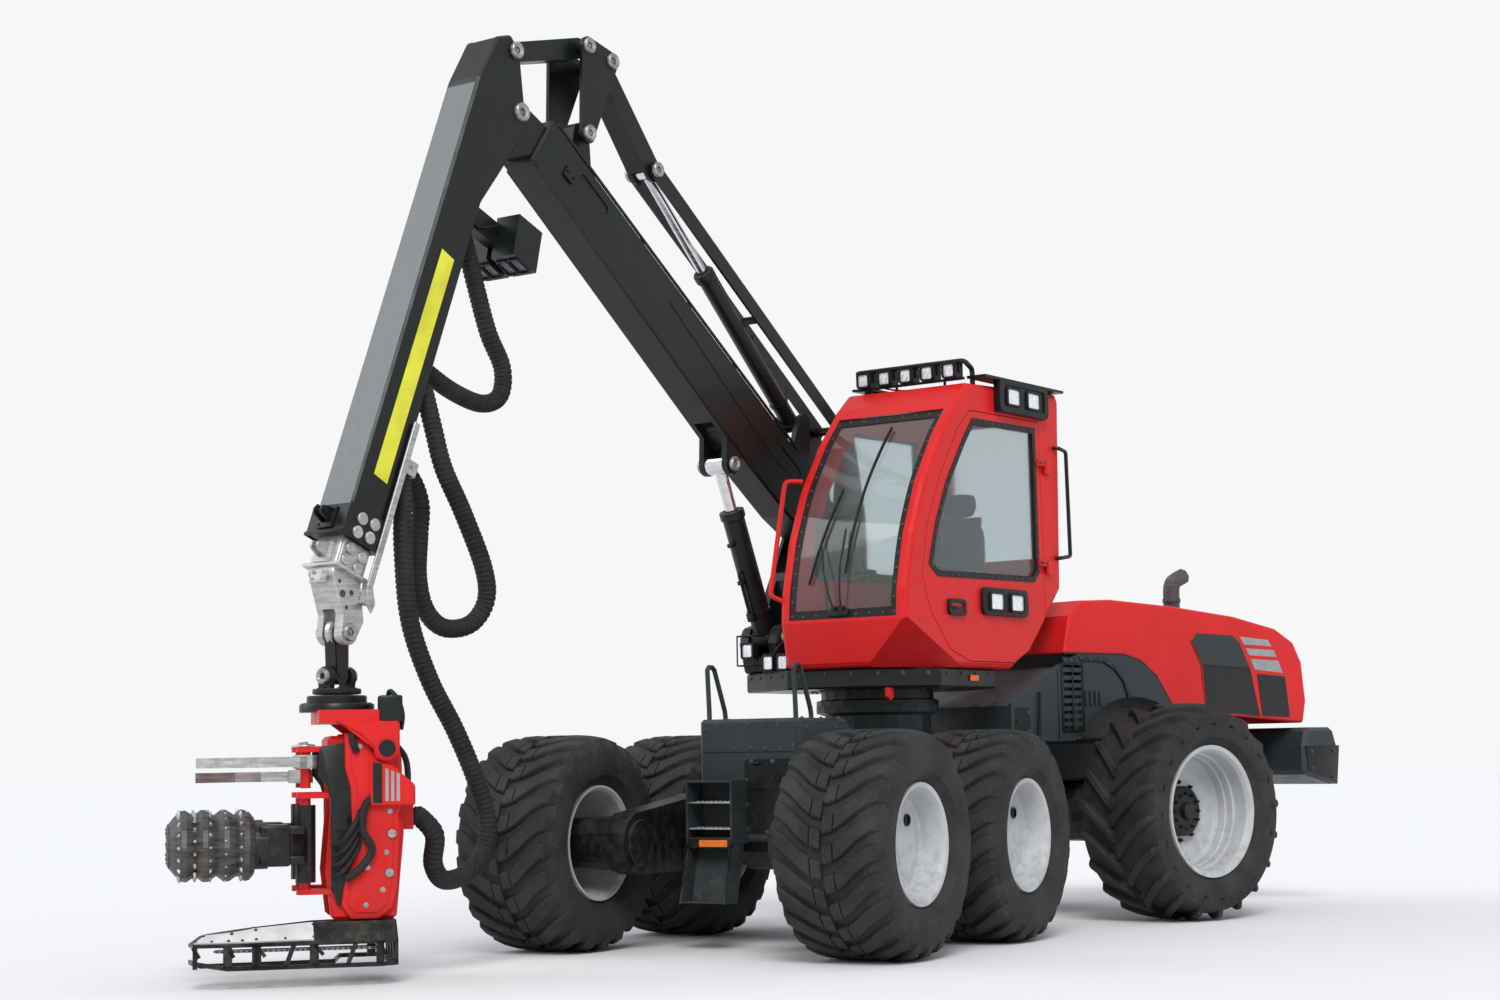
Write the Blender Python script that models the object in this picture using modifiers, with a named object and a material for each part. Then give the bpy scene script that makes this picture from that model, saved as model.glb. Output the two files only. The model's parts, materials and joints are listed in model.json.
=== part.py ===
"""Six-wheeled forestry harvester with a parallel crane and a felling head."""
import math

import bmesh
import bpy
from mathutils import Matrix, Vector

# Driving dimensions, metres and degrees. The ground is z = 0 and the front
# axle's centre stands over the chassis origin; +X forward, +Y to the left.
touch = 0.0003
lug_lap = 0.01
running = 0.006
overrun = 0.05
datum_x = 0.999
datum_y = -0.026

front_track = 2.20
front_axle_spacing = 1.536
front_tyre_radius = 0.6675
front_tyre_width = 0.735
front_rim_radius = 0.335
front_lug_depth = 0.030
rear_track = 2.17
rear_tyre_radius = 0.757
rear_tyre_width = 0.69
rear_rim_radius = 0.438
rear_lug_depth = 0.042
rear_axle_back = 1.72
rim_skin = 0.016
front_dish_share = 0.22
rear_dish_share = -0.05

joint_back = 1.77
joint_turn = math.radians(-19.14)
slew_back = 1.50
slew_turn = math.radians(-6.7)
crane_side = 0.60

case_gap = 0.0775
case_thick = 0.155
frame_gap = 0.14
frame_half_width = front_track / 2 - front_tyre_width / 2 - case_gap - case_thick - frame_gap
frame_top = 1.30
frame_bottom = 0.86
ring_radius = 0.42
ring_bottom = 1.52
deck_bottom = 1.62
deck_top = 1.75
cowl_bottom = 1.255
hood_half_width = 0.70

boom_foot = Vector((-0.25, -crane_side, 2.72))
knuckle = Vector((3.08, -crane_side, 5.10))
rocker_foot = Vector((2.47, -crane_side, 5.09))
rocker_top = Vector((2.46, -crane_side, 5.65))
beam_top = Vector((2.23, -crane_side, 5.60))
beam_foot = Vector((1.73, -crane_side, 5.00))
bar_foot = Vector((-0.35, -crane_side, 3.50))
stick_pin = Vector((3.13, -crane_side, 5.47))
stick_top = Vector((3.20, -crane_side, 5.47))
stick_low = Vector((4.44, -crane_side, 2.39))
fold_base = Vector((0.12, -crane_side, 3.50))
lift_base = Vector((0.46, -crane_side, 1.99))
lift_eye = Vector((0.97, -crane_side, 3.14))
tip_pin = Vector((4.50, -crane_side, 1.90))
cross_pin = Vector((4.50, -crane_side, 1.66))
head_turn = math.radians(-40.0)
rotator_top = 1.56
tilt_height = 1.26
tilt_back = -0.24

pin_radius = 0.035
pin_sides = 12
turn_steps = 22

scene = bpy.context.scene
for old in list(bpy.data.objects):
    bpy.data.objects.remove(old, do_unlink=True)
assembly = bpy.data.collections.new("forestry_harvester")
scene.collection.children.link(assembly)
workshop = bpy.data.collections.new("cutters")
scene.collection.children.link(workshop)

materials = {}
looks = {
    "red_paint": ((0.66, 0.035, 0.03), 0.32, 0.0),
    "slate_paint": ((0.06, 0.07, 0.075), 0.45, 0.0),
    "black_paint": ((0.022, 0.027, 0.026), 0.42, 0.0),
    "rim_paint": ((0.50, 0.51, 0.51), 0.40, 0.1),
    "rubber": ((0.045, 0.042, 0.040), 0.85, 0.0),
    "steel": ((0.42, 0.41, 0.40), 0.38, 0.9),
    "glass": ((0.35, 0.42, 0.44), 0.08, 0.0),
    "hose": ((0.02, 0.02, 0.02), 0.60, 0.0),
    "cloth": ((0.03, 0.03, 0.035), 0.90, 0.0),
    "lamp": ((0.75, 0.77, 0.78), 0.15, 0.2),
}


def material(key):
    """A Principled BSDF material for one finish."""
    if key not in materials:
        colour, roughness, metallic = looks[key]
        made = bpy.data.materials.new(key)
        made.use_nodes = True
        shader = made.node_tree.nodes["Principled BSDF"]
        shader.inputs["Base Color"].default_value = (*colour, 1.0)
        shader.inputs["Roughness"].default_value = roughness
        shader.inputs["Metallic"].default_value = metallic
        materials[key] = made
    return materials[key]


def link(name, data):
    """A new object in the workshop, where pieces are shaped."""
    made = bpy.data.objects.new(name, data)
    workshop.objects.link(made)
    made.hide_render = True
    made.display_type = "WIRE"
    return made


def bake(item):
    """Turn a curve, or a mesh with modifiers, into a plain welded mesh."""
    bpy.context.view_layer.update()
    seen = item.evaluated_get(bpy.context.evaluated_depsgraph_get())
    mesh = bpy.data.meshes.new_from_object(seen)
    work = bmesh.new()
    work.from_mesh(mesh)
    bmesh.ops.remove_doubles(work, verts=work.verts, dist=0.00002)
    bmesh.ops.dissolve_degenerate(work, edges=work.edges, dist=0.00001)
    bmesh.ops.dissolve_limit(work, angle_limit=0.0005, verts=work.verts, edges=work.edges)
    bmesh.ops.recalc_face_normals(work, faces=work.faces)
    work.to_mesh(mesh)
    work.free()
    mesh.transform(item.matrix_world)
    name = item.name
    bpy.data.objects.remove(item, do_unlink=True)
    return link(name, mesh)


def block(size, centre, name="block"):
    """A box of a given size about a centre."""
    mesh = bpy.data.meshes.new(name)
    work = bmesh.new()
    bmesh.ops.create_cube(work, size=1.0, matrix=Matrix.Translation(centre) @ Matrix.Diagonal((*size, 1.0)))
    work.to_mesh(mesh)
    work.free()
    return link(name, mesh)


def span(low, high, name="span"):
    """A box between two corners."""
    low = Vector(low)
    high = Vector(high)
    return block(high - low, (low + high) / 2, name)


aims = {
    "x": Matrix.Rotation(math.radians(90.0), 4, "Y"),
    "y": Matrix.Rotation(math.radians(-90.0), 4, "X"),
    "z": Matrix.Identity(4),
}


def aim(start, end):
    """The matrix that carries +Z onto a line, with its origin at the start."""
    turn = (Vector(end) - Vector(start)).to_track_quat("Z", "Y").to_matrix().to_4x4()
    return Matrix.Translation(start) @ turn


def rod(start, end, radius, end_radius=None, sides=pin_sides, phase=0.0, name="rod"):
    """A cylinder or cone between two points, its facets turned by a phase."""
    start = Vector(start)
    length = (Vector(end) - start).length
    far = radius if end_radius is None else end_radius
    mesh = bpy.data.meshes.new(name)
    work = bmesh.new()
    place = aim(start, end) @ Matrix.Translation((0.0, 0.0, length / 2)) @ Matrix.Rotation(phase, 4, "Z")
    bmesh.ops.create_cone(work, cap_ends=True, segments=sides, radius1=radius, radius2=far, depth=length, matrix=place)
    work.to_mesh(mesh)
    work.free()
    return link(name, mesh)


def cross_rod(centre, radius, half, sides=pin_sides):
    """A cylinder across the machine, along Y."""
    reach = Vector((0.0, half, 0.0))
    return rod(Vector(centre) - reach, Vector(centre) + reach, radius, sides=sides)


def pin_stubs(centre, radius, low, high):
    """The two ends of a cross pin, which leave the eye between them free."""
    stubs = []
    for side in (1, -1):
        inner = Vector(centre) + Vector((0.0, side * low, 0.0))
        stubs.append(rod(inner, Vector(centre) + Vector((0.0, side * high, 0.0)), radius))
    return stubs


def bore(radius, sides=pin_sides):
    """The radius of a faceted hole that turns freely on a faceted pin."""
    return (radius + 2 * touch) / math.cos(math.pi / sides)


def drill(start, end, radius, sides=pin_sides):
    """The cutter for a pin's hole; its flats stand over the pin's corners at rest."""
    return rod(start, end, bore(radius, sides), sides=sides, phase=math.pi / sides)


def cross_bore(centre, radius, half):
    """The cutter for a hole across the machine, along Y."""
    reach = Vector((0.0, half, 0.0))
    return drill(Vector(centre) - reach, Vector(centre) + reach, radius)


planes = {
    "xy": Matrix.Identity(4),
    "xz": Matrix(((1, 0, 0, 0), (0, 0, -1, 0), (0, 1, 0, 0), (0, 0, 0, 1))),
    "yz": Matrix(((0, 0, 1, 0), (1, 0, 0, 0), (0, 1, 0, 0), (0, 0, 0, 1))),
}
normals = {"xy": Vector((0, 0, 1)), "xz": Vector((0, -1, 0)), "yz": Vector((1, 0, 0))}


def profile(plane, outlines, low, high, name="profile"):
    """A flat outline, with any holes, made thick between two stations."""
    curve = bpy.data.curves.new(name, "CURVE")
    curve.dimensions = "2D"
    curve.fill_mode = "BOTH"
    curve.extrude = abs(high - low) / 2
    for outline in outlines:
        spline = curve.splines.new("POLY")
        spline.points.add(len(outline) - 1)
        for point, (across, up) in zip(spline.points, outline):
            point.co = (across, up, 0.0, 1.0)
        spline.use_cyclic_u = True
    made = link(name, curve)
    middle = (low + high) / 2
    sign = -1.0 if plane == "xz" else 1.0
    made.matrix_world = Matrix.Translation(normals[plane] * middle * sign) @ planes[plane]
    return bake(made)


def arc(centre, radius, start, end, steps):
    """Points along an arc, angles in degrees."""
    points = []
    for step in range(steps + 1):
        angle = math.radians(start + (end - start) * step / steps)
        points.append((centre[0] + radius * math.cos(angle), centre[1] + radius * math.sin(angle)))
    return points


def capsule(first, last, first_radius, last_radius, steps=8):
    """The outline of a link with a round eye at each end."""
    run = Vector(last) - Vector(first)
    heading = math.degrees(math.atan2(run.y, run.x))
    lean = math.degrees(math.asin((first_radius - last_radius) / run.length))
    near = arc(first, first_radius, heading + 90 - lean, heading + 270 + lean, steps)
    far = arc(last, last_radius, heading - 90 + lean, heading + 90 - lean, steps)
    return near + far


def flat(point):
    """The X and Z of a point in the crane's plane."""
    return (point.x, point.z)


def turned(points, centre, axis="y", steps=turn_steps, facing=0.0, name="turned"):
    """A turned shape: (radius, station) points swept about an axis."""
    mesh = bpy.data.meshes.new(name)
    count = len(points)
    closed = points[0][0] > 0.0 or points[-1][0] > 0.0
    edges = [(i, i + 1) for i in range(count - 1)]
    if closed:
        edges.append((count - 1, 0))
    mesh.from_pydata([(radius, 0.0, station) for radius, station in points], edges, [])
    made = link(name, mesh)
    screw = made.modifiers.new("Screw", "SCREW")
    screw.axis = "Z"
    screw.steps = steps
    screw.render_steps = steps
    screw.use_merge_vertices = True
    screw.merge_threshold = 0.0001
    made.matrix_world = Matrix.Translation(centre) @ Matrix.Rotation(facing, 4, "Z") @ aims[axis]
    return bake(made)


def tube(points, radius, cyclic=False, sides_level=2, name="tube"):
    """A bevelled curve with filled caps through the given points."""
    curve = bpy.data.curves.new(name, "CURVE")
    curve.dimensions = "3D"
    curve.bevel_depth = radius
    curve.bevel_resolution = sides_level
    curve.use_fill_caps = True
    spline = curve.splines.new("POLY")
    spline.points.add(len(points) - 1)
    for point, place in zip(spline.points, points):
        point.co = (*place, 1.0)
    spline.use_cyclic_u = cyclic
    return bake(link(name, curve))


def rounded_path(corners, radius, steps=4):
    """A path through corners, with each inner corner rounded."""
    corners = [Vector(corner) for corner in corners]
    path = [corners[0]]
    for before, corner, after in zip(corners, corners[1:], corners[2:]):
        back = (before - corner).normalized()
        ahead = (after - corner).normalized()
        start = corner + back * radius
        end = corner + ahead * radius
        for step in range(steps + 1):
            share = step / steps
            path.append(start * (1 - share) ** 2 + corner * 2 * share * (1 - share) + end * share ** 2)
    path.append(corners[-1])
    return path


def smooth_path(knots, count):
    """Evenly counted points on a smooth curve through the knots."""
    knots = [Vector(knot) for knot in knots]
    padded = [knots[0] * 2 - knots[1]] + knots + [knots[-1] * 2 - knots[-2]]
    fine = []
    for index in range(1, len(padded) - 2):
        a, b, c, d = padded[index - 1:index + 3]
        for step in range(12):
            t = step / 12
            point = b * 2 + (c - a) * t + (a * 2 - b * 5 + c * 4 - d) * t ** 2 + (b * 3 - a - c * 3 + d) * t ** 3
            fine.append(point / 2)
    fine.append(knots[-1])
    lengths = [0.0]
    for before, after in zip(fine, fine[1:]):
        lengths.append(lengths[-1] + (after - before).length)
    path = []
    place = 0
    for step in range(count + 1):
        target = lengths[-1] * step / count
        while place < len(fine) - 2 and lengths[place + 1] < target:
            place += 1
        share = (target - lengths[place]) / (lengths[place + 1] - lengths[place])
        path.append(fine[place].lerp(fine[place + 1], min(share, 1.0)))
    return path


def combine(item, others, operation):
    """Union, difference or intersection with each other piece in turn."""
    for other in others:
        modifier = item.modifiers.new("Boolean", "BOOLEAN")
        modifier.operation = operation
        modifier.solver = "EXACT"
        modifier.object = other
    made = bake(item)
    for other in others:
        bpy.data.objects.remove(other, do_unlink=True)
    return made


def fuse(item, *others):
    return combine(item, others, "UNION")


def cut(item, *others):
    return combine(item, others, "DIFFERENCE")


def soften(item, width, segments=1, angle=40.0):
    """Bevel the sharp edges of a piece."""
    bevel = item.modifiers.new("Bevel", "BEVEL")
    bevel.width = width
    bevel.segments = segments
    bevel.limit_method = "ANGLE"
    bevel.angle_limit = math.radians(angle)
    return bake(item)


pivots = {}


def pivot(name, parent, point, turn=0.0, sheet=None):
    """An empty on a joint's axis; its sheet point is where it lies in the drawing of its pieces."""
    empty = bpy.data.objects.new(name, None)
    assembly.objects.link(empty)
    point = Vector(point)
    if parent:
        carrier, carrier_sheet = pivots[parent]
        empty.parent = carrier
        empty.location = point - carrier_sheet
    else:
        empty.location = point
    empty.rotation_euler.z = turn
    pivots[name] = (empty, point if sheet is None else Vector(sheet))


def place(item, name, carrier, finish):
    """Hand a shaped piece to the assembly, on the pivot of the body it belongs to."""
    empty, sheet = pivots[carrier]
    workshop.objects.unlink(item)
    assembly.objects.link(item)
    item.hide_render = False
    item.display_type = "TEXTURED"
    item.name = name
    item.data.name = name
    item.parent = empty
    item.location = -sheet
    item.data.materials.clear()
    item.data.materials.append(material(finish))
    item.data.shade_smooth()
    item.data.set_sharp_from_angle(angle=math.radians(32.0))
    return item


def span_shares(low, high, shares):
    """Outline points given as shares of a box between two corners."""
    width = high[0] - low[0]
    height = high[1] - low[1]
    return [(low[0] + width * across, low[1] + height * up) for across, up in shares]


def build_pivots():
    """The tree of bodies."""
    pivot("machine", None, (datum_x, datum_y, 0.0), sheet=(0.0, 0.0, 0.0))
    pivot("rear", "machine", (-joint_back, 0.0, 0.0), joint_turn, sheet=(0.0, 0.0, 0.0))
    pivot("platform", "machine", (-slew_back, 0.0, 0.0), slew_turn, sheet=(0.0, 0.0, 0.0))
    pivot("boom_pivot", "platform", boom_foot)
    pivot("knuckle_pivot", "boom_pivot", knuckle)
    pivot("rocker_pivot", "boom_pivot", rocker_foot)
    pivot("coupler_pivot", "rocker_pivot", rocker_top)
    pivot("beam_pivot", "rocker_pivot", beam_top)
    pivot("fold_barrel_pivot", "boom_pivot", fold_base)
    pivot("fold_rod_pivot", "fold_barrel_pivot", beam_foot)
    pivot("lift_barrel_pivot", "platform", lift_base)
    pivot("lift_rod_pivot", "lift_barrel_pivot", lift_eye)
    pivot("extension_slide", "knuckle_pivot", knuckle)
    pivot("tip_pivot", "extension_slide", tip_pin)
    pivot("cross_pivot", "tip_pivot", cross_pin)
    axis = (tip_pin.x, tip_pin.y, rotator_top)
    pivot("rotator_pivot", "cross_pivot", axis, head_turn, sheet=(0.0, 0.0, rotator_top))
    pivot("tilt_pivot", "rotator_pivot", (tilt_back, 0.0, tilt_height))


def lugged_tyre(bead, radius, half, lug_depth, centre):
    """A tyre with one swept lug a side for each step round it: smooth rings have one corner a lug, lug rings four."""
    pitch = 2 * math.pi / turn_steps
    tip_share = 0.27
    foot_share = 0.37
    tip = radius / math.cos(pitch * tip_share)
    wall = tip - bead
    side_shares = ((0.0, 0.76), (0.085, 0.76), (0.48, 1.0))
    shoulder_shares = (0.94, 0.86)
    tread_shares = (1.0, 0.42)
    work = bmesh.new()

    def corner(out, across, turns):
        angle = pitch * turns
        return work.verts.new(Vector(centre) + Vector((out * math.cos(angle), across, -out * math.sin(angle))))

    def smooth_ring(out_share, across):
        return [corner(bead + wall * out_share, across, turn) for turn in range(turn_steps)]

    def lug_ring(out_share, across, lag):
        top = bead + wall * out_share
        rows = []
        for turn in range(turn_steps):
            mid = turn + 0.5 - lag
            for out, shift in ((top - lug_depth, -foot_share), (top, -tip_share), (top, tip_share), (top - lug_depth, foot_share)):
                rows.append(corner(out, across, mid + shift))
        return rows

    def band(first, last):
        count = len(first)
        for index in range(count):
            after = (index + 1) % count
            work.faces.new((first[index], first[after], last[after], last[index]))

    sides = []
    treads = []
    for hand in (1, -1):
        smooth = [smooth_ring(out, hand * half * across) for out, across in side_shares]
        shoulder = lug_ring(shoulder_shares[0], hand * half * shoulder_shares[1], 1.0)
        tread = lug_ring(tread_shares[0], hand * half * tread_shares[1], 0.0)
        band(smooth[0], smooth[1])
        band(smooth[1], smooth[2])
        for turn in range(turn_steps):
            near = smooth[2][turn]
            far = smooth[2][(turn + 1) % turn_steps]
            lug = 4 * ((turn + 1) % turn_steps)
            heel, crest, edge, toe = shoulder[lug:lug + 4]
            beyond = shoulder[(lug + 4) % len(shoulder)]
            for face in ((near, heel, crest), (near, crest, edge), (near, edge, far), (far, edge, toe), (far, toe, beyond)):
                work.faces.new(face)
        band(shoulder, tread)
        sides.append(smooth[0])
        treads.append(tread)
    band(treads[0], treads[1])
    band(sides[0], sides[1])
    bmesh.ops.triangulate(work, faces=work.faces)
    bmesh.ops.recalc_face_normals(work, faces=work.faces)
    mesh = bpy.data.meshes.new("tyre")
    work.to_mesh(mesh)
    work.free()
    return link("tyre", mesh)


def wheel(name, carrier, centre, side, radius, width, rim_radius, dish_share, lug_depth):
    """A tyre and its rim, turned about the axle; side is the way the wheel faces."""
    middle = Vector(centre)
    bead = rim_radius + touch
    half = width / 2
    seat = half * 0.76
    place(lugged_tyre(bead, radius, half, lug_depth, middle), name + "_tyre", carrier, "rubber")
    skin = rim_skin
    flange = 0.020
    lip = seat + skin
    disc = half * dish_share
    hub = rim_radius * 0.40
    cap = rim_radius * 0.24
    edge = disc + seat * 0.24
    outline = [
        (0.0, edge), (cap, edge), (cap * 1.2, disc + skin), (rim_radius - skin * 3, disc + skin),
        (rim_radius - skin * 1.6, seat * 0.9), (rim_radius + flange, lip + skin), (rim_radius + flange, seat + touch * 3),
        (rim_radius, seat + touch * 3), (rim_radius, -seat - touch * 3), (rim_radius + flange, -seat - touch * 3),
        (rim_radius + flange, -lip - skin), (rim_radius - skin * 1.6, -seat * 0.8), (rim_radius - skin * 3.5, disc - skin),
        (0.0, disc - skin),
    ]
    facing = 0.0 if side > 0 else math.pi
    place(turned(outline, middle, facing=facing), name + "_rim", carrier, "rim_paint")


def wheels():
    for end, along in (("front", 0.5), ("rear", -0.5)):
        for hand, side in (("left", 1), ("right", -1)):
            hub = (front_axle_spacing * along, side * front_track / 2, front_tyre_radius)
            name = "bogie_%s_%s" % (end, hand)
            pivot(name, "machine", hub)
            wheel(name, name, hub, side, front_tyre_radius, front_tyre_width, front_rim_radius, front_dish_share, front_lug_depth)
    for hand, side in (("left", 1), ("right", -1)):
        hub = (-rear_axle_back, side * rear_track / 2, rear_tyre_radius)
        name = "rear_%s" % hand
        pivot(name, "rear", hub)
        wheel(name, name, hub, side, rear_tyre_radius, rear_tyre_width, rear_rim_radius, rear_dish_share, rear_lug_depth)


def chassis():
    """Front frame with its articulation lugs, nose box, axle and the two bogie cases."""
    nose = 0.28
    nose_back = -0.35
    nose_top = 1.42
    rear_end = -1.48
    nose_bottom = 0.66
    side = [
        (nose, nose_bottom), (nose, nose_top), (nose_back, nose_top), (nose_back - 0.12, frame_top),
        (rear_end, frame_top), (rear_end, frame_bottom), (nose_back, frame_bottom), (nose_back + 0.2, frame_bottom),
        (nose - 0.065, frame_bottom), (nose - 0.065, nose_bottom),
    ]
    body = soften(profile("xz", [side], -frame_half_width, frame_half_width), 0.02)
    lug_radius = 0.17
    lug_thick = 0.10
    lugs = []
    shape = [(rear_end + overrun, lug_radius * 1.4), (rear_end + overrun, -lug_radius * 1.4)]
    shape = shape + arc((-joint_back, 0.0), lug_radius, 270.0, 90.0, 10)
    for top in (frame_top, frame_bottom + lug_thick):
        lugs.append(profile("xy", [shape], top - lug_thick, top))
    pin = rod((-joint_back, 0.0, frame_bottom), (-joint_back, 0.0, frame_top), pin_radius * 1.6, phase=joint_turn)
    base_low = ring_radius * 0.86
    base = turned([(0.0, ring_bottom - 2 * touch), (ring_radius, ring_bottom - 2 * touch), (ring_radius, ring_bottom - 0.05),
                   (base_low, ring_bottom - 0.07), (base_low, frame_top + 0.05), (ring_radius * 0.98, frame_top - 0.02),
                   (0.0, frame_top - 0.02)], (-slew_back, 0.0, 0.0), axis="z")
    place(fuse(body, *lugs, pin, base, *front_steps()), "front_frame", "machine", "slate_paint")
    hub_height = front_tyre_radius
    case_outer = front_track / 2 - front_tyre_width / 2 - case_gap
    case_inner = case_outer - case_thick
    end_radius = 0.19
    middle_radius = 0.25
    hub_out = front_track / 2 + front_tyre_width / 2 * front_dish_share - rim_skin - touch
    half = front_axle_spacing / 2
    axle_radius = 0.16
    for hand, side_sign in (("left", 1), ("right", -1)):
        front = (half, hub_height)
        back = (-half, hub_height)
        outline = arc(front, end_radius, -90.0, 75.0, 6)
        outline += arc((0.0, hub_height + 0.04), middle_radius, 70.0, 110.0, 4)
        outline += arc(back, end_radius, 105.0, 270.0, 6)
        low = side_sign * case_inner
        high = side_sign * case_outer
        case = profile("xz", [outline], min(low, high), max(low, high))
        hubs = []
        for along in (half, -half):
            start = (along, side_sign * (case_outer - 0.02), hub_height)
            end = (along, side_sign * hub_out, hub_height)
            hubs.append(rod(start, end, end_radius * 0.9, end_radius * 0.75, sides=16))
        boss = rod((0.0, side_sign * (case_inner - 0.06), hub_height), (0.0, side_sign * case_inner * 1.1, hub_height),
                   axle_radius * 1.3, sides=16)
        place(fuse(case, *hubs, boss), "bogie_case_%s" % hand, "machine", "black_paint")
    axle_end = case_inner - 0.06 - touch
    centre_radius = frame_bottom - touch - hub_height
    axle = turned([(0.0, axle_end), (axle_radius, axle_end), (axle_radius * 0.8, axle_end * 0.6), (centre_radius, axle_end * 0.3),
                   (centre_radius, -axle_end * 0.3), (axle_radius * 0.8, -axle_end * 0.6), (axle_radius, -axle_end),
                   (0.0, -axle_end)], (0.0, 0.0, hub_height), steps=16)
    place(axle, "front_axle", "machine", "black_paint")


def front_steps():
    """The ladder box ahead of the nose and the two hand loops on it."""
    face = 0.28 - 0.006
    reach = 0.20
    left = -frame_half_width * 0.06
    right = -frame_half_width * 0.97
    top = 1.04
    bottom = 0.29
    tread_depth = 0.16
    plate = 0.012
    sheet = span((face, right, bottom + 0.36), (face + reach, left, top))
    pocket = span((face + plate, right + plate, bottom + 0.40), (face + reach + overrun, left - plate, top - plate))
    ladder = cut(sheet, pocket)
    lap = 0.003
    stile = [(face + reach * 0.2, bottom + 0.39), (face + reach * 0.9, bottom + 0.39), (face + reach * 1.5, bottom),
             (face + reach * 0.7, bottom)]
    stiles = []
    for edge in (right + lap, left - plate - lap):
        stiles.append(profile("xz", [stile], edge, edge + plate))
    tread = span((face + reach * 0.74, right + plate, bottom + lap), (face + reach * 1.4, left - plate, bottom + plate))
    back_line = [(face + reach * 0.22, bottom + 0.385), (face + reach * 0.30, bottom + 0.385),
                 (face + reach * 0.83, bottom + lap * 2), (face + reach * 0.73, bottom + lap * 2)]
    back = profile("xz", [back_line], right + plate, left - plate)
    pieces = [fuse(ladder, *stiles, tread, back)]
    tube_radius = 0.016
    rise = 0.34
    seat = 1.42 - 0.01
    for across in (frame_half_width * 0.83, -frame_half_width * 0.89):
        reach_back = 0.20
        front = 0.22
        foot = 0.05
        path = rounded_path([(front, across, seat), (front, across, seat + foot), (front + 0.02, across, seat + rise),
                             (front - 0.06, across, seat + rise), (front - reach_back, across, seat + foot),
                             (front - reach_back, across, seat)], 0.02, 1)
        pieces.append(tube(path, tube_radius))
    return pieces


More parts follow.
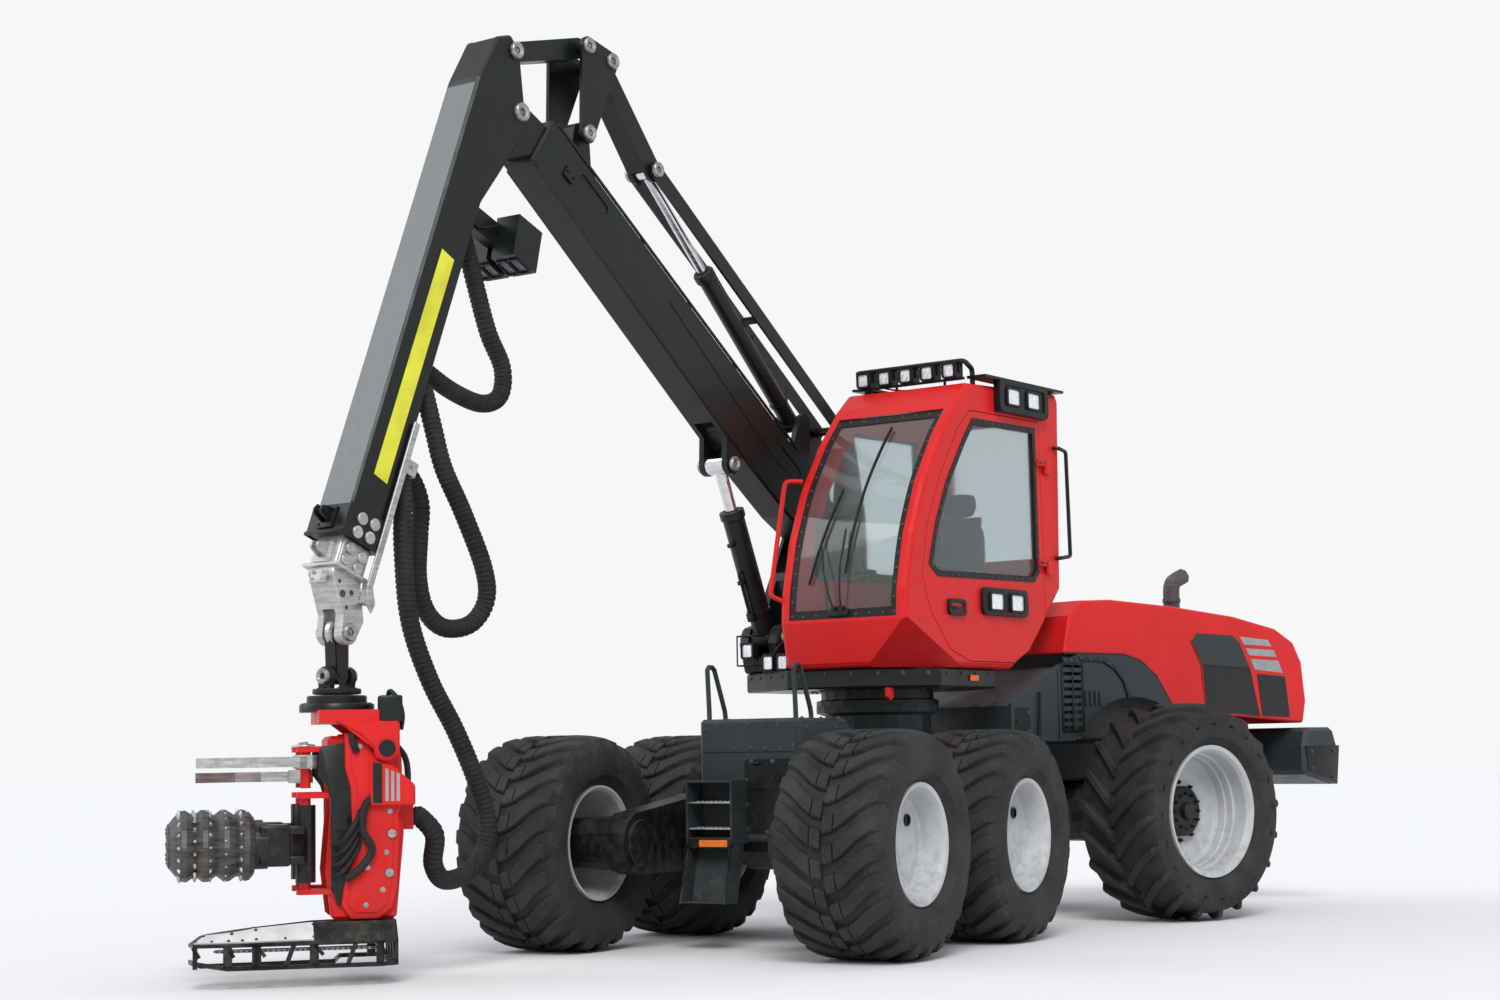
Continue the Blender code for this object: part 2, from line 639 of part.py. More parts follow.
def rear_chassis():
    """Rear frame with its tongue, axle, engine, cowls, hood, exhaust and bumper."""
    tongue_low = frame_bottom + 0.10 + running
    tongue_high = frame_top - 0.10 - running
    tongue_radius = 0.15
    start = -0.32
    end = -3.60
    low = 0.98
    lap = 0.004
    top = cowl_bottom + lap - touch
    half = 0.33
    side = [(start, tongue_low), (start, tongue_high), (start - 0.15, top), (end, top), (end, low), (-1.05, low),
            (-0.80, tongue_low)]
    body = soften(profile("xz", [side], -half, half), 0.02)
    shape = [(start - overrun, -tongue_radius), *arc((0.0, 0.0), tongue_radius, -90.0, 90.0, 10),
             (start - overrun, tongue_radius)]
    tongue = profile("xy", [shape], tongue_low, tongue_high)
    pin_hole = drill((0.0, 0.0, tongue_low - overrun), (0.0, 0.0, tongue_high + overrun), pin_radius * 1.6)
    bumper_line = [(end + 0.02, 0.99), (-3.98, 0.90), (-4.02, 1.20), (-3.96, 1.345), (-3.62, 1.345), (end + 0.02, 1.20)]
    bumper = soften(profile("xz", [bumper_line], -0.80, 0.80), 0.03)
    place(cut(fuse(body, tongue, bumper), pin_hole), "rear_frame", "rear", "slate_paint")
    height = rear_tyre_radius
    centre_radius = low - touch - height
    pipe = 0.13
    hub_out = rear_track / 2 + rear_tyre_width / 2 * rear_dish_share - rim_skin - touch
    axle = turned([(0.0, hub_out), (pipe * 1.3, hub_out), (pipe * 1.3, hub_out * 0.8), (pipe, hub_out * 0.75),
                   (pipe, hub_out * 0.4), (centre_radius, hub_out * 0.25), (centre_radius, -hub_out * 0.25),
                   (pipe, -hub_out * 0.4), (pipe, -hub_out * 0.75), (pipe * 1.3, -hub_out * 0.8), (pipe * 1.3, -hub_out),
                   (0.0, -hub_out)], (-rear_axle_back, 0.0, height), steps=16)
    place(axle, "rear_axle", "rear", "black_paint")
    engine = span((-2.75, -0.33, top + touch), (-1.45, 0.33, 1.98))
    place(soften(engine, 0.03), "engine_block", "rear", "steel")
    skin = 0.03
    wide = hood_half_width
    cowl_top = 1.87
    cowl_front = -0.42
    arch_radius = rear_tyre_radius + 0.06
    arch = [(x, z) for x, z in arc((-rear_axle_back, height), arch_radius, 38.0, 118.0, 8)]
    split_line = [(-2.13, 1.52), (-1.97, 1.72), (-1.80, 1.83), (-1.62, cowl_top), (-1.12, cowl_top)]
    panel = [(cowl_front, cowl_bottom), *arch, *split_line, (-0.90, 1.78), (cowl_front, 1.52)]
    sides = [profile("xz", [panel], edge, edge + skin) for edge in (-wide, wide - skin)]
    floor = span((-1.00, -wide + skin / 2, cowl_bottom + lap), (cowl_front - lap * 2, wide - skin / 2, cowl_bottom + skin))
    shelf = [(-0.985, 1.785), (-0.89, 1.765), (cowl_front - lap * 2, 1.505), (cowl_front - lap * 2, 1.47), (-0.89, 1.73),
             (-0.985, 1.75)]
    roof = profile("xz", [shelf], -wide + skin * 0.6, wide - skin * 0.6)
    nose = span((cowl_front - skin, -wide + skin * 0.7, cowl_bottom + lap * 2), (cowl_front - lap, wide - skin * 0.7, 1.49))
    slats = []
    slat_pitch = 0.054
    for index in range(9):
        low = 1.34 + slat_pitch * index
        slats.append(span((-1.15, -wide - overrun, low), (-0.96, wide + overrun, low + slat_pitch * 0.45)))
    fins = []
    for index in range(4):
        low_x = -1.35 + 0.05 * index
        for edge in (wide, -wide):
            fins.append(span((low_x, edge - lug_lap, 1.51), (low_x + 0.02, edge + lug_lap * 1.6, 1.61)))
    cowl = cut(fuse(sides[0], sides[1], floor, nose, roof), *slats)
    place(fuse(cowl, *fins), "lower_cowl", "rear", "slate_paint")
    hood_line = [(-0.97, cowl_top + touch), (-1.12, cowl_top + touch), (-1.62, cowl_top + touch), (-1.80 - touch, 1.83 + touch),
                 (-1.97 - touch, 1.72 + touch), (-2.13 - touch * 2, 1.52 + touch), (-2.16, 1.49), (-2.40, 1.47), (-3.72, 1.38)]
    crown = [(-3.76, 1.55), (-3.72, 1.85), (-3.62, 2.00), (-3.40, 2.10), (-2.90, 2.18), (-2.20, 2.235),
             (-1.50, 2.265), (-1.18, 2.25), (-1.04, 2.14)]
    hood = profile("xz", [hood_line + crown], -wide, wide)
    hood = soften(hood, 0.08, 3, angle=80.0)
    inner_line = [(-0.90, 1.30), (-3.69, 1.30), (-3.69, 1.84), (-3.58, 1.97), (-3.38, 2.065), (-2.90, 2.145),
                  (-2.20, 2.20), (-1.50, 2.23), (-1.20, 2.215), (-1.06, 2.10)]
    hollow = soften(profile("xz", [inner_line], -wide + skin, wide - skin), 0.08, 2, angle=70.0)
    place(cut(hood, hollow), "hood", "rear", "red_paint")
    pipe_radius = 0.062
    stack_x = -2.66
    stack_y = 0.30
    stack_low = 2.2043
    path = rounded_path([(stack_x, stack_y, stack_low), (stack_x, stack_y, stack_low + 0.25),
                         (stack_x - 0.14, stack_y, stack_low + 0.30)], 0.07)
    place(tube(path, pipe_radius), "exhaust", "rear", "steel")


def platform():
    """The turning deck with its ring."""
    ring = turned([(0.0, deck_bottom + overrun), (ring_radius * 0.92, deck_bottom + overrun), (ring_radius * 0.92, ring_bottom + 0.04),
                   (ring_radius, ring_bottom + 0.03), (ring_radius, ring_bottom), (0.0, ring_bottom)],
                  (0.0, 0.0, 0.0), axis="z")
    outline = [(0.62, -0.50), (0.45, -0.78), (-0.30, -0.78), (-0.71, -0.32), (-0.71, 0.30), (-0.34, 0.74), (0.40, 0.76),
               (0.78, 0.42), (0.78, -0.20)]
    deck = soften(profile("xy", [outline], deck_bottom, deck_top), 0.012)
    lamp_wide = 0.10
    lamp_front = 0.66
    lamps = []
    for edge in (-0.487, -0.367):
        low = (lamp_front - lamp_wide, edge, deck_top - lug_lap)
        lamps.append(span(low, (lamp_front, edge + lamp_wide, deck_top + lamp_wide * 1.25)))
    place(fuse(deck, ring, *lamps), "platform_deck", "platform", "black_paint")


cab_right = -0.17
cab_left = 0.82
cab_floor = deck_top + touch
cab_skin = 0.045
cab_side = [(0.84, cab_floor), (0.90, 2.05), (0.885, 2.25), (0.80, 2.60), (0.65, 2.95), (0.43, 3.28), (0.20, 3.54),
            (0.06, 3.66), (-1.12, 3.71), (-1.16, 3.66), (-1.13, 2.33), (-0.78, 1.97), (-0.43, cab_floor)]


def inset(points, amount):
    """Move each corner of an outline that runs anticlockwise or clockwise inward."""
    area = sum(a[0] * b[1] - b[0] * a[1] for a, b in zip(points, points[1:] + points[:1]))
    turn = 1.0 if area > 0.0 else -1.0
    moved = []
    for before, here, after in zip(points[-1:] + points[:-1], points, points[1:] + points[:1]):
        first = (Vector(here) - Vector(before)).normalized()
        second = (Vector(after) - Vector(here)).normalized()
        lead = Vector((-first.y, first.x)) * turn
        tail = Vector((-second.y, second.x)) * turn
        half = (lead + tail).normalized()
        moved.append(tuple(Vector(here) + half * (amount / max(half.dot(lead), 0.4))))
    return moved


def cab():
    """Hollow cab with cut windows, its door, the panes, seat, lamps and rails."""
    shell = profile("xz", [cab_side], cab_right, cab_left)
    shell = soften(shell, 0.035, 2, angle=60.0)
    inner = profile("xz", [inset(cab_side, cab_skin)], cab_right + cab_skin, cab_left - cab_skin)
    front_top = (0.18, 3.50)
    screen = span((front_top[0], cab_right + 0.075, 2.07), (1.2, cab_left - 0.075, 3.47))
    door_line = [(0.60, 2.10), (0.70, 2.35), (0.62, 2.68), (0.46, 3.00), (0.22, 3.34), (0.06, 3.475), (-0.86, 3.485),
                 (-0.90, 2.12), (-0.66, 1.88), (-0.46, 1.79), (0.12, 1.79), (0.36, 1.86)]
    window_line = [(0.50, 2.36), (0.585, 2.42), (0.50, 2.68), (0.36, 2.96), (0.14, 3.26), (0.02, 3.40), (-0.78, 3.41),
                   (-0.80, 2.44), (-0.74, 2.38)]
    opening = profile("xz", [door_line], cab_left - cab_skin - overrun, cab_left + overrun)
    right_window = profile("xz", [window_line], cab_right - overrun, cab_right + cab_skin + overrun)
    rear_window = span((-1.3, cab_right + 0.12, 2.55), (-0.95, cab_left - 0.12, 3.52))
    corners = [Vector((0.88, cab_left, 2.06)), Vector((0.84, 0.475, cab_floor)), Vector((0.22, cab_left, cab_floor))]
    outward = (corners[1] - corners[0]).cross(corners[2] - corners[0]).normalized()
    half = cab_left - cab_right
    facet = sum(corners, Vector()) / len(corners)
    wedge = rod(facet, facet + outward * half, half, sides=4)
    inner_wedge = rod(facet - outward * cab_skin, facet + outward * half, half * 1.1, sides=4)
    inner = cut(inner, inner_wedge)
    shell = cut(shell, inner, wedge, screen, opening, right_window, rear_window)
    grip = tube(rounded_path([(0.86, cab_right + 0.02, 2.20), (0.93, cab_right - 0.05, 2.24), (0.74, cab_right - 0.05, 3.02),
                              (0.64, cab_right + 0.02, 3.02)], 0.04), 0.016)
    hinge = (-0.912, cab_left + 0.022)
    knuckle_radius = 0.016
    hinge_pin = 0.008
    hinge_half = 0.05
    lugs = []
    straps = []
    for low in (2.42, 3.12):
        middle = low + hinge_half
        top = middle + hinge_half
        lugs.append(span((hinge[0] - 0.06, cab_left - 0.01, low), (hinge[0], hinge[1] + 0.005, middle)))
        lugs.append(rod((*hinge, low + 0.002), (*hinge, middle - 0.002), knuckle_radius))
        lugs.append(rod((*hinge, low + 0.01), (*hinge, top), hinge_pin))
        straps.append(rod((*hinge, middle + 2 * touch), (*hinge, top - 0.002), knuckle_radius))
        straps.append(span((hinge[0], cab_left + 2 * touch, middle + 0.004), (hinge[0] + 0.11, hinge[1] + 0.005, top - 0.004)))
        straps.append(span((hinge[0] + 0.06, cab_left - 0.01, middle + 0.006), (hinge[0] + 0.10, hinge[1], top - 0.006)))
    place(fuse(shell, grip, *lugs), "cab_shell", "platform", "red_paint")
    leaf_line = inset(door_line, running)
    leaf = profile("xz", [leaf_line, window_line], cab_left - cab_skin, cab_left)
    raised = 0.022
    badge = soften(span((-0.60, cab_left - lug_lap, 2.115), (-0.04, cab_left + raised, 2.28)), raised / 2)
    handle = span((0.20, cab_left - lug_lap, 2.10), (0.385, cab_left + raised / 2, 2.185))
    leaf = fuse(leaf, badge, handle)
    pivot("door_pivot", "platform", (hinge[0], hinge[1], 2.80))
    leaf = cut(fuse(leaf, *straps), drill((*hinge, 2.3), (*hinge, 3.3), hinge_pin))
    place(leaf, "cab_door", "door_pivot", "red_paint")
    pane = 0.006
    inner_pane = inset(window_line, touch)
    middle = cab_left - cab_skin / 2
    place(profile("xz", [inner_pane], middle - pane / 2, middle + pane / 2), "door_glass", "door_pivot", "glass")
    middle = cab_right + cab_skin / 2
    place(profile("xz", [inner_pane], middle - pane / 2, middle + pane / 2), "right_glass", "platform", "glass")
    depth = 0.018
    for name, low, high in (("windscreen", (0.18 + touch, cab_right + 0.075 + touch, 2.07 + touch), (1.2, cab_left - 0.075 - touch, 3.47 - touch)),
                            ("rear_glass", (-1.3, cab_right + 0.12 + touch, 2.55 + touch), (-0.95, cab_left - 0.12 - touch, 3.52 - touch))):
        sheet = profile("xz", [inset(cab_side, depth)], low[1], high[1])
        core = profile("xz", [inset(cab_side, depth + pane)], low[1] - overrun, high[1] + overrun)
        place(combine(cut(sheet, core), [span(low, high)], "INTERSECT"), name, "platform", "glass")
    floor = cab_floor + cab_skin + touch
    seat_mid = (cab_left + cab_right) / 2
    base = span((-0.34, seat_mid - 0.20, floor), (0.04, seat_mid + 0.20, floor + 0.30))
    cushion = soften(span((-0.42, seat_mid - 0.26, floor + 0.28), (0.14, seat_mid + 0.26, floor + 0.42)), 0.04, 2)
    rest = soften(profile("xz", [[(-0.30, floor + 0.34), (-0.44, floor + 0.34), (-0.60, floor + 1.10), (-0.48, floor + 1.12)]],
                          seat_mid - 0.25, seat_mid + 0.25), 0.04, 2)
    place(fuse(base, cushion, rest), "seat", "platform", "cloth")
    bar_radius = 0.018
    roof = 3.6691
    top = 3.82
    path = rounded_path([(-0.12, cab_right + 0.08, roof), (-0.12, cab_right + 0.08, top - 0.04), (0.02, cab_right + 0.06, top),
                         (0.02, cab_left - 0.06, top), (-0.12, cab_left - 0.08, top - 0.04), (-0.12, cab_left - 0.08, roof)], 0.03, 2)
    bar = tube(path, bar_radius)
    lamps = []
    count = 5
    inner_span = cab_left - cab_right - 0.30
    for index in range(count):
        across = cab_right + 0.15 + inner_span * index / (count - 1)
        lamps.append(span((-0.03, across - 0.05, top - 0.12), (0.06, across + 0.05, top - 0.01)))
    for edge, out in ((cab_left, 1.0), (cab_right, -1.0)):
        visor_low = 3.712
        visor_out = edge + out * 0.045
        visor_in = edge - out * 0.10
        low = (-1.15, min(visor_out, visor_in), visor_low)
        lamps.append(span(low, (-0.08, max(visor_out, visor_in), visor_low + bar_radius)))
        pod_in = edge + out * touch * 4
        low = (-0.90, min(visor_out, pod_in), 3.497)
        lamps.append(span(low, (-0.26, max(visor_out, pod_in), visor_low + bar_radius / 2)))
    place(fuse(bar, *lamps), "light_bar", "platform", "black_paint")
    rail_y = cab_left + 0.04
    rail = tube(rounded_path([(-1.06, cab_left + touch * 3, 3.317), (-1.06, rail_y, 3.317), (-1.17, rail_y, 3.30), (-1.20, rail_y, 2.56),
                              (-1.06, rail_y, 2.54), (-1.06, cab_left + touch * 3, 2.54)], 0.02, 2), 0.014)
    place(rail, "cab_rail", "platform", "black_paint")


def crane_pillar():
    """The crane's pillar, with cheeks for the boom's foot and for the lift cylinder."""
    half = 0.165
    mast = 0.075
    outline = [(-0.34, deck_top + touch), (0.50, deck_top + touch), (0.56, 1.95), (0.52, 2.06), (0.38, 2.10), (0.20, 2.42),
               (0.0, 2.80), *arc((boom_foot.x, boom_foot.z), 0.20, 20.0, 70.0, 3), *arc(flat(bar_foot), mast, 0.0, 180.0, 6),
               (-0.56, 2.90), (-0.58, 2.30)]
    pillar = profile("xz", [outline], -crane_side - half, -crane_side + half)
    fork = span((-1.0, -crane_side - 0.126, boom_foot.z - 0.26), (1.0, -crane_side + 0.126, bar_foot.z + 0.3))
    foot = span((0.20, -crane_side - 0.086, 1.86), (0.8, -crane_side + 0.086, 2.4))
    pins = [cross_rod(boom_foot, pin_radius * 1.4, half), cross_rod(lift_base, pin_radius, half)]
    pillar = cut(soften(pillar, 0.015), fork, foot)
    place(fuse(pillar, *pins), "crane_pillar", "platform", "black_paint")


def boom():
    """The main boom: deep at its foot, tapering to a narrow tip lug."""
    run = (knuckle - boom_foot).normalized()
    up = Vector((-run.z, 0.0, run.x))
    length = (knuckle - boom_foot).length

    def at(along, rise):
        point = boom_foot + run * along + up * rise
        return (point.x, point.z)

    half = 0.12
    body_end = length - 0.24
    foot_radius = 0.17
    outline = [at(-0.02, foot_radius), at(-0.15, 0.08), at(-0.17, 0.0), at(-0.15, -0.08), at(-0.02, -foot_radius), at(0.55, -0.25), at(1.25, -0.26),
               at(body_end, -0.16), at(body_end, 0.20), at(body_end - 0.5, 0.20), at(0.7, 0.20)]
    body = soften(profile("xz", [outline], -crane_side - half, -crane_side + half), 0.012)
    lug = profile("xz", [[at(body_end - overrun, 0.14), at(body_end - overrun, -0.13), at(length, -0.09), at(length + 0.08, -0.04),
                          at(length + 0.09, 0.02), at(length + 0.06, 0.08)]], -crane_side - 0.094, -crane_side + 0.094)
    ear_line = capsule(flat(rocker_foot), at(body_end - 0.45, 0.05), 0.075, 0.12)
    ear = profile("xz", [ear_line], -crane_side - 0.09, -crane_side + 0.09)
    eye_line = capsule(flat(lift_eye), at(1.35, -0.10), 0.07, 0.12)
    eyes = [profile("xz", [eye_line], -crane_side + low, -crane_side + high) for low, high in ((-0.115, -0.076), (0.076, 0.115))]
    base_line = capsule(flat(fold_base), at(0.62, 0.10), 0.065, 0.12)
    bases = [profile("xz", [base_line], -crane_side + low, -crane_side + high) for low, high in ((-0.115, -0.076), (0.076, 0.115))]
    solid = fuse(body, lug, ear, *eyes, *bases)
    rocker_pin = cross_rod(rocker_foot, pin_radius, 0.155)
    lift_pins = pin_stubs(lift_eye, pin_radius, 0.080, 0.130)
    sweep_line = capsule(at(1.12, -0.46), at(1.44, -0.34), 0.13, 0.13)
    pocket = profile("xz", [sweep_line], -crane_side - 0.0755, -crane_side + 0.0755)
    slots = []
    slot_deep = 0.008
    for start, end, rise in ((0.62, 0.86, 0.07), (3.18, 3.44, 0.09)):
        line = capsule(at(start, rise), at(end, rise), 0.035, 0.035, 4)
        for low in (-half - overrun, half - slot_deep):
            slots.append(profile("xz", [line], -crane_side + low, -crane_side + low + overrun + slot_deep))
    fold_pin = cross_rod(fold_base, pin_radius, 0.10)
    knuckle_hole = cross_bore(knuckle, pin_radius * 1.2, 0.2)
    foot_hole = cross_bore(boom_foot, pin_radius * 1.4, 0.3)
    solid = fuse(cut(solid, pocket, *slots), rocker_pin, *lift_pins, fold_pin)
    solid = cut(solid, knuckle_hole, foot_hole)
    place(solid, "main_boom", "boom_pivot", "black_paint")


def linkage():
    """Rocker plates, coupler and the parallel beam over the boom."""
    plates = []
    middle = (rocker_top + beam_top) / 2
    rocker_line = [*arc(flat(rocker_foot), 0.065, 180.0, 360.0, 8), *arc(flat(rocker_top), 0.06, 0.0, 90.0, 4),
                   *arc(flat(beam_top), 0.06, 90.0, 190.0, 4)]
    for low in (-0.15, 0.126):
        plates.append(profile("xz", [rocker_line], -crane_side + low, -crane_side + low + 0.024))
    pins = [cross_rod(rocker_top, pin_radius, 0.14), cross_rod(beam_top, pin_radius, 0.14)]
    hole = cross_bore(rocker_foot, pin_radius, 0.3)
    rocker = cut(plates[0], cross_bore(rocker_foot, pin_radius, 0.3))
    other = cut(plates[1], hole)
    place(fuse(rocker, other, *pins), "rocker", "rocker_pivot", "black_paint")
    coupler_line = capsule(flat(stick_pin), flat(rocker_top), 0.06, 0.065)
    coupler = profile("xz", [coupler_line], -crane_side - 0.07, -crane_side + 0.07)
    place(cut(coupler, cross_bore(rocker_top, pin_radius, 0.3)), "coupler", "coupler_pivot", "black_paint")
    beam_line = capsule(flat(beam_top), flat(beam_foot), 0.065, 0.075)
    beam = profile("xz", [beam_line], -crane_side - 0.075, -crane_side + 0.075)
    side_gap = 0.045
    slot_line = capsule(flat(beam_foot), flat(beam_foot + (fold_base - beam_foot).normalized() * 0.3), 0.085, 0.085)
    slot = profile("xz", [slot_line], -crane_side - side_gap - running, -crane_side + side_gap + running)
    pins = pin_stubs(beam_foot, pin_radius, side_gap + running * 2, 0.11)
    beam = cut(beam, slot, cross_bore(beam_top, pin_radius, 0.3))
    place(fuse(beam, *pins), "parallel_beam", "beam_pivot", "black_paint")
    sides = []
    for low, high in ((-0.10, -0.081), (0.081, 0.10)):
        strip = profile("xz", [capsule(flat(beam_foot), flat(bar_foot), 0.055, 0.045, 5)], -crane_side + low, -crane_side + high)
        sides.append(cut(strip, cross_bore(beam_foot, pin_radius, 0.3)))
    spacer = cross_rod(beam_foot.lerp(bar_foot, 0.55), 0.028, 0.09)
    foot = cross_rod(bar_foot, 0.03, 0.1255)
    place(fuse(sides[0], sides[1], spacer, foot), "parallel_bar", "beam_pivot", "black_paint")


def cylinder(base, eye, barrel_radius, rod_radius, barrel_share, inner_share, width, names, carriers):
    """A hydraulic cylinder: barrel with its foot eye, rod with its head eye."""
    run = (eye - base).normalized()
    length = (eye - base).length
    barrel_end = base + run * (length * barrel_share)
    eye_radius = barrel_radius * 0.95
    barrel = rod(base + run * eye_radius * 0.7, barrel_end, barrel_radius, sides=20)
    collar = rod(barrel_end - run * 0.05, barrel_end, barrel_radius * 1.15, sides=20)
    foot = cross_rod(base, eye_radius, width / 2, sides=20)
    rod_sides = 16
    hollow = drill(base + run * (eye_radius + 0.05), barrel_end + run * overrun, rod_radius, rod_sides)
    hole = cross_bore(base, pin_radius, 0.3)
    place(cut(fuse(barrel, collar, foot), hollow, hole), names[0], carriers[0], "black_paint")
    start = base + run * (length * inner_share)
    shaft = rod(start, eye - run * eye_radius * 0.5, rod_radius, sides=rod_sides)
    head = cross_rod(eye, eye_radius * 0.9, width / 2, sides=20)
    place(fuse(shaft, head), names[1], carriers[1], "steel")


def stick():
    """The outer arm: a hollow box with a forked top, and the sliding extension with its fork."""
    run = (stick_low - stick_top).normalized()
    back = Vector((run.z, 0.0, -run.x))

    def at(along, rise):
        point = stick_top + run * along + back * rise
        return (point.x, point.z)

    half = 0.13
    skin = 0.03
    depth = 0.15
    end = (stick_low - stick_top).length
    outline = [at(-0.02, -0.10), at(-0.10, 0.0), at(-0.06, 0.10), at(0.30, 0.30), at(0.50, 0.30), at(1.0, depth), at(end, depth),
               at(end, -depth), at(0.3, -depth)]
    box = soften(profile("xz", [outline], -crane_side - half, -crane_side + half), 0.012)
    hollow_line = [at(-0.4, 0.5), at(0.56, 0.5), at(0.66, 0.34), at(0.78, depth - skin), at(end + overrun, depth - skin), at(end + overrun, skin - depth),
                   at(0.25, skin - depth), at(-0.4, -0.06)]
    hollow = profile("xz", [hollow_line], -crane_side - half + skin, -crane_side + half - skin)
    collar_line = [at(end - 0.16, -depth - 0.018), at(end, -depth - 0.018), at(end, depth - 0.002), at(end - 0.16, depth - 0.002)]
    collar = profile("xz", [collar_line], -crane_side - half - 0.014, -crane_side + half + 0.014)
    box = fuse(box, collar)
    pins = [cross_rod(knuckle, pin_radius * 1.2, half), *pin_stubs(stick_pin, pin_radius, half - skin + lug_lap, half + lug_lap)]
    line = [at(0.98, depth - 0.02), at(0.98, 0.58), at(1.12, 0.58), at(1.12, depth - 0.02)]
    bracket = profile("xz", [line], -crane_side - 0.04, -crane_side + 0.04)
    lamp_line = [at(0.94, 0.40), at(0.94, 0.62), at(1.20, 0.66), at(1.20, 0.44)]
    lamps = [profile("xz", [lamp_line], -crane_side + low, -crane_side + high) for low, high in ((-0.20, -0.02), (0.02, 0.20))]
    place(fuse(cut(box, hollow), *pins, bracket, *lamps), "stick", "knuckle_pivot", "black_paint")
    inner = depth - skin - 0.005
    reach = (tip_pin - stick_top).dot(run)
    lean = (tip_pin - stick_top).dot(back)
    start = 1.95
    slide_line = [at(start, inner), at(start, -inner), at(end + 0.22, -inner), at(reach - 0.07, lean - 0.085), *arc(flat(tip_pin), 0.07, 345.0, 195.0, 8),
                  at(reach - 0.10, lean + 0.085), at(end + 0.20, inner)]
    bar = soften(profile("xz", [slide_line], -crane_side - half + skin + 2 * touch, -crane_side + half - skin - 2 * touch), 0.008)
    notch = span((tip_pin.x - 0.2, -crane_side - 0.046, tip_pin.z - 0.2), (tip_pin.x + 0.2, -crane_side + 0.046, tip_pin.z + 0.13))
    place(fuse(cut(bar, notch), cross_rod(tip_pin, pin_radius, 0.08)), "stick_extension", "extension_slide", "steel")


def hanger():
    """The swinging links and the rotator under the stick's tip."""
    link_line = capsule(flat(tip_pin), flat(cross_pin), 0.055, 0.045)
    upper = profile("xz", [link_line], -crane_side - 0.04, -crane_side + 0.04)
    hole = cross_bore(tip_pin, pin_radius, 0.3)
    pin = rod(cross_pin - Vector((0.10, 0.0, 0.0)), cross_pin + Vector((0.10, 0.0, 0.0)), pin_radius)
    place(fuse(cut(upper, hole), pin), "tip_link", "tip_pivot", "black_paint")
    ears = []
    for low, high in ((-0.095, -0.061), (0.061, 0.095)):
        ears.append(profile("yz", [capsule((-crane_side, cross_pin.z), (-crane_side, rotator_top + 0.048), 0.055, 0.045)],
                            cross_pin.x + low, cross_pin.x + high))
    body = rod((cross_pin.x, -crane_side, rotator_top), (cross_pin.x, -crane_side, rotator_top + 0.025), 0.12, sides=16)
    hole = drill(cross_pin - Vector((0.3, 0.0, 0.0)), cross_pin + Vector((0.3, 0.0, 0.0)), pin_radius)
    yoke = cut(fuse(body, *ears), hole)
    place(yoke, "rotator_body", "cross_pivot", "black_paint")


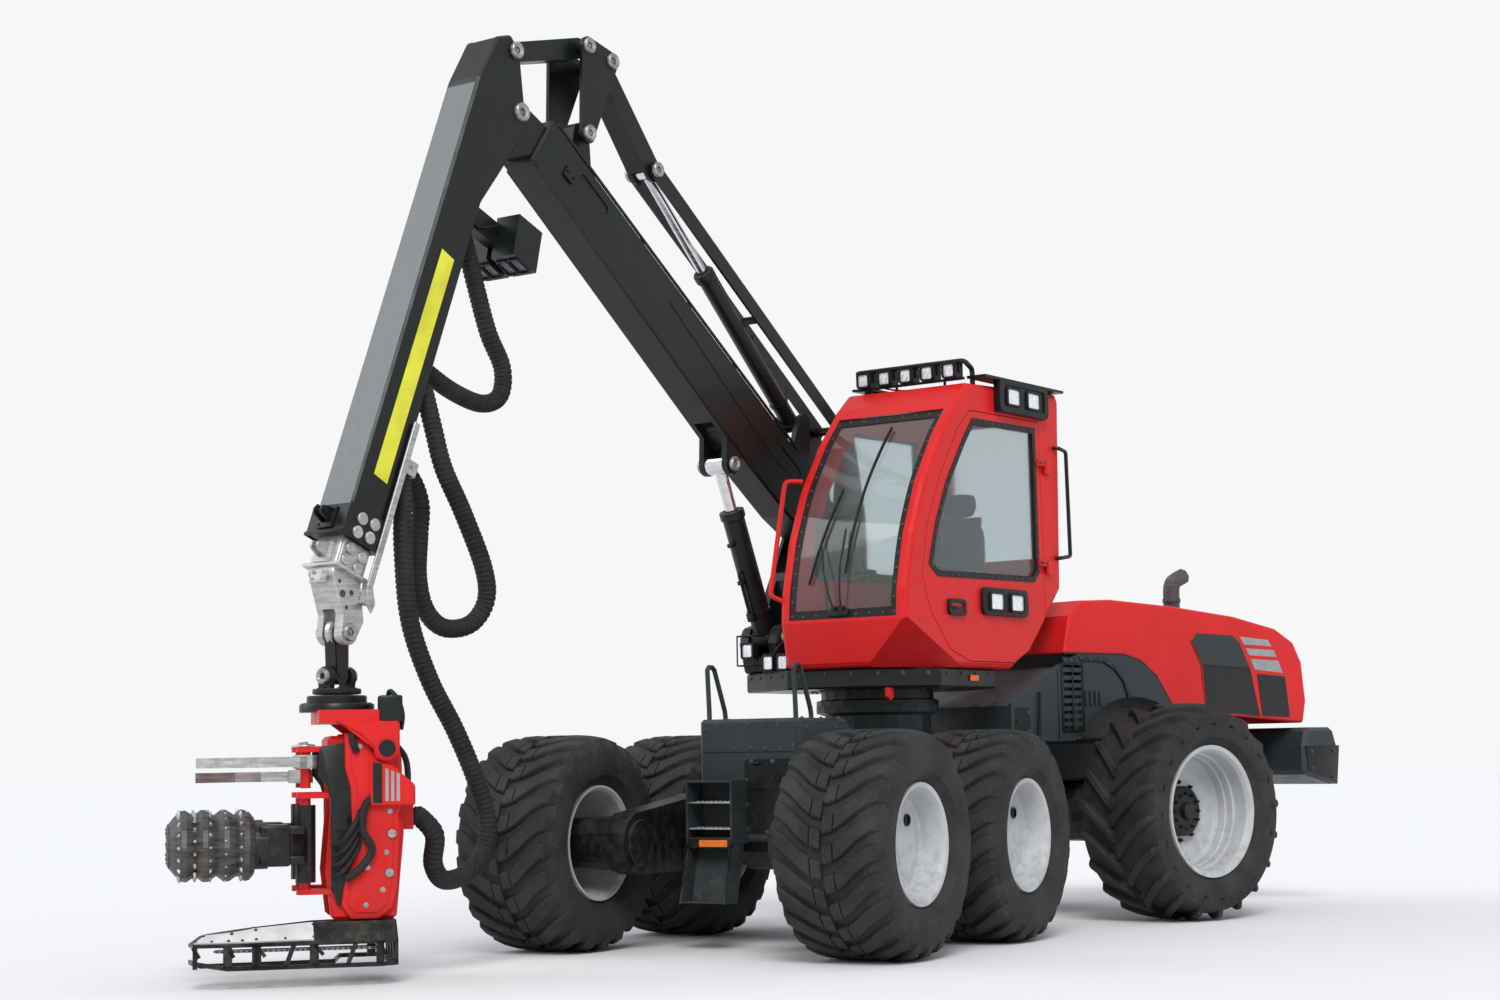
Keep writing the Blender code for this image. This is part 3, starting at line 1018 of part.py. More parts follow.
def head():
    """The felling head: tilt hanger, red frame, knives, feed arms and rollers, saw box and bar."""
    flange = rotator_top - running
    neck = turned([(0.0, flange), (0.13, flange), (0.13, flange - 0.05), (0.20, flange - 0.06), (0.20, flange - 0.09),
                   (0.0, flange - 0.09)], (0.0, 0.0, 0.0), axis="z", steps=16)
    bridge = span((-0.31, -0.36, 1.40), (0.12, 0.36, flange - 0.085))
    arms = []
    for low, high in ((-0.36, -0.33), (0.33, 0.36)):
        arms.append(profile("xz", [[(-0.31, 1.42), (0.04, 1.42), *arc((tilt_back, tilt_height), 0.07, 0.0, -180.0, 8)]], low, high))
    pins = [rod((tilt_back, -0.34, tilt_height), (tilt_back, 0.34, tilt_height), pin_radius)]
    place(fuse(neck, bridge, *arms, *pins), "tilt_hanger", "rotator_pivot", "black_paint")
    frame_low = 0.34
    frame_half = 0.30
    throat_half = 0.245
    back = -0.34
    front = 0.05
    crown = tilt_height + 0.07
    cap_low = 1.235
    frame_line = [(back * 0.88, frame_low), (front, frame_low), (front + 0.03, 0.60), (front, 0.95), (front + 0.02, crown),
                  (-0.20, crown), (back * 0.91, crown - 0.03), (back * 0.97, 1.20), (back, 0.80)]
    frame = profile("xz", [frame_line], -frame_half + 0.035, frame_half - 0.035)
    throat = span((-0.18, -throat_half + 0.03, frame_low - overrun), (front + overrun * 4, throat_half - 0.03, cap_low))
    frame = cut(soften(frame, 0.02), throat)
    lugs = []
    for low in (cap_low + 0.01, 0.995, 0.48):
        for side in (1, -1):
            lugs.append(profile("xy", [[(-0.10, side * 0.222), (-0.10, side * 0.262), (0.12, side * 0.268), *arc((knife_x, side * knife_y), 0.05, side * 90.0, side * -90.0, 6),
                                        (0.0, side * 0.222)]], low, low + 0.03))
    pins = []
    for side in (1, -1):
        pins.append(rod((knife_x, side * knife_y, 1.05), (knife_x, side * knife_y, cap_low + 0.02), pin_radius * 0.8))
        pins.append(rod((knife_x, side * knife_y, 0.50), (knife_x, side * knife_y, 1.00), pin_radius * 0.8))
    hole = drill((tilt_back, -0.5, tilt_height), (tilt_back, 0.5, tilt_height), pin_radius)
    boss = span((gland_x, gland_y - 0.07, gland_z - 0.07), (-0.25, gland_y + 0.07, gland_z + 0.07))
    box_line = [(back * 0.45, 0.95), (back * 0.45, 1.20), (back * 0.78, 1.17), (back * 1.16, 1.06), (back * 1.16, 0.95)]
    service_box = soften(profile("xz", [box_line], frame_half - 0.06, frame_half + 0.05), 0.01)
    place(cut(fuse(frame, boss, service_box, *lugs, *pins), hole), "head_frame", "tilt_pivot", "red_paint")
    saw_plan = [(-0.30, -0.30), (-0.04, -0.30), (0.02, 0.10), (0.74, 0.16), (0.80, 0.22), (0.78, 0.38), (0.60, 0.41),
                (-0.20, 0.41), (-0.30, 0.34)]
    saw = profile("xy", [saw_plan], 0.10, frame_low - touch)
    slope = profile("xz", [[(0.10, frame_low + 0.01), (0.90, frame_low + 0.01), (0.90, 0.27), (0.45, 0.30)]], -0.5, 0.6)
    under = profile("xz", [[(0.55, 0.0), (0.9, 0.0), (0.9, 0.20)]], -0.5, 0.6)
    slot = span((-0.25, -0.5, 0.175), (0.9, 0.385, 0.215))
    saw = cut(soften(saw, 0.012), slope, under, slot)
    bar_pin = rod((saw_x, saw_y, 0.165), (saw_x, saw_y, 0.225), pin_radius * 0.7)
    place(fuse(saw, bar_pin), "saw_box", "tilt_pivot", "black_paint")
    bar_line = [*arc((saw_x, saw_y), 0.06, 90.0, 270.0, 6), (saw_x + 0.35, saw_y - 0.05), *arc((saw_x + 0.78, saw_y), 0.045, -90.0, 90.0, 6),
                (saw_x + 0.35, saw_y + 0.05)]
    bar = profile("xy", [bar_line], 0.188, 0.202)
    pivot("saw_pivot", "tilt_pivot", (saw_x, saw_y, 0.195))
    place(cut(bar, drill((saw_x, saw_y, 0.1), (saw_x, saw_y, 0.3), pin_radius * 0.7)), "saw_bar", "saw_pivot", "steel")
    for hand, side, low in (("left", 1, 1.165), ("right", -1, 1.085)):
        eye = (knife_x, side * knife_y)
        pivot("knife_%s_pivot" % hand, "tilt_pivot", (*eye, low))
        blade = [(eye[0] - 0.03, eye[1] - side * 0.05), (eye[0] - 0.045, eye[1] + side * 0.03), (0.22, side * 0.33), (0.42, side * 0.385),
                 (0.60, side * 0.33), (0.74, side * 0.16), (0.76, side * 0.08), (0.66, side * 0.17), (0.54, side * 0.25), (0.40, side * 0.285),
                 (0.26, side * 0.24), (eye[0] + 0.05, eye[1] - side * 0.04)]
        knife = profile("xy", [blade], low, low + 0.055)
        collar = rod((*eye, low - 0.009), (*eye, low + 0.064), 0.068)
        hole = drill((*eye, low - 0.1), (*eye, low + 0.2), pin_radius * 0.8)
        place(cut(fuse(knife, collar), hole), "knife_%s" % hand, "knife_%s_pivot" % hand, "steel")
        pivot("feed_%s_pivot" % hand, "tilt_pivot", (*eye, 0.75))
        sleeve = rod((*eye, 0.545), (*eye, 0.96), 0.054)
        arm_line = [(eye[0] - 0.03, eye[1] + side * 0.03), (0.26, side * 0.36), (0.40, side * 0.36), (0.44, side * 0.34), (0.44, side * 0.26), (0.38, side * 0.26),
                    (0.28, side * 0.27), (eye[0] + 0.04, eye[1] - side * 0.02)]
        arm = profile("xy", [arm_line], 0.66, 0.84)
        motor = rod((0.39, side * roller_y, 0.75), (roller_low, side * roller_y, 0.75), 0.125, sides=20)
        hole = drill((*eye, 0.3), (*eye, 1.2), pin_radius * 0.8)
        shaft = rod((roller_low - 0.01, side * roller_y, 0.75), (roller_high - 0.02, side * roller_y, 0.75), 0.05)
        place(cut(fuse(arm, sleeve, motor, shaft), hole), "feed_arm_%s" % hand, "feed_%s_pivot" % hand, "black_paint")
        pivot("roller_%s_pivot" % hand, "feed_%s_pivot" % hand, (0.0, side * roller_y, 0.75))
        start = roller_low + touch
        width = roller_high - start
        ring_shares = ((0.0, 0.80), (0.06, 0.98), (0.12, 1.0), (0.20, 0.84), (0.30, 1.0), (0.36, 1.0), (0.45, 0.84), (0.55, 1.0), (0.61, 1.0),
                       (0.70, 0.84), (0.80, 1.0), (0.86, 0.98), (0.94, 0.80), (1.0, 0.62))
        hole_radius = bore(0.05)
        rings = [(hole_radius, start)] + [(roller_radius * out, start + width * along) for along, out in ring_shares]
        rings += [(hole_radius, roller_high)]
        place(turned(rings, (0.0, side * roller_y, 0.75), axis="x", steps=12), "feed_roller_%s" % hand, "roller_%s_pivot" % hand, "steel")


knife_x = 0.185
knife_y = 0.225
saw_x = -0.16
saw_y = 0.28
roller_y = 0.30
roller_low = 0.46
roller_high = 0.90
roller_radius = 0.185


gland_x = -0.40
gland_y = 0.10
gland_z = 0.887
hose_radius = 0.055


def hoses():
    """Two loops behind the stick, the drop to the head, and the lamp pair on the stick."""
    run = (stick_low - stick_top).normalized()
    back = Vector((run.z, 0.0, -run.x))
    face = 0.15 + touch
    straight = 0.04

    def at(along, rise, aside=0.0):
        return stick_top + run * along + back * rise + Vector((0.0, aside, 0.0))

    first = [at(*knot) for knot in (
        (1.18, face + straight), (1.40, 0.39), (1.62, 0.60), (1.76, 0.79), (1.93, 0.83), (2.05, 0.70), (2.10, 0.45), (2.10, face + straight))]
    second = [at(*knot) for knot in (
        (2.26, face + straight, 0.07), (2.42, 0.33, 0.07), (2.60, 0.48, 0.08), (2.78, 0.72, 0.09), (3.0, 0.99, 0.09), (3.15, 1.12, 0.05),
        (3.31, 1.10, 0.0), (3.40, 0.95, -0.05), (3.36, 0.79, -0.07), (3.21, 0.66, -0.07), (2.98, 0.58, -0.07),
        (2.80, 0.52, -0.07), (2.69, 0.38, -0.07), (2.68, face + straight, -0.07))]
    place(tube([at(1.18, face)] + smooth_path(first, 11) + [at(2.10, face)], hose_radius), "hose_upper_loop", "knuckle_pivot", "hose")
    place(tube([at(2.26, face, 0.07)] + smooth_path(second, 19) + [at(2.68, face, -0.07)], hose_radius), "hose_lower_loop",
          "knuckle_pivot", "hose")
    heading = Vector((math.cos(head_turn), math.sin(head_turn), 0.0))
    across = Vector((-math.sin(head_turn), math.cos(head_turn), 0.0))
    end = Vector((tip_pin.x, tip_pin.y, gland_z)) + heading * (gland_x - touch) + across * gland_y
    drop = [at(2.79, face + straight, 0.07), at(2.90, face + 0.10, 0.07), Vector((4.05, -0.53, 2.39)), Vector((4.00, -0.53, 1.99)), Vector((3.85, -0.52, 1.65)),
            Vector((3.66, -0.50, 1.36)), Vector((3.52, -0.47, 1.07)), Vector((3.45, -0.45, 0.83)), Vector((3.51, -0.43, 0.64)),
            Vector((3.68, -0.41, 0.54)), Vector((3.91, -0.36, 0.52)), Vector((4.08, -0.28, 0.62)), Vector((4.14, -0.21, 0.78)),
            end - heading * straight]
    place(tube([at(2.79, face, 0.07)] + smooth_path(drop, 17) + [end], hose_radius), "hose_head_drop", "knuckle_pivot", "hose")


def bodies():
    build_pivots()
    wheels()
    chassis()
    rear_chassis()
    platform()
    cab()
    crane_pillar()
    boom()
    linkage()
    cylinder(fold_base, beam_foot, 0.060, 0.033, 0.62, 0.18, 0.09, ("fold_barrel", "fold_rod"),
             ("fold_barrel_pivot", "fold_rod_pivot"))
    cylinder(lift_base, lift_eye, 0.075, 0.042, 0.74, 0.31, 0.14, ("lift_barrel", "lift_rod"),
             ("lift_barrel_pivot", "lift_rod_pivot"))
    stick()
    hanger()
    head()
    hoses()


bodies()
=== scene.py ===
import json
import math

import bmesh
import bpy
from mathutils import Matrix, Vector

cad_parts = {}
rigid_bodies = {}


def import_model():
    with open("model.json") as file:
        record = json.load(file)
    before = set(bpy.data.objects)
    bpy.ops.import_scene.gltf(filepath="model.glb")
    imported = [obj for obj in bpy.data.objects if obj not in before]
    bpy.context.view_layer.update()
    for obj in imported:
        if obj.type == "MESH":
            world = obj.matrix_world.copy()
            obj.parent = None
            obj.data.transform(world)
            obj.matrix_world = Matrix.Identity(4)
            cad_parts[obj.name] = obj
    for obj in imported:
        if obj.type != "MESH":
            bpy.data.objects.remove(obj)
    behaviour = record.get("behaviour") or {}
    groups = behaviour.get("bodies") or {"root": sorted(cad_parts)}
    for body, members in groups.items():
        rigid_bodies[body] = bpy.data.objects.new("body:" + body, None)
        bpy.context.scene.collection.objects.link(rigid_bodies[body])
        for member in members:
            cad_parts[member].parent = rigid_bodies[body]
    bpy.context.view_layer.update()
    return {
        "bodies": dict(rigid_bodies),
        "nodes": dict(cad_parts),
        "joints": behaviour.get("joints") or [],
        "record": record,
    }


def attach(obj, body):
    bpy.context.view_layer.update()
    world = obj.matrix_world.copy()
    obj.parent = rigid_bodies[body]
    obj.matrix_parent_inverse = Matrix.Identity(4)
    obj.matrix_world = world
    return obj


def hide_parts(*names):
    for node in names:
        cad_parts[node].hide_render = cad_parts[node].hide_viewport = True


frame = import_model()
print("frame loaded:", len(frame["nodes"]), "nodes")

# The drawing sheets of the part, as places in the shared frame.
place = {
    "datum": (0.999, -0.026), "jointBack": 1.77, "jointTurn": -19.14, "slewBack": 1.5, "slewTurn": -6.7,
    "craneSide": 0.6, "headTurn": -40.0, "tipX": 4.5, "stickTop": (3.2, 5.47), "stickLow": (4.44, 2.39),
}


def sheetOn(base, along, aside, degrees):
    # A sheet that lies along and aside on another one and is turned on it.
    return base @ Matrix.Translation((along, aside, 0.0)) @ Matrix.Rotation(math.radians(degrees), 4, "Z")


machineSheet = Matrix.Translation((*place["datum"], 0.0))
rearSheet = sheetOn(machineSheet, -place["jointBack"], 0.0, place["jointTurn"])
platformSheet = sheetOn(machineSheet, -place["slewBack"], 0.0, place["slewTurn"])
headSheet = sheetOn(platformSheet, place["tipX"], -place["craneSide"], place["headTurn"])
craneSide = place["craneSide"]


# Materials

def linked(name, data):
    made = bpy.data.objects.new(name, data)
    bpy.context.scene.collection.objects.link(made)
    return made


def fill(node, values):
    for entry, value in values.items():
        node.inputs[entry].default_value = value


def startMaterial(name):
    made = bpy.data.materials.new(name)
    made.use_nodes = True
    tree = made.node_tree
    shader = tree.nodes["Principled BSDF"]
    coords = tree.nodes.new("ShaderNodeTexCoord")
    return made, tree, shader, coords


def noiseAt(tree, coords, scale, detail=4.0, roughness=0.55, stretch=None):
    noise = tree.nodes.new("ShaderNodeTexNoise")
    fill(noise, {"Scale": scale, "Detail": detail, "Roughness": roughness})
    if stretch:
        mapping = tree.nodes.new("ShaderNodeMapping")
        mapping.inputs["Scale"].default_value = stretch
        tree.links.new(coords.outputs["Object"], mapping.inputs["Vector"])
        tree.links.new(mapping.outputs["Vector"], noise.inputs["Vector"])
    else:
        tree.links.new(coords.outputs["Object"], noise.inputs["Vector"])
    return noise.outputs["Fac"]


def rampOf(tree, value, low, high, lowValue=0.0, highValue=1.0):
    ramp = tree.nodes.new("ShaderNodeMapRange")
    ramp.interpolation_type = "SMOOTHSTEP"
    fill(ramp, {"From Min": low, "From Max": high, "To Min": lowValue, "To Max": highValue})
    tree.links.new(value, ramp.inputs["Value"])
    return ramp.outputs["Result"]


def mixColours(tree, factor, first, second):
    mix = tree.nodes.new("ShaderNodeMix")
    mix.data_type = "RGBA"
    for socket, value in (("A", first), ("B", second)):
        target = [s for s in mix.inputs if s.name == socket and s.type == "RGBA"][0]
        if isinstance(value, tuple):
            target.default_value = (*value, 1.0)
        else:
            tree.links.new(value, target)
    tree.links.new(factor, [s for s in mix.inputs if s.name == "Factor" and s.type == "VALUE"][0])
    return [s for s in mix.outputs if s.type == "RGBA"][0]


def mathOf(tree, operation, first, second):
    node = tree.nodes.new("ShaderNodeMath")
    node.operation = operation
    node.use_clamp = True
    for index, value in enumerate((first, second)):
        if isinstance(value, float):
            node.inputs[index].default_value = value
        else:
            tree.links.new(value, node.inputs[index])
    return node.outputs[0]


def bumpFrom(tree, shader, height, strength, distance):
    bump = tree.nodes.new("ShaderNodeBump")
    fill(bump, {"Strength": strength, "Distance": distance})
    tree.links.new(height, bump.inputs["Height"])
    tree.links.new(bump.outputs["Normal"], shader.inputs["Normal"])


def upwardFacing(tree):
    geometry = tree.nodes.new("ShaderNodeNewGeometry")
    split = tree.nodes.new("ShaderNodeSeparateXYZ")
    tree.links.new(geometry.outputs["Normal"], split.inputs["Vector"])
    return split.outputs["Z"]


def heightOf(tree, coords):
    split = tree.nodes.new("ShaderNodeSeparateXYZ")
    tree.links.new(coords.outputs["Object"], split.inputs["Vector"])
    return split.outputs["Z"]


def painted(name, look):
    # Enamel with mottled tone, dust on what faces up, mud low down and bare scuffs.
    made, tree, shader, coords = startMaterial(name)
    base = look["colour"]
    tone = noiseAt(tree, coords, look.get("toneScale", 2.3), 3.0)
    darker = tuple(c * look.get("darker", 0.82) for c in base)
    colour = mixColours(tree, rampOf(tree, tone, 0.3, 0.7), darker, base)
    patches = noiseAt(tree, coords, 6.5, 6.0, 0.65)
    dust = mathOf(tree, "MULTIPLY", rampOf(tree, upwardFacing(tree), 0.2, 1.0),
        rampOf(tree, patches, 0.35, 0.75))
    dust = mathOf(tree, "MULTIPLY", dust, look.get("dust", 0.4))
    colour = mixColours(tree, dust, colour, look.get("dustColour", (0.3, 0.27, 0.23)))
    low = rampOf(tree, heightOf(tree, coords), look.get("mudTop", 1.3), 0.2)
    splash = rampOf(tree, noiseAt(tree, coords, 14.0, 7.0, 0.7), 0.45, 0.62)
    mud = mathOf(tree, "MULTIPLY", mathOf(tree, "MULTIPLY", low, splash), look.get("mud", 0.35))
    colour = mixColours(tree, mud, colour, look.get("mudColour", (0.13, 0.105, 0.08)))
    scuffs = rampOf(tree, noiseAt(tree, coords, look.get("scuffScale", 38.0), 5.0, 0.7, (1.0, 0.35, 1.0)),
        0.66, 0.72)
    scuffs = mathOf(tree, "MULTIPLY", scuffs, look.get("scuff", 0.25))
    colour = mixColours(tree, scuffs, colour, look.get("scuffColour", (0.16, 0.15, 0.145)))
    tree.links.new(colour, shader.inputs["Base Color"])
    rough = rampOf(tree, patches, 0.3, 0.8, look["rough"] * 0.85, min(look["rough"] * 1.35, 1.0))
    rough = mathOf(tree, "ADD", rough, mathOf(tree, "MULTIPLY", mathOf(tree, "ADD", dust, mud), 0.6))
    tree.links.new(rough, shader.inputs["Roughness"])
    fill(shader, {"Metallic": look.get("metal", 0.0), "Coat Weight": look.get("coat", 0.0),
        "Specular IOR Level": look.get("specular", 0.3), "Coat Roughness": 0.18})
    bumpFrom(tree, shader, noiseAt(tree, coords, look.get("grain", 90.0), 3.0), look.get("bump", 0.05),
        0.002)
    return made


def rubberLook(name, look):
    made, tree, shader, coords = startMaterial(name)
    broad = noiseAt(tree, coords, 3.5, 5.0, 0.6)
    fine = noiseAt(tree, coords, 42.0, 6.0, 0.7)
    colour = mixColours(tree, rampOf(tree, broad, 0.35, 0.68), look["dark"], look["pale"])
    colour = mixColours(tree, rampOf(tree, fine, 0.52, 0.75), colour, look["dusty"])
    tree.links.new(colour, shader.inputs["Base Color"])
    tree.links.new(rampOf(tree, fine, 0.3, 0.7, 0.62, 0.92), shader.inputs["Roughness"])
    shader.inputs["Specular IOR Level"].default_value = 0.35
    bumpFrom(tree, shader, noiseAt(tree, coords, 130.0, 4.0), 0.25, 0.003)
    return made


def metalLook(name, look):
    made, tree, shader, coords = startMaterial(name)
    streaks = noiseAt(tree, coords, look.get("scale", 9.0), 6.0, 0.6, look.get("stretch", (1.0, 1.0, 6.0)))
    stains = noiseAt(tree, coords, 5.0, 7.0, 0.7)
    colour = mixColours(tree, rampOf(tree, streaks, 0.3, 0.7), look["dark"], look["pale"])
    colour = mixColours(tree, mathOf(tree, "MULTIPLY", rampOf(tree, stains, 0.52, 0.7),
        look.get("stain", 0.5)), colour, look.get("stainColour", (0.16, 0.12, 0.09)))
    tree.links.new(colour, shader.inputs["Base Color"])
    tree.links.new(rampOf(tree, streaks, 0.25, 0.75, look["rough"] * 0.8, look["rough"] * 1.4),
        shader.inputs["Roughness"])
    shader.inputs["Metallic"].default_value = look.get("metal", 0.85)
    bumpFrom(tree, shader, noiseAt(tree, coords, 70.0, 4.0), look.get("bump", 0.08), 0.002)
    return made


def glassLook(name, look):
    made, tree, shader, coords = startMaterial(name)
    fill(shader, {"Base Color": (*look["colour"], 1.0), "Transmission Weight": look["clear"], "IOR": 1.45})
    film = noiseAt(tree, coords, 4.0, 5.0)
    tree.links.new(rampOf(tree, film, 0.3, 0.8, 0.02, 0.1), shader.inputs["Roughness"])
    return made


def plainLook(name, look):
    made, tree, shader, coords = startMaterial(name)
    tone = noiseAt(tree, coords, look.get("scale", 30.0), 4.0)
    colour = mixColours(tree, rampOf(tree, tone, 0.3, 0.7), tuple(c * 0.8 for c in look["colour"]),
        look["colour"])
    tree.links.new(colour, shader.inputs["Base Color"])
    tree.links.new(rampOf(tree, tone, 0.3, 0.7, look["rough"] * 0.85, look["rough"] * 1.2),
        shader.inputs["Roughness"])
    fill(shader, {"Metallic": look.get("metal", 0.0), "Specular IOR Level": look.get("specular", 0.35)})
    if look.get("glow"):
        fill(shader, {"Emission Color": (*look["colour"], 1.0), "Emission Strength": look["glow"]})
    bumpFrom(tree, shader, noiseAt(tree, coords, look.get("grain", 160.0), 3.0), look.get("bump", 0.1),
        0.001)
    return made


lookSettings = {
    "redPaint": (painted, {"colour": (0.66, 0.016, 0.016), "rough": 0.36, "dust": 0.05, "mud": 0.2,
    "specular": 0.22, "darker": 0.9, "scuff": 0.04}),
    "slatePaint": (painted, {"colour": (0.03, 0.038, 0.042), "rough": 0.42, "dust": 0.16, "mud": 0.25,
    "scuff": 0.08}),
    "blackPaint": (painted, {"colour": (0.0065, 0.0085, 0.0082), "rough": 0.34, "dust": 0.12, "mud": 0.22,
    "specular": 0.35, "scuff": 0.06}),
    "rimPaint": (painted, {"colour": (0.52, 0.53, 0.54), "rough": 0.42, "dust": 0.15, "mud": 0.3,
    "mudTop": 1.3, "scuff": 0.1, "scuffColour": (0.2, 0.18, 0.16)}),
    "tyreRubber": (rubberLook, {"dark": (0.016, 0.0155, 0.015), "pale": (0.034, 0.032, 0.03),
    "dusty": (0.062, 0.057, 0.051)}),
    "hoseRubber": (rubberLook, {"dark": (0.01, 0.01, 0.011), "pale": (0.022, 0.022, 0.024),
    "dusty": (0.05, 0.048, 0.045)}),
    "wornSteel": (metalLook, {"dark": (0.36, 0.355, 0.35), "pale": (0.58, 0.575, 0.57), "rough": 0.42,
    "metal": 0.7}),
    "bareSteel": (metalLook, {"dark": (0.3, 0.29, 0.28), "pale": (0.48, 0.47, 0.45), "rough": 0.36}),
    "chrome": (metalLook, {"dark": (0.6, 0.6, 0.61), "pale": (0.76, 0.76, 0.77), "rough": 0.14,
    "metal": 1.0, "stain": 0.1, "bump": 0.01}),
    "darkSteel": (metalLook, {"dark": (0.05, 0.048, 0.045), "pale": (0.12, 0.115, 0.11), "rough": 0.45,
    "metal": 0.6, "stain": 0.4}),
    "glass": (glassLook, {"colour": (0.8, 0.86, 0.86), "clear": 0.96}),
    "seatCloth": (plainLook, {"colour": (0.022, 0.022, 0.026), "rough": 0.9, "grain": 420.0, "bump": 0.5}),
    "blackPlastic": (plainLook, {"colour": (0.009, 0.009, 0.0095), "rough": 0.5}),
    "lampLens": (plainLook, {"colour": (0.82, 0.84, 0.86), "rough": 0.12, "metal": 0.4, "glow": 0.15}),
    "orangeLens": (plainLook, {"colour": (0.85, 0.2, 0.02), "rough": 0.2}),
    "yellowSheet": (plainLook, {"colour": (0.8, 0.78, 0.05), "rough": 0.45, "scale": 5.0}),
    "stripeGrey": (plainLook, {"colour": (0.33, 0.335, 0.34), "rough": 0.4, "scale": 9.0}),
    "hoodGlass": (plainLook, {"colour": (0.011, 0.012, 0.013), "rough": 0.14, "scale": 6.0, "bump": 0.02}),
    # Grey for the stick's front face: a painted reflection of the bright sky on gloss black paint.
    "stickSkyReflection": (plainLook, {"colour": (0.17, 0.18, 0.185), "rough": 0.35, "metal": 0.3, "scale": 14.0}),
    "darkLens": (plainLook, {"colour": (0.1, 0.11, 0.12), "rough": 0.15, "metal": 0.3}),
    "exhaustGrey": (metalLook, {"dark": (0.055, 0.055, 0.056), "pale": (0.1, 0.1, 0.105), "rough": 0.5,
    "metal": 0.4}),
    "whiteSheet": (plainLook, {"colour": (0.75, 0.75, 0.74), "rough": 0.4, "scale": 8.0}),
}
looks = {name: make(name, settings) for name, (make, settings) in lookSettings.items()}
print("materials:", len(looks))


# Camera, floor and light

camera = {"place": (14.581, 7.566, 1.178), "yaw": 209.635, "pitch": 4.505, "roll": -0.883, "lens": 59.06,
    "shiftY": 0.0425}


def makeCamera():
    yaw, pitch, roll = (math.radians(camera[key]) for key in ("yaw", "pitch", "roll"))
    ahead = Vector((math.cos(yaw) * math.cos(pitch), math.sin(yaw) * math.cos(pitch), math.sin(pitch)))
    right = Vector((math.sin(yaw), -math.cos(yaw), 0.0))
    up = right.cross(ahead)
    rightRolled = right * math.cos(roll) + up * math.sin(roll)
    upRolled = up * math.cos(roll) - right * math.sin(roll)
    data = bpy.data.cameras.new("camera")
    data.lens = camera["lens"]
    data.sensor_width = 36.0
    data.shift_y = camera["shiftY"]
    data.clip_end = 300.0
    made = linked("camera", data)
    turn = Matrix((rightRolled, upRolled, -ahead)).transposed().to_4x4()
    made.matrix_world = Matrix.Translation(camera["place"]) @ turn
    bpy.context.scene.camera = made


makeCamera()

studio = {"floorSize": 240.0, "floorShade": 0.8, "worldStrength": 0.72, "sunStrength": 1.9,
    "sunAngle": 25.0}


def makeStudio():
    mesh = bpy.data.meshes.new("floor")
    work = bmesh.new()
    bmesh.ops.create_grid(work, x_segments=1, y_segments=1, size=studio["floorSize"] / 2)
    work.to_mesh(mesh)
    work.free()
    floor = linked("floor", mesh)
    floor.location.z = -0.0005
    material = bpy.data.materials.new("floorPaper")
    material.use_nodes = True
    tree = material.node_tree
    shader = tree.nodes["Principled BSDF"]
    shade = studio["floorShade"]
    fill(shader, {"Base Color": (shade, shade, shade * 1.01, 1.0), "Roughness": 0.9,
        "Specular IOR Level": 0.1})
    mesh.materials.append(material)
    world = bpy.data.worlds.new("studio")
    bpy.context.scene.world = world
    world.use_nodes = True
    tree = world.node_tree
    for node in list(tree.nodes):
        tree.nodes.remove(node)
    out = tree.nodes.new("ShaderNodeOutputWorld")
    light = tree.nodes.new("ShaderNodeBackground")
    seen = tree.nodes.new("ShaderNodeBackground")
    mix = tree.nodes.new("ShaderNodeMixShader")
    path = tree.nodes.new("ShaderNodeLightPath")
    fill(light, {"Color": (0.93, 0.96, 1.0, 1.0), "Strength": studio["worldStrength"]})
    fill(seen, {"Color": (0.93, 0.93, 0.935, 1.0), "Strength": 1.0})
    tree.links.new(path.outputs["Is Camera Ray"], mix.inputs["Fac"])
    tree.links.new(light.outputs["Background"], mix.inputs[1])
    tree.links.new(seen.outputs["Background"], mix.inputs[2])
    tree.links.new(mix.outputs["Shader"], out.inputs["Surface"])
    for name, turn, strength, angle in (("key", (48.0, 0.0, 120.0), studio["sunStrength"],
            studio["sunAngle"]), ("fill", (62.0, 0.0, 20.0), 0.6, 40.0)):
        data = bpy.data.lights.new(name, "SUN")
        data.energy = strength
        data.angle = math.radians(angle)
        lamp = bpy.data.objects.new(name, data)
        lamp.rotation_euler = [math.radians(t) for t in turn]
        bpy.context.scene.collection.objects.link(lamp)
    bpy.context.scene.view_settings.view_transform = "Standard"


makeStudio()
print("camera and studio ready")


# Mesh helpers. Every shape is drawn on a sheet and carried to its place at the end.

def addBox(work, low, high, bevel=0.0, segments=2):
    low, high = Vector(low), Vector(high)
    made = bmesh.ops.create_cube(work, size=1.0,
        matrix=Matrix.Translation((low + high) / 2) @ Matrix.Diagonal((*(high - low), 1.0)))
    if bevel:
        edges = {edge for vert in made["verts"] for edge in vert.link_edges}
        bmesh.ops.bevel(work, geom=list(edges), offset=bevel, segments=segments, affect="EDGES",
            profile=0.5)


def aimAlong(start, end):
    turn = (Vector(end) - Vector(start)).to_track_quat("Z", "Y").to_matrix().to_4x4()
    return Matrix.Translation(start) @ turn


def addRod(work, start, end, radius, endRadius=None, sides=20):
    length = (Vector(end) - Vector(start)).length
    bmesh.ops.create_cone(work, cap_ends=True, segments=sides, radius1=radius,
        radius2=radius if endRadius is None else endRadius, depth=length,
        matrix=aimAlong(start, end) @ Matrix.Translation((0.0, 0.0, length / 2)))


planeAxes = {"xy": ((1, 0, 0), (0, 1, 0), (0, 0, 1)), "xz": ((1, 0, 0), (0, 0, 1), (0, 1, 0)),
    "yz": ((0, 1, 0), (0, 0, 1), (1, 0, 0))}


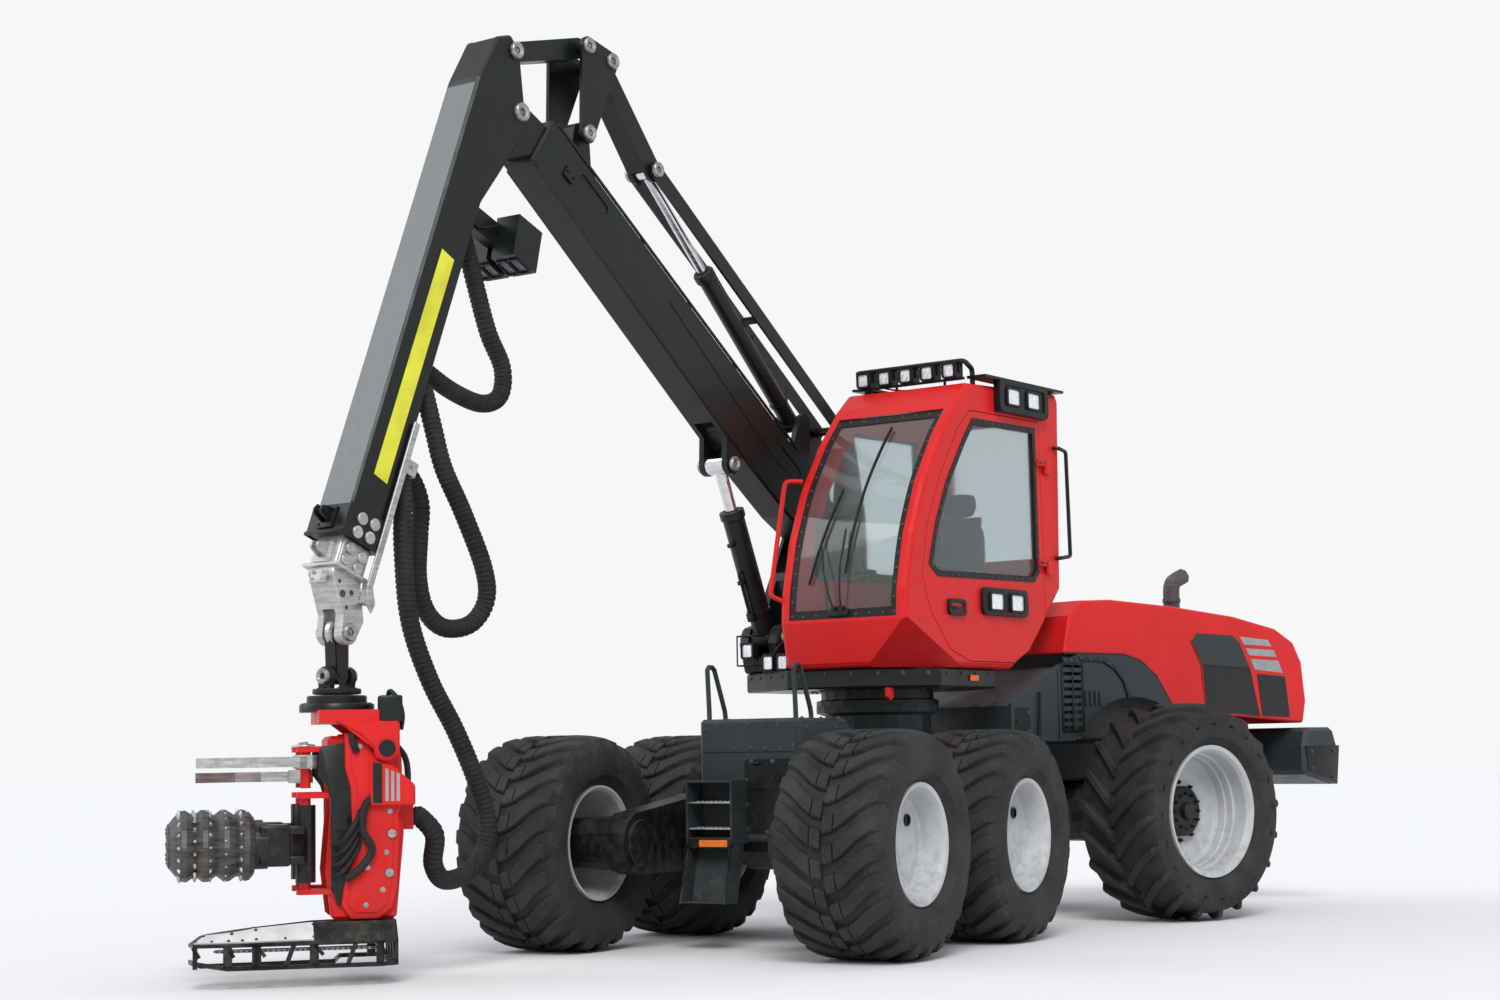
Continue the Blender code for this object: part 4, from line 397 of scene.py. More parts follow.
def addPlate(work, plane, outline, low, high, bevel=0.0, segments=2):
    across, up, through = (Vector(v) for v in planeAxes[plane])
    verts = [work.verts.new(across * a + up * b + through * low) for a, b in outline]
    face = work.faces.new(verts)
    made = bmesh.ops.extrude_face_region(work, geom=[face])
    top = [item for item in made["geom"] if isinstance(item, bmesh.types.BMVert)]
    bmesh.ops.translate(work, verts=top, vec=through * (high - low))
    everything = set(verts) | set(top)
    faces = {f for vert in everything for f in vert.link_faces}
    bmesh.ops.recalc_face_normals(work, faces=list(faces))
    if bevel:
        edges = {edge for face in faces for edge in face.edges if len(edge.link_faces) == 2
            and edge.calc_face_angle(0.0) > 0.5}
        bmesh.ops.bevel(work, geom=list(edges), offset=bevel, segments=segments, affect="EDGES",
            profile=0.5)


def addTurned(work, points, centre, axis, steps=48):
    turns = {"x": Matrix.Rotation(math.radians(90.0), 4, "Y"),
        "y": Matrix.Rotation(math.radians(-90.0), 4, "X"), "z": Matrix.Identity(4)}
    matrix = Matrix.Translation(centre) @ turns[axis]
    rings = []
    for step in range(steps):
        angle = 2 * math.pi * step / steps
        rings.append([work.verts.new(matrix @ Vector((r * math.cos(angle), r * math.sin(angle), s)))
            if r > 1e-6 or step == 0 else rings[0][i] for i, (r, s) in enumerate(points)])
    made = []
    for step in range(steps):
        here, after = rings[step], rings[(step + 1) % steps]
        closed = points[0][0] > 1e-6
        for i in range(len(points) if closed else len(points) - 1):
            j = (i + 1) % len(points)
            corners = []
            for vert in (here[i], here[j], after[j], after[i]):
                if vert not in corners:
                    corners.append(vert)
            if len(corners) > 2:
                made.append(work.faces.new(corners))
    bmesh.ops.recalc_face_normals(work, faces=made)


def addTube(work, points, radius, sides=10, cyclic=False):
    curve = bpy.data.curves.new("path", "CURVE")
    curve.dimensions = "3D"
    curve.bevel_depth = radius
    curve.bevel_resolution = max(1, sides // 4)
    curve.use_fill_caps = True
    spline = curve.splines.new("POLY")
    spline.points.add(len(points) - 1)
    for point, spot in zip(spline.points, points):
        point.co = (*spot, 1.0)
    spline.use_cyclic_u = cyclic
    holder = linked("path", curve)
    bpy.context.view_layer.update()
    mesh = bpy.data.meshes.new_from_object(holder.evaluated_get(bpy.context.evaluated_depsgraph_get()))
    bpy.data.objects.remove(holder)
    part = bmesh.new()
    part.from_mesh(mesh)
    bmesh.ops.remove_doubles(part, verts=part.verts, dist=1e-5)
    bmesh.ops.recalc_face_normals(part, faces=part.faces)
    part.to_mesh(mesh)
    part.free()
    work.from_mesh(mesh)
    bpy.data.meshes.remove(mesh)


def smoothPath(knots, count):
    knots = [Vector(knot) for knot in knots]
    padded = [knots[0] * 2 - knots[1]] + knots + [knots[-1] * 2 - knots[-2]]
    fine = []
    for index in range(1, len(padded) - 2):
        a, b, c, d = padded[index - 1:index + 3]
        for step in range(12):
            t = step / 12
            fine.append((b * 2 + (c - a) * t + (a * 2 - b * 5 + c * 4 - d) * t ** 2
                + (b * 3 - a - c * 3 + d) * t ** 3) / 2)
    fine.append(knots[-1])
    lengths = [0.0]
    for before, after in zip(fine, fine[1:]):
        lengths.append(lengths[-1] + (after - before).length)
    path, spot = [], 0
    for step in range(count + 1):
        target = lengths[-1] * step / count
        while spot < len(fine) - 2 and lengths[spot + 1] < target:
            spot += 1
        share = (target - lengths[spot]) / (lengths[spot + 1] - lengths[spot])
        path.append(fine[spot].lerp(fine[spot + 1], min(share, 1.0)))
    return path


def addHose(work, knots, count, radius, sides):
    addTube(work, smoothPath(knots, count), radius, sides)


# The sheet that each body's pieces are drawn on; a piece may say otherwise.
sheetBodies = (
    (platformSheet, ("platform", "door", "tip_link", "rotator")), (rearSheet, ("rear",)),
    (machineSheet, ("chassis",)), (headSheet, ("head", "hanger", "saw")),
)
usualSheets = {body: sheet for sheet, bodies in sheetBodies for body in bodies}
# The looks that each material slot of the part takes.
slotLooks = {
    "black_paint": ("blackPaint", "blackPlastic"),
    "glass": ("glass", "hoodGlass", "lampLens", "darkLens", "orangeLens"),
    "red_paint": ("redPaint",),
    "rim_paint": ("rimPaint", "stripeGrey", "whiteSheet"),
    "slate_paint": ("slatePaint", "stickSkyReflection", "yellowSheet"),
    "steel": ("darkSteel", "wornSteel", "bareSteel", "chrome", "exhaustGrey"),
}
usualSlots = {look: slot for slot, names in slotLooks.items() for look in names}


def finishPiece(name, work, body, look, replaced=(), slot=None, smoothAngle=35.0, sheet=None):
    mesh = bpy.data.meshes.new(name)
    bmesh.ops.remove_doubles(work, verts=work.verts, dist=1e-6)
    work.to_mesh(mesh)
    work.free()
    mesh.transform(usualSheets[body] if sheet is None else sheet)
    mesh.shade_smooth()
    mesh.set_sharp_from_angle(angle=math.radians(smoothAngle))
    mesh.materials.append(looks[look])
    made = linked(name, mesh)
    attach(made, body)
    if replaced:
        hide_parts(*replaced)
    slot = slot or usualSlots[look]
    return made


# Geometry Nodes: one shape repeated by an even step and turn

def makeRepeatTree():
    tree = bpy.data.node_groups.new("evenRepeat", "GeometryNodeTree")
    face = tree.interface
    for label, kind in (("Geometry", "Geometry"), ("Count", "Int"), ("Step", "Vector"), ("Turn", "Vector"),
            ("Material", "Material")):
        face.new_socket(label, in_out="INPUT", socket_type="NodeSocket" + kind)
    face.new_socket("Geometry", in_out="OUTPUT", socket_type="NodeSocketGeometry")
    nodes, links = tree.nodes, tree.links
    start = nodes.new("NodeGroupInput")
    end = nodes.new("NodeGroupOutput")
    points = nodes.new("GeometryNodePoints")
    index = nodes.new("GeometryNodeInputIndex")
    shift = nodes.new("ShaderNodeVectorMath")
    shift.operation = "SCALE"
    turn = nodes.new("ShaderNodeVectorMath")
    turn.operation = "SCALE"
    instance = nodes.new("GeometryNodeInstanceOnPoints")
    realize = nodes.new("GeometryNodeRealizeInstances")
    finish = nodes.new("GeometryNodeSetMaterial")
    for source, output, target, entry in ((start, "Count", points, "Count"), (start, "Step", shift, 0),
            (index, 0, shift, "Scale"), (start, "Turn", turn, 0), (index, 0, turn, "Scale"),
            (shift, "Vector", points, "Position"), (points, 0, instance, "Points"),
            (start, "Geometry", instance, "Instance"), (turn, "Vector", instance, "Rotation"),
            (instance, "Instances", realize, "Geometry"), (realize, "Geometry", finish, "Geometry"),
            (start, "Material", finish, "Material"), (finish, "Geometry", end, "Geometry")):
        links.new(source.outputs[output], target.inputs[entry])
    return tree


repeatTree = makeRepeatTree()


def repeatInto(work, unit, count, step=(0.0, 0.0, 0.0), turn=(0.0, 0.0, 0.0), place=None,
        look="blackPaint"):
    # unit is a bmesh about the origin; its repeats are carried by place and join work.
    mesh = bpy.data.meshes.new("unit")
    unit.to_mesh(mesh)
    unit.free()
    holder = linked("unit", mesh)
    modifier = holder.modifiers.new("Repeat", "NODES")
    modifier.node_group = repeatTree
    values = {"Count": count, "Step": Vector(step), "Turn": Vector(turn), "Material": looks[look]}
    for item in repeatTree.interface.items_tree:
        if item.in_out == "INPUT" and item.name in values:
            modifier[item.identifier] = values[item.name]
    bpy.context.view_layer.update()
    made = bpy.data.meshes.new_from_object(holder.evaluated_get(bpy.context.evaluated_depsgraph_get()))
    holder.modifiers.clear()
    bpy.data.objects.remove(holder)
    if place is not None:
        made.transform(place)
    made.materials.clear()
    work.from_mesh(made)
    bpy.data.meshes.remove(made)


# Hoses, built before anything else is dressed

hose = {"radius": 0.055, "ribPitch": 0.03, "ribDepth": 0.006, "sides": 18}


def craneAt(along, rise, aside=0.0):
    top = Vector((place["stickTop"][0], -craneSide, place["stickTop"][1]))
    run = (Vector((place["stickLow"][0], -craneSide, place["stickLow"][1])) - top).normalized()
    back = Vector((run.z, 0.0, -run.x))
    return top + run * along + back * rise + Vector((0.0, aside, 0.0))


def hoseRoutes():
    face = 0.1503
    straight = 0.04
    first = [craneAt(*knot) for knot in ((1.18, face + straight), (1.4, 0.39), (1.62, 0.6), (1.76, 0.79),
        (1.93, 0.83), (2.05, 0.7), (2.1, 0.45), (2.1, face + straight))]
    second = [craneAt(*knot) for knot in ((2.26, face + straight, 0.07), (2.42, 0.33, 0.07),
        (2.6, 0.48, 0.08), (2.78, 0.72, 0.09), (3.0, 0.99, 0.09), (3.15, 1.12, 0.05), (3.31, 1.1, 0.0),
        (3.4, 0.95, -0.05), (3.36, 0.79, -0.07), (3.21, 0.66, -0.07), (2.98, 0.58, -0.07),
        (2.8, 0.52, -0.07), (2.69, 0.38, -0.07), (2.68, face + straight, -0.07))]
    heading = Vector((math.cos(math.radians(place["headTurn"])), math.sin(math.radians(place["headTurn"])),
        0.0))
    across = Vector((-heading.y, heading.x, 0.0))
    end = Vector((place["tipX"], -craneSide, 0.887)) + heading * -0.4003 + across * 0.1
    drop = [craneAt(2.79, face + straight, 0.07), craneAt(2.9, face + 0.1, 0.07),
        Vector((4.05, -0.53, 2.39)), Vector((4.0, -0.53, 1.99)), Vector((3.85, -0.52, 1.65)),
        Vector((3.66, -0.5, 1.36)), Vector((3.52, -0.47, 1.07)), Vector((3.45, -0.45, 0.83)),
        Vector((3.51, -0.43, 0.64)), Vector((3.68, -0.41, 0.54)), Vector((3.91, -0.36, 0.52)),
        Vector((4.08, -0.28, 0.62)), Vector((4.14, -0.21, 0.78)), end - heading * straight]
    return [("hose_upper_loop", [craneAt(1.18, face)] + smoothPath(first, 90) + [craneAt(2.1, face)]),
        ("hose_lower_loop", [craneAt(2.26, face, 0.07)] + smoothPath(second,
        150) + [craneAt(2.68, face, -0.07)]),
        ("hose_head_drop", [craneAt(2.79, face, 0.07)] + smoothPath(drop, 150) + [end])]


def makeHose(node, path):
    # A spiral guard: each ring of the tube swells and narrows as it runs.
    points = [platformSheet @ point for point in path]
    lengths = [0.0]
    for before, after in zip(points, points[1:]):
        lengths.append(lengths[-1] + (after - before).length)
    total = lengths[-1]
    sides = hose["sides"]
    count = int(total / (hose["ribPitch"] / 4))
    work = bmesh.new()
    normal = None
    rings = []
    spot = 0
    for step in range(count + 1):
        target = total * step / count
        while spot < len(points) - 2 and lengths[spot + 1] < target:
            spot += 1
        share = min((target - lengths[spot]) / (lengths[spot + 1] - lengths[spot]), 1.0)
        centre = points[spot].lerp(points[spot + 1], share)
        before = points[max(spot - 1, 0)]
        after = points[min(spot + 2, len(points) - 1)]
        tangent = (after - before).normalized()
        if normal is None:
            normal = tangent.orthogonal().normalized()
        normal = (normal - tangent * normal.dot(tangent)).normalized()
        side = tangent.cross(normal)
        ring = []
        for k in range(sides):
            angle = 2 * math.pi * k / sides
            phase = (target / hose["ribPitch"] + k / sides) % 1.0
            radius = hose["radius"] - (hose["ribDepth"] if phase < 0.25 else 0.0)
            ring.append(work.verts.new(centre + (normal * math.cos(angle) + side * math.sin(angle))
                * radius))
        rings.append(ring)
    for before, after in zip(rings, rings[1:]):
        for k in range(sides):
            work.faces.new((before[k], before[(k + 1) % sides], after[(k + 1) % sides], after[k]))
    work.faces.new(list(reversed(rings[0])))
    work.faces.new(rings[-1])
    bmesh.ops.recalc_face_normals(work, faces=work.faces)
    name = "spiral_" + node
    made = finishPiece(name, work, "stick", "hoseRubber", (node,), "hose", 60.0, sheet=Matrix.Identity(4))


for node, path in hoseRoutes():
    makeHose(node, path)


# Wheels: a carcass with repeated lugs, and a rim with its hub and bolts

wheelKinds = {
    "front": {
        "radius": 0.6675, "width": 0.735, "rimRadius": 0.335, "dish": 0.42, "tread": 0.905, "bars": 24,
        "barWidth": 0.6, "sipes": ((0.02, 0.19), (0.215, 0.965)),
        "lag": ((0.0, 0.0), (0.2, 0.12), (0.4, 0.42), (0.6, 0.8), (0.8, 1.08), (1.0, 1.15)),
        "chamfer": 0.008,
    },
    "rear": {
        "radius": 0.757, "width": 0.69, "rimRadius": 0.438, "dish": -0.05, "tread": 0.85, "bars": 20,
        "barWidth": 0.27, "sipes": ((0.03, 0.985),),
        "lag": ((0.0, 0.0), (0.2, 0.3), (0.4, 0.58), (0.6, 0.84), (0.8, 1.05), (1.0, 1.15)),
        "chamfer": 0.01,
    },
}
outerShares = ((0.0, 1.0), (0.42, 1.0), (0.62, 0.985), (0.86, 0.94), (0.93, 0.8), (0.985, 0.66),
    (1.0, 0.52))


def lookUp(table, value):
    for (a, low), (b, high) in zip(table, table[1:]):
        if value <= b:
            return low + (high - low) * (value - a) / (b - a)
    return table[-1][1]


def carcassSection(kind):
    bead = kind["rimRadius"] + 0.0003
    wall = kind["radius"] - bead
    tread = kind["tread"]
    shares = [(0.0, -0.76), (0.06, -0.785), (0.15, -0.86), (0.24, -0.93), (0.25, -0.945), (0.42, -0.985),
        (0.56, -0.985), (0.7, -0.955), (0.74, -0.945), (0.75, -0.925), (tread * 0.93, -0.86),
        (tread * 0.975, -0.72), (tread * 0.99, -0.45), (tread, -0.2)]
    full = shares + [(out, -across) for out, across in reversed(shares)]
    return [(bead + wall * out, kind["width"] / 2 * across) for out, across in full]


def addLug(work, kind, first, last, hand):
    bead = kind["rimRadius"]
    wall = kind["radius"] - bead
    half = kind["width"] / 2
    pitch = 2 * math.pi / kind["bars"]
    steps = 3 if last - first < 0.3 else 8
    stations = []
    for step in range(steps + 1):
        across = first + (last - first) * step / steps
        lag = lookUp(kind["lag"], across) * pitch
        nearby = lookUp(kind["lag"], min(across + 0.02, 1.0)) * pitch
        slope = (nearby - lag) * kind["radius"] / (0.02 * half)
        lean = math.atan(slope)
        topRadius = bead + wall * lookUp(outerShares, across)
        fade = 1.0 if across < 0.7 else 1.0 - 0.25 * (across - 0.7) / 0.3
        stations.append((across * half, -lag, lean, topRadius, fade))
    widthHalf = kind["barWidth"] * pitch * kind["radius"] / 2
    chamfer = kind["chamfer"]
    foot = bead + wall * kind["tread"] * 0.9
    rings = []
    for y, angle, lean, topRadius, fade in stations:
        w = widthHalf * fade * (1.0 if kind["barWidth"] > 0.4 else 1.0 / max(math.cos(lean), 0.6) * 0.8)
        low = min(foot, topRadius - 0.05)
        row = []
        for offset, radius in ((-w - 0.012, low), (-w, topRadius - chamfer), (-w + chamfer, topRadius),
                (w - chamfer, topRadius), (w, topRadius - chamfer), (w + 0.012, low)):
            turnBy = angle + offset / kind["radius"]
            row.append(work.verts.new((radius * math.sin(turnBy), hand * y, radius * math.cos(turnBy))))
        rings.append(row)
    faces = []
    for before, after in zip(rings, rings[1:]):
        for k in range(6):
            faces.append(work.faces.new((before[k], before[(k + 1) % 6], after[(k + 1) % 6], after[k])))
    faces.append(work.faces.new(rings[0]))
    faces.append(work.faces.new(rings[-1]))
    bmesh.ops.recalc_face_normals(work, faces=faces)


def makeWheel(name, kindName, sheet, side):
    kind = wheelKinds[kindName]
    turnEach = 2 * math.pi / kind["bars"]
    work = bmesh.new()
    addTurned(work, carcassSection(kind), (0, 0, 0), "y", 120)
    for hand in (1, -1):
        unit = bmesh.new()
        for first, last in kind["sipes"]:
            addLug(unit, kind, first, last, hand)
        bmesh.ops.transform(unit, verts=unit.verts,
            matrix=Matrix.Rotation(turnEach * (0.25 if hand > 0 else -0.25), 4, "Y"))
        repeatInto(work, unit, kind["bars"], turn=(0.0, turnEach, 0.0), look="tyreRubber")
    body = name + "_wheel"
    finishPiece("lugged_" + name, work, body, "tyreRubber", (name + "_tyre",), "rubber", 28.0, sheet=sheet)
    rim = bmesh.new()
    r = kind["rimRadius"]
    half = kind["width"] / 2
    seat = half * 0.76
    skin = 0.016
    lip = seat + skin
    disc = half * kind["dish"]
    hub = 0.175 if kindName == "rear" else 0.0
    steps = [(r + 0.02, lip + skin), (r + 0.023, lip + skin * 0.6), (r + 0.022, seat + 0.004),
        (r + 0.004, seat + 0.002), (r - 0.0002, seat - 0.02), (r - 0.0002, -seat + 0.02),
        (r + 0.004, -seat - 0.002), (r + 0.022, -seat - 0.004), (r + 0.02, -lip - skin),
        (r + 0.006, -lip - skin), (r - 0.012, -lip + 0.004), (r - 0.026, -seat * 0.8),
        (r - 0.052, disc - skin), (0.0, disc - skin)]
    if kindName == "rear":
        face = [(0.0, disc), (r * 0.52, disc), (r * 0.6, disc + 0.012), (r - 0.075, disc + 0.02),
            (r - 0.055, disc + 0.05), (r - 0.055, disc + 0.11), (r - 0.045, disc + 0.118),
            (r - 0.045, disc + 0.17), (r - 0.028, disc + 0.178), (r - 0.026, lip - 0.02),
            (r - 0.01, lip + 0.006), (r + 0.01, lip + skin)]
    else:
        face = [(0.0, disc), (r * 0.7, disc), (r - 0.07, disc + 0.004), (r - 0.052, disc + 0.018),
            (r - 0.03, lip - 0.045), (r - 0.022, lip - 0.012), (r - 0.006, lip + 0.01),
            (r + 0.01, lip + skin)]
    addTurned(rim, face + steps, (0, 0, 0), "y", 72)
    if side < 0:
        bmesh.ops.transform(rim, verts=rim.verts, matrix=Matrix.Rotation(math.pi, 4, "Z"))
    finishPiece("dished_" + name, rim, body, "rimPaint", (name + "_rim",), "rim_paint", 30.0, sheet=sheet)
    centre = bmesh.new()
    if kindName == "rear":
        addTurned(centre, [(0.0, disc + 0.115), (0.05, disc + 0.115), (0.058, disc + 0.108),
            (0.062, disc + 0.075), (0.15, disc + 0.068), (hub, disc + 0.052), (hub, disc - 0.002),
            (0.0, disc - 0.002)], (0, 0, 0), "y", 48)
        for ring, count, size, height in ((0.125, 12, 0.012, 0.085), (0.205, 10, 0.015, 0.022)):
            nut = bmesh.new()
            addRod(nut, (0.0, disc + height - 0.024, ring), (0.0, disc + height, ring), size, sides=6)
            addRod(nut, (0.0, disc + height - 0.002, ring), (0.0, disc + height + 0.012, ring), size * 0.55,
                sides=10)
            repeatInto(centre, nut, count, turn=(0.0, 2 * math.pi / count, 0.0), look="darkSteel")
    else:
        addTurned(centre, [(0.036, disc - 0.002), (0.036, disc + 0.012), (0.027, disc + 0.014),
            (0.025, disc + 0.001), (0.0, disc + 0.001), (0.0, disc - 0.002)],
            (-0.115 if name.endswith("left") else 0.115, 0, 0.135), "y", 28)
    if side < 0:
        bmesh.ops.transform(centre, verts=centre.verts, matrix=Matrix.Rotation(math.pi, 4, "Z"))
    finishPiece("hub_" + name, centre, body, "blackPaint", sheet=sheet)


for name, kindName, sheet, x, y, z, side in (("bogie_front_left", "front", machineSheet, 0.768, 1.1, 0.6675,
        1), ("bogie_front_right", "front", machineSheet, 0.768, -1.1, 0.6675, -1),
        ("bogie_rear_left", "front", machineSheet, -0.768, 1.1, 0.6675, 1),
        ("bogie_rear_right", "front", machineSheet, -0.768, -1.1, 0.6675, -1),
        ("rear_left", "rear", rearSheet, -1.72, 1.085, 0.757, 1),
        ("rear_right", "rear", rearSheet, -1.72, -1.085, 0.757, -1)):
    makeWheel(name, kindName, sheet @ Matrix.Translation((x, y, z)), side)
print("wheels ready")


# Trim helpers: frames, outlines, lamps and fasteners

def joinInto(work, part, matrix):
    mesh = bpy.data.meshes.new("part")
    part.to_mesh(mesh)
    part.free()
    mesh.transform(matrix)
    work.from_mesh(mesh)
    bpy.data.meshes.remove(mesh)


def addRing(work, plane, outer, inner, low, high):
    across, up, through = (Vector(v) for v in planeAxes[plane])
    loops = []
    for line, level in ((outer, low), (inner, low), (inner, high), (outer, high)):
        loops.append([work.verts.new(across * a + up * b + through * level) for a, b in line])
    made = []
    for first, last in zip(loops, loops[1:] + loops[:1]):
        for k in range(len(outer)):
            j = (k + 1) % len(outer)
            made.append(work.faces.new((first[k], first[j], last[j], last[k])))
    bmesh.ops.recalc_face_normals(work, faces=made)


def insetLine(points, amount):
    area = sum(a[0] * b[1] - b[0] * a[1] for a, b in zip(points, points[1:] + points[:1]))
    turn = 1.0 if area > 0.0 else -1.0
    moved = []
    for before, here, after in zip(points[-1:] + points[:-1], points, points[1:] + points[:1]):
        first = (Vector(here) - Vector(before)).normalized()
        second = (Vector(after) - Vector(here)).normalized()
        lead = Vector((-first.y, first.x)) * turn
        tail = Vector((-second.y, second.x)) * turn
        half = (lead + tail).normalized()
        moved.append(tuple(Vector(here) + half * (amount / max(half.dot(lead), 0.4))))
    return moved


def roundedOutline(centre, wide, high, corner, steps=4):
    points = []
    for toRight, toTop, start in ((1, 1, 0.0), (-1, 1, 90.0), (-1, -1, 180.0), (1, -1, 270.0)):
        for step in range(steps + 1):
            angle = math.radians(start + 90.0 * step / steps)
            points.append((centre[0] + toRight * (wide / 2 - corner) + corner * math.cos(angle),
                centre[1] + toTop * (high / 2 - corner) + corner * math.sin(angle)))
    return points


def evenSpots(points, pitch, closed=True):
    # Spots at an even pitch along a line of two-dimensional points.
    line = [Vector(point) for point in points]
    if closed:
        line.append(line[0])
    total = sum((b - a).length for a, b in zip(line, line[1:]))
    count = max(int(round(total / pitch)), 1)
    spots = []
    for index in range(count if closed else count + 1):
        target = total * index / count
        for a, b in zip(line, line[1:]):
            length = (b - a).length
            if target <= length + 1e-9:
                spots.append(tuple(a.lerp(b, target / length)))
                break
            target -= length
    return spots


def stripOutline(points, wide):
    # The outline of a strip of even width that follows a line.
    line = [Vector(point) for point in points]
    left, right = [], []
    for index, here in enumerate(line):
        before = line[max(index - 1, 0)]
        after = line[min(index + 1, len(line) - 1)]
        run = (after - before).normalized()
        side = Vector((-run.y, run.x)) * (wide / 2)
        left.append(tuple(here + side))
        right.append(tuple(here - side))
    return left + right[::-1]


def makeSpotTree():
    tree = bpy.data.node_groups.new("onSpots", "GeometryNodeTree")
    face = tree.interface
    for label, kind in (("Geometry", "Geometry"), ("Fastener", "Object"), ("Size", "Float"),
            ("Material", "Material")):
        face.new_socket(label, in_out="INPUT", socket_type="NodeSocket" + kind)
    face.new_socket("Geometry", in_out="OUTPUT", socket_type="NodeSocketGeometry")
    nodes, links = tree.nodes, tree.links
    start = nodes.new("NodeGroupInput")
    end = nodes.new("NodeGroupOutput")
    unit = nodes.new("GeometryNodeObjectInfo")
    facing = nodes.new("GeometryNodeInputNamedAttribute")
    facing.data_type = "FLOAT_VECTOR"
    facing.inputs["Name"].default_value = "facing"
    align = nodes.new("FunctionNodeAlignRotationToVector")
    align.axis = "Z"
    instance = nodes.new("GeometryNodeInstanceOnPoints")
    realize = nodes.new("GeometryNodeRealizeInstances")
    finish = nodes.new("GeometryNodeSetMaterial")
    for source, output, target, entry in ((start, "Fastener", unit, "Object"),
            (facing, "Attribute", align, "Vector"), (start, "Geometry", instance, "Points"),
            (unit, "Geometry", instance, "Instance"), (align, "Rotation", instance, "Rotation"),
            (start, "Size", instance, "Scale"), (instance, "Instances", realize, "Geometry"),
            (realize, "Geometry", finish, "Geometry"), (start, "Material", finish, "Material"),
            (finish, "Geometry", end, "Geometry")):
        links.new(source.outputs[output], target.inputs[entry])
    return tree


spotTree = makeSpotTree()
fasteners = {
    "bolt": [((0.0, -0.4), (1.5, -0.4), (1.5, 0.12), (1.42, 0.2), (0.0, 0.2)), 16, 0.85],
    "rivet": [((0.0, -0.4), (1.0, -0.4), (1.0, 0.1), (0.78, 0.38), (0.4, 0.52), (0.0, 0.56)), 12, 0.0],
    "socket": [((0.0, -0.4), (1.0, -0.4), (1.0, 0.72), (0.86, 0.88), (0.52, 0.88), (0.46, 0.4),
    (0.0, 0.36)), 14, 0.0],
    "spike": [((0.0, -0.3), (1.0, -0.3), (0.92, 0.1), (0.42, 1.5), (0.0, 1.75)), 6, 0.0],
    "pad": [((0.0, -0.2), (0.94, -0.2), (1.0, -0.1), (1.0, 0.34), (0.93, 0.42), (0.5, 0.44), (0.46, 0.41),
    (0.0, 0.41)), 28, 0.0],
}


def addFasteners(work, kind, spots, size, look="darkSteel"):
    # spots are places and the way that each fastener's head faces.
    section, sides, head = fasteners[kind]
    unit = bmesh.new()
    addTurned(unit, section, (0.0, 0.0, 0.0), "z", sides)
    if head:
        addRod(unit, (0.0, 0.0, 0.1), (0.0, 0.0, head), 1.0, 0.94, sides=6)
    unitMesh = bpy.data.meshes.new("fastener")
    unit.to_mesh(unitMesh)
    unit.free()
    unitObject = bpy.data.objects.new("fastener", unitMesh)
    mesh = bpy.data.meshes.new("spots")
    mesh.from_pydata([tuple(spot) for spot, way in spots], [], [])
    facing = mesh.attributes.new("facing", "FLOAT_VECTOR", "POINT")
    for entry, (spot, way) in zip(facing.data, spots):
        entry.vector = Vector(way).normalized()
    holder = bpy.data.objects.new("spots", mesh)
    for item in (unitObject, holder):
        bpy.context.scene.collection.objects.link(item)
    modifier = holder.modifiers.new("OnSpots", "NODES")
    modifier.node_group = spotTree
    values = {"Fastener": unitObject, "Size": size, "Material": looks[look]}
    for item in spotTree.interface.items_tree:
        if item.in_out == "INPUT" and item.name in values:
            modifier[item.identifier] = values[item.name]
    bpy.context.view_layer.update()
    made = bpy.data.meshes.new_from_object(holder.evaluated_get(bpy.context.evaluated_depsgraph_get()))
    holder.modifiers.clear()
    for item in (holder, unitObject):
        bpy.data.objects.remove(item)
    made.materials.clear()
    work.from_mesh(made)
    bpy.data.meshes.remove(made)


def addLamp(rims, lenses, centre, facing, wide, high, deep=0.02):
    matrix = aimAlong(centre, Vector(centre) + Vector(facing))
    corner = min(wide, high) * 0.18
    rim = bmesh.new()
    outer = roundedOutline((0, 0), wide, high, corner)
    inner = roundedOutline((0, 0), wide * 0.76, high * 0.76, corner * 0.6)
    addRing(rim, "xy", outer, inner, -0.006, deep)
    addRing(rim, "xy", insetLine(outer, 0.003), insetLine(inner, -0.003), deep - 0.002, deep + 0.003)
    joinInto(rims, rim, matrix)
    lens = bmesh.new()
    addPlate(lens, "xy", roundedOutline((0, 0), wide * 0.78, high * 0.78, corner * 0.6), -0.004, deep * 0.5,
        0.002)
    for across in (-0.18, 0.18):
        addPlate(lens, "xy", roundedOutline((wide * across, 0), wide * 0.29, high * 0.6, corner * 0.4),
            deep * 0.45, deep * 0.62, 0.001)
    joinInto(lenses, lens, matrix)


def facing(spot, side):
    # Turns a section's axis to the left (1) or the right (-1).
    return Matrix.Translation(spot) @ Matrix.Rotation(-side * math.pi / 2, 4, "X")


def sideSpots(side, out, pairs):
    return [((x, side * out, z), (0, side, 0)) for x, z in pairs]


def spanTo(side, near, far):
    # The two faces of a plate that lies on one side of a middle plane, the lower first.
    return sorted((side * near, side * far))


def circleSpots(count, radius):
    angles = [2 * math.pi * k / count for k in range(count)]
    return [(radius * math.cos(a), radius * math.sin(a)) for a in angles]


def addTurnedAt(work, points, matrix, steps=32):
    part = bmesh.new()
    addTurned(part, points, (0, 0, 0), "z", steps)
    joinInto(work, part, matrix)


# Cab: windscreen, borders, wipers, lamps, seat and controls

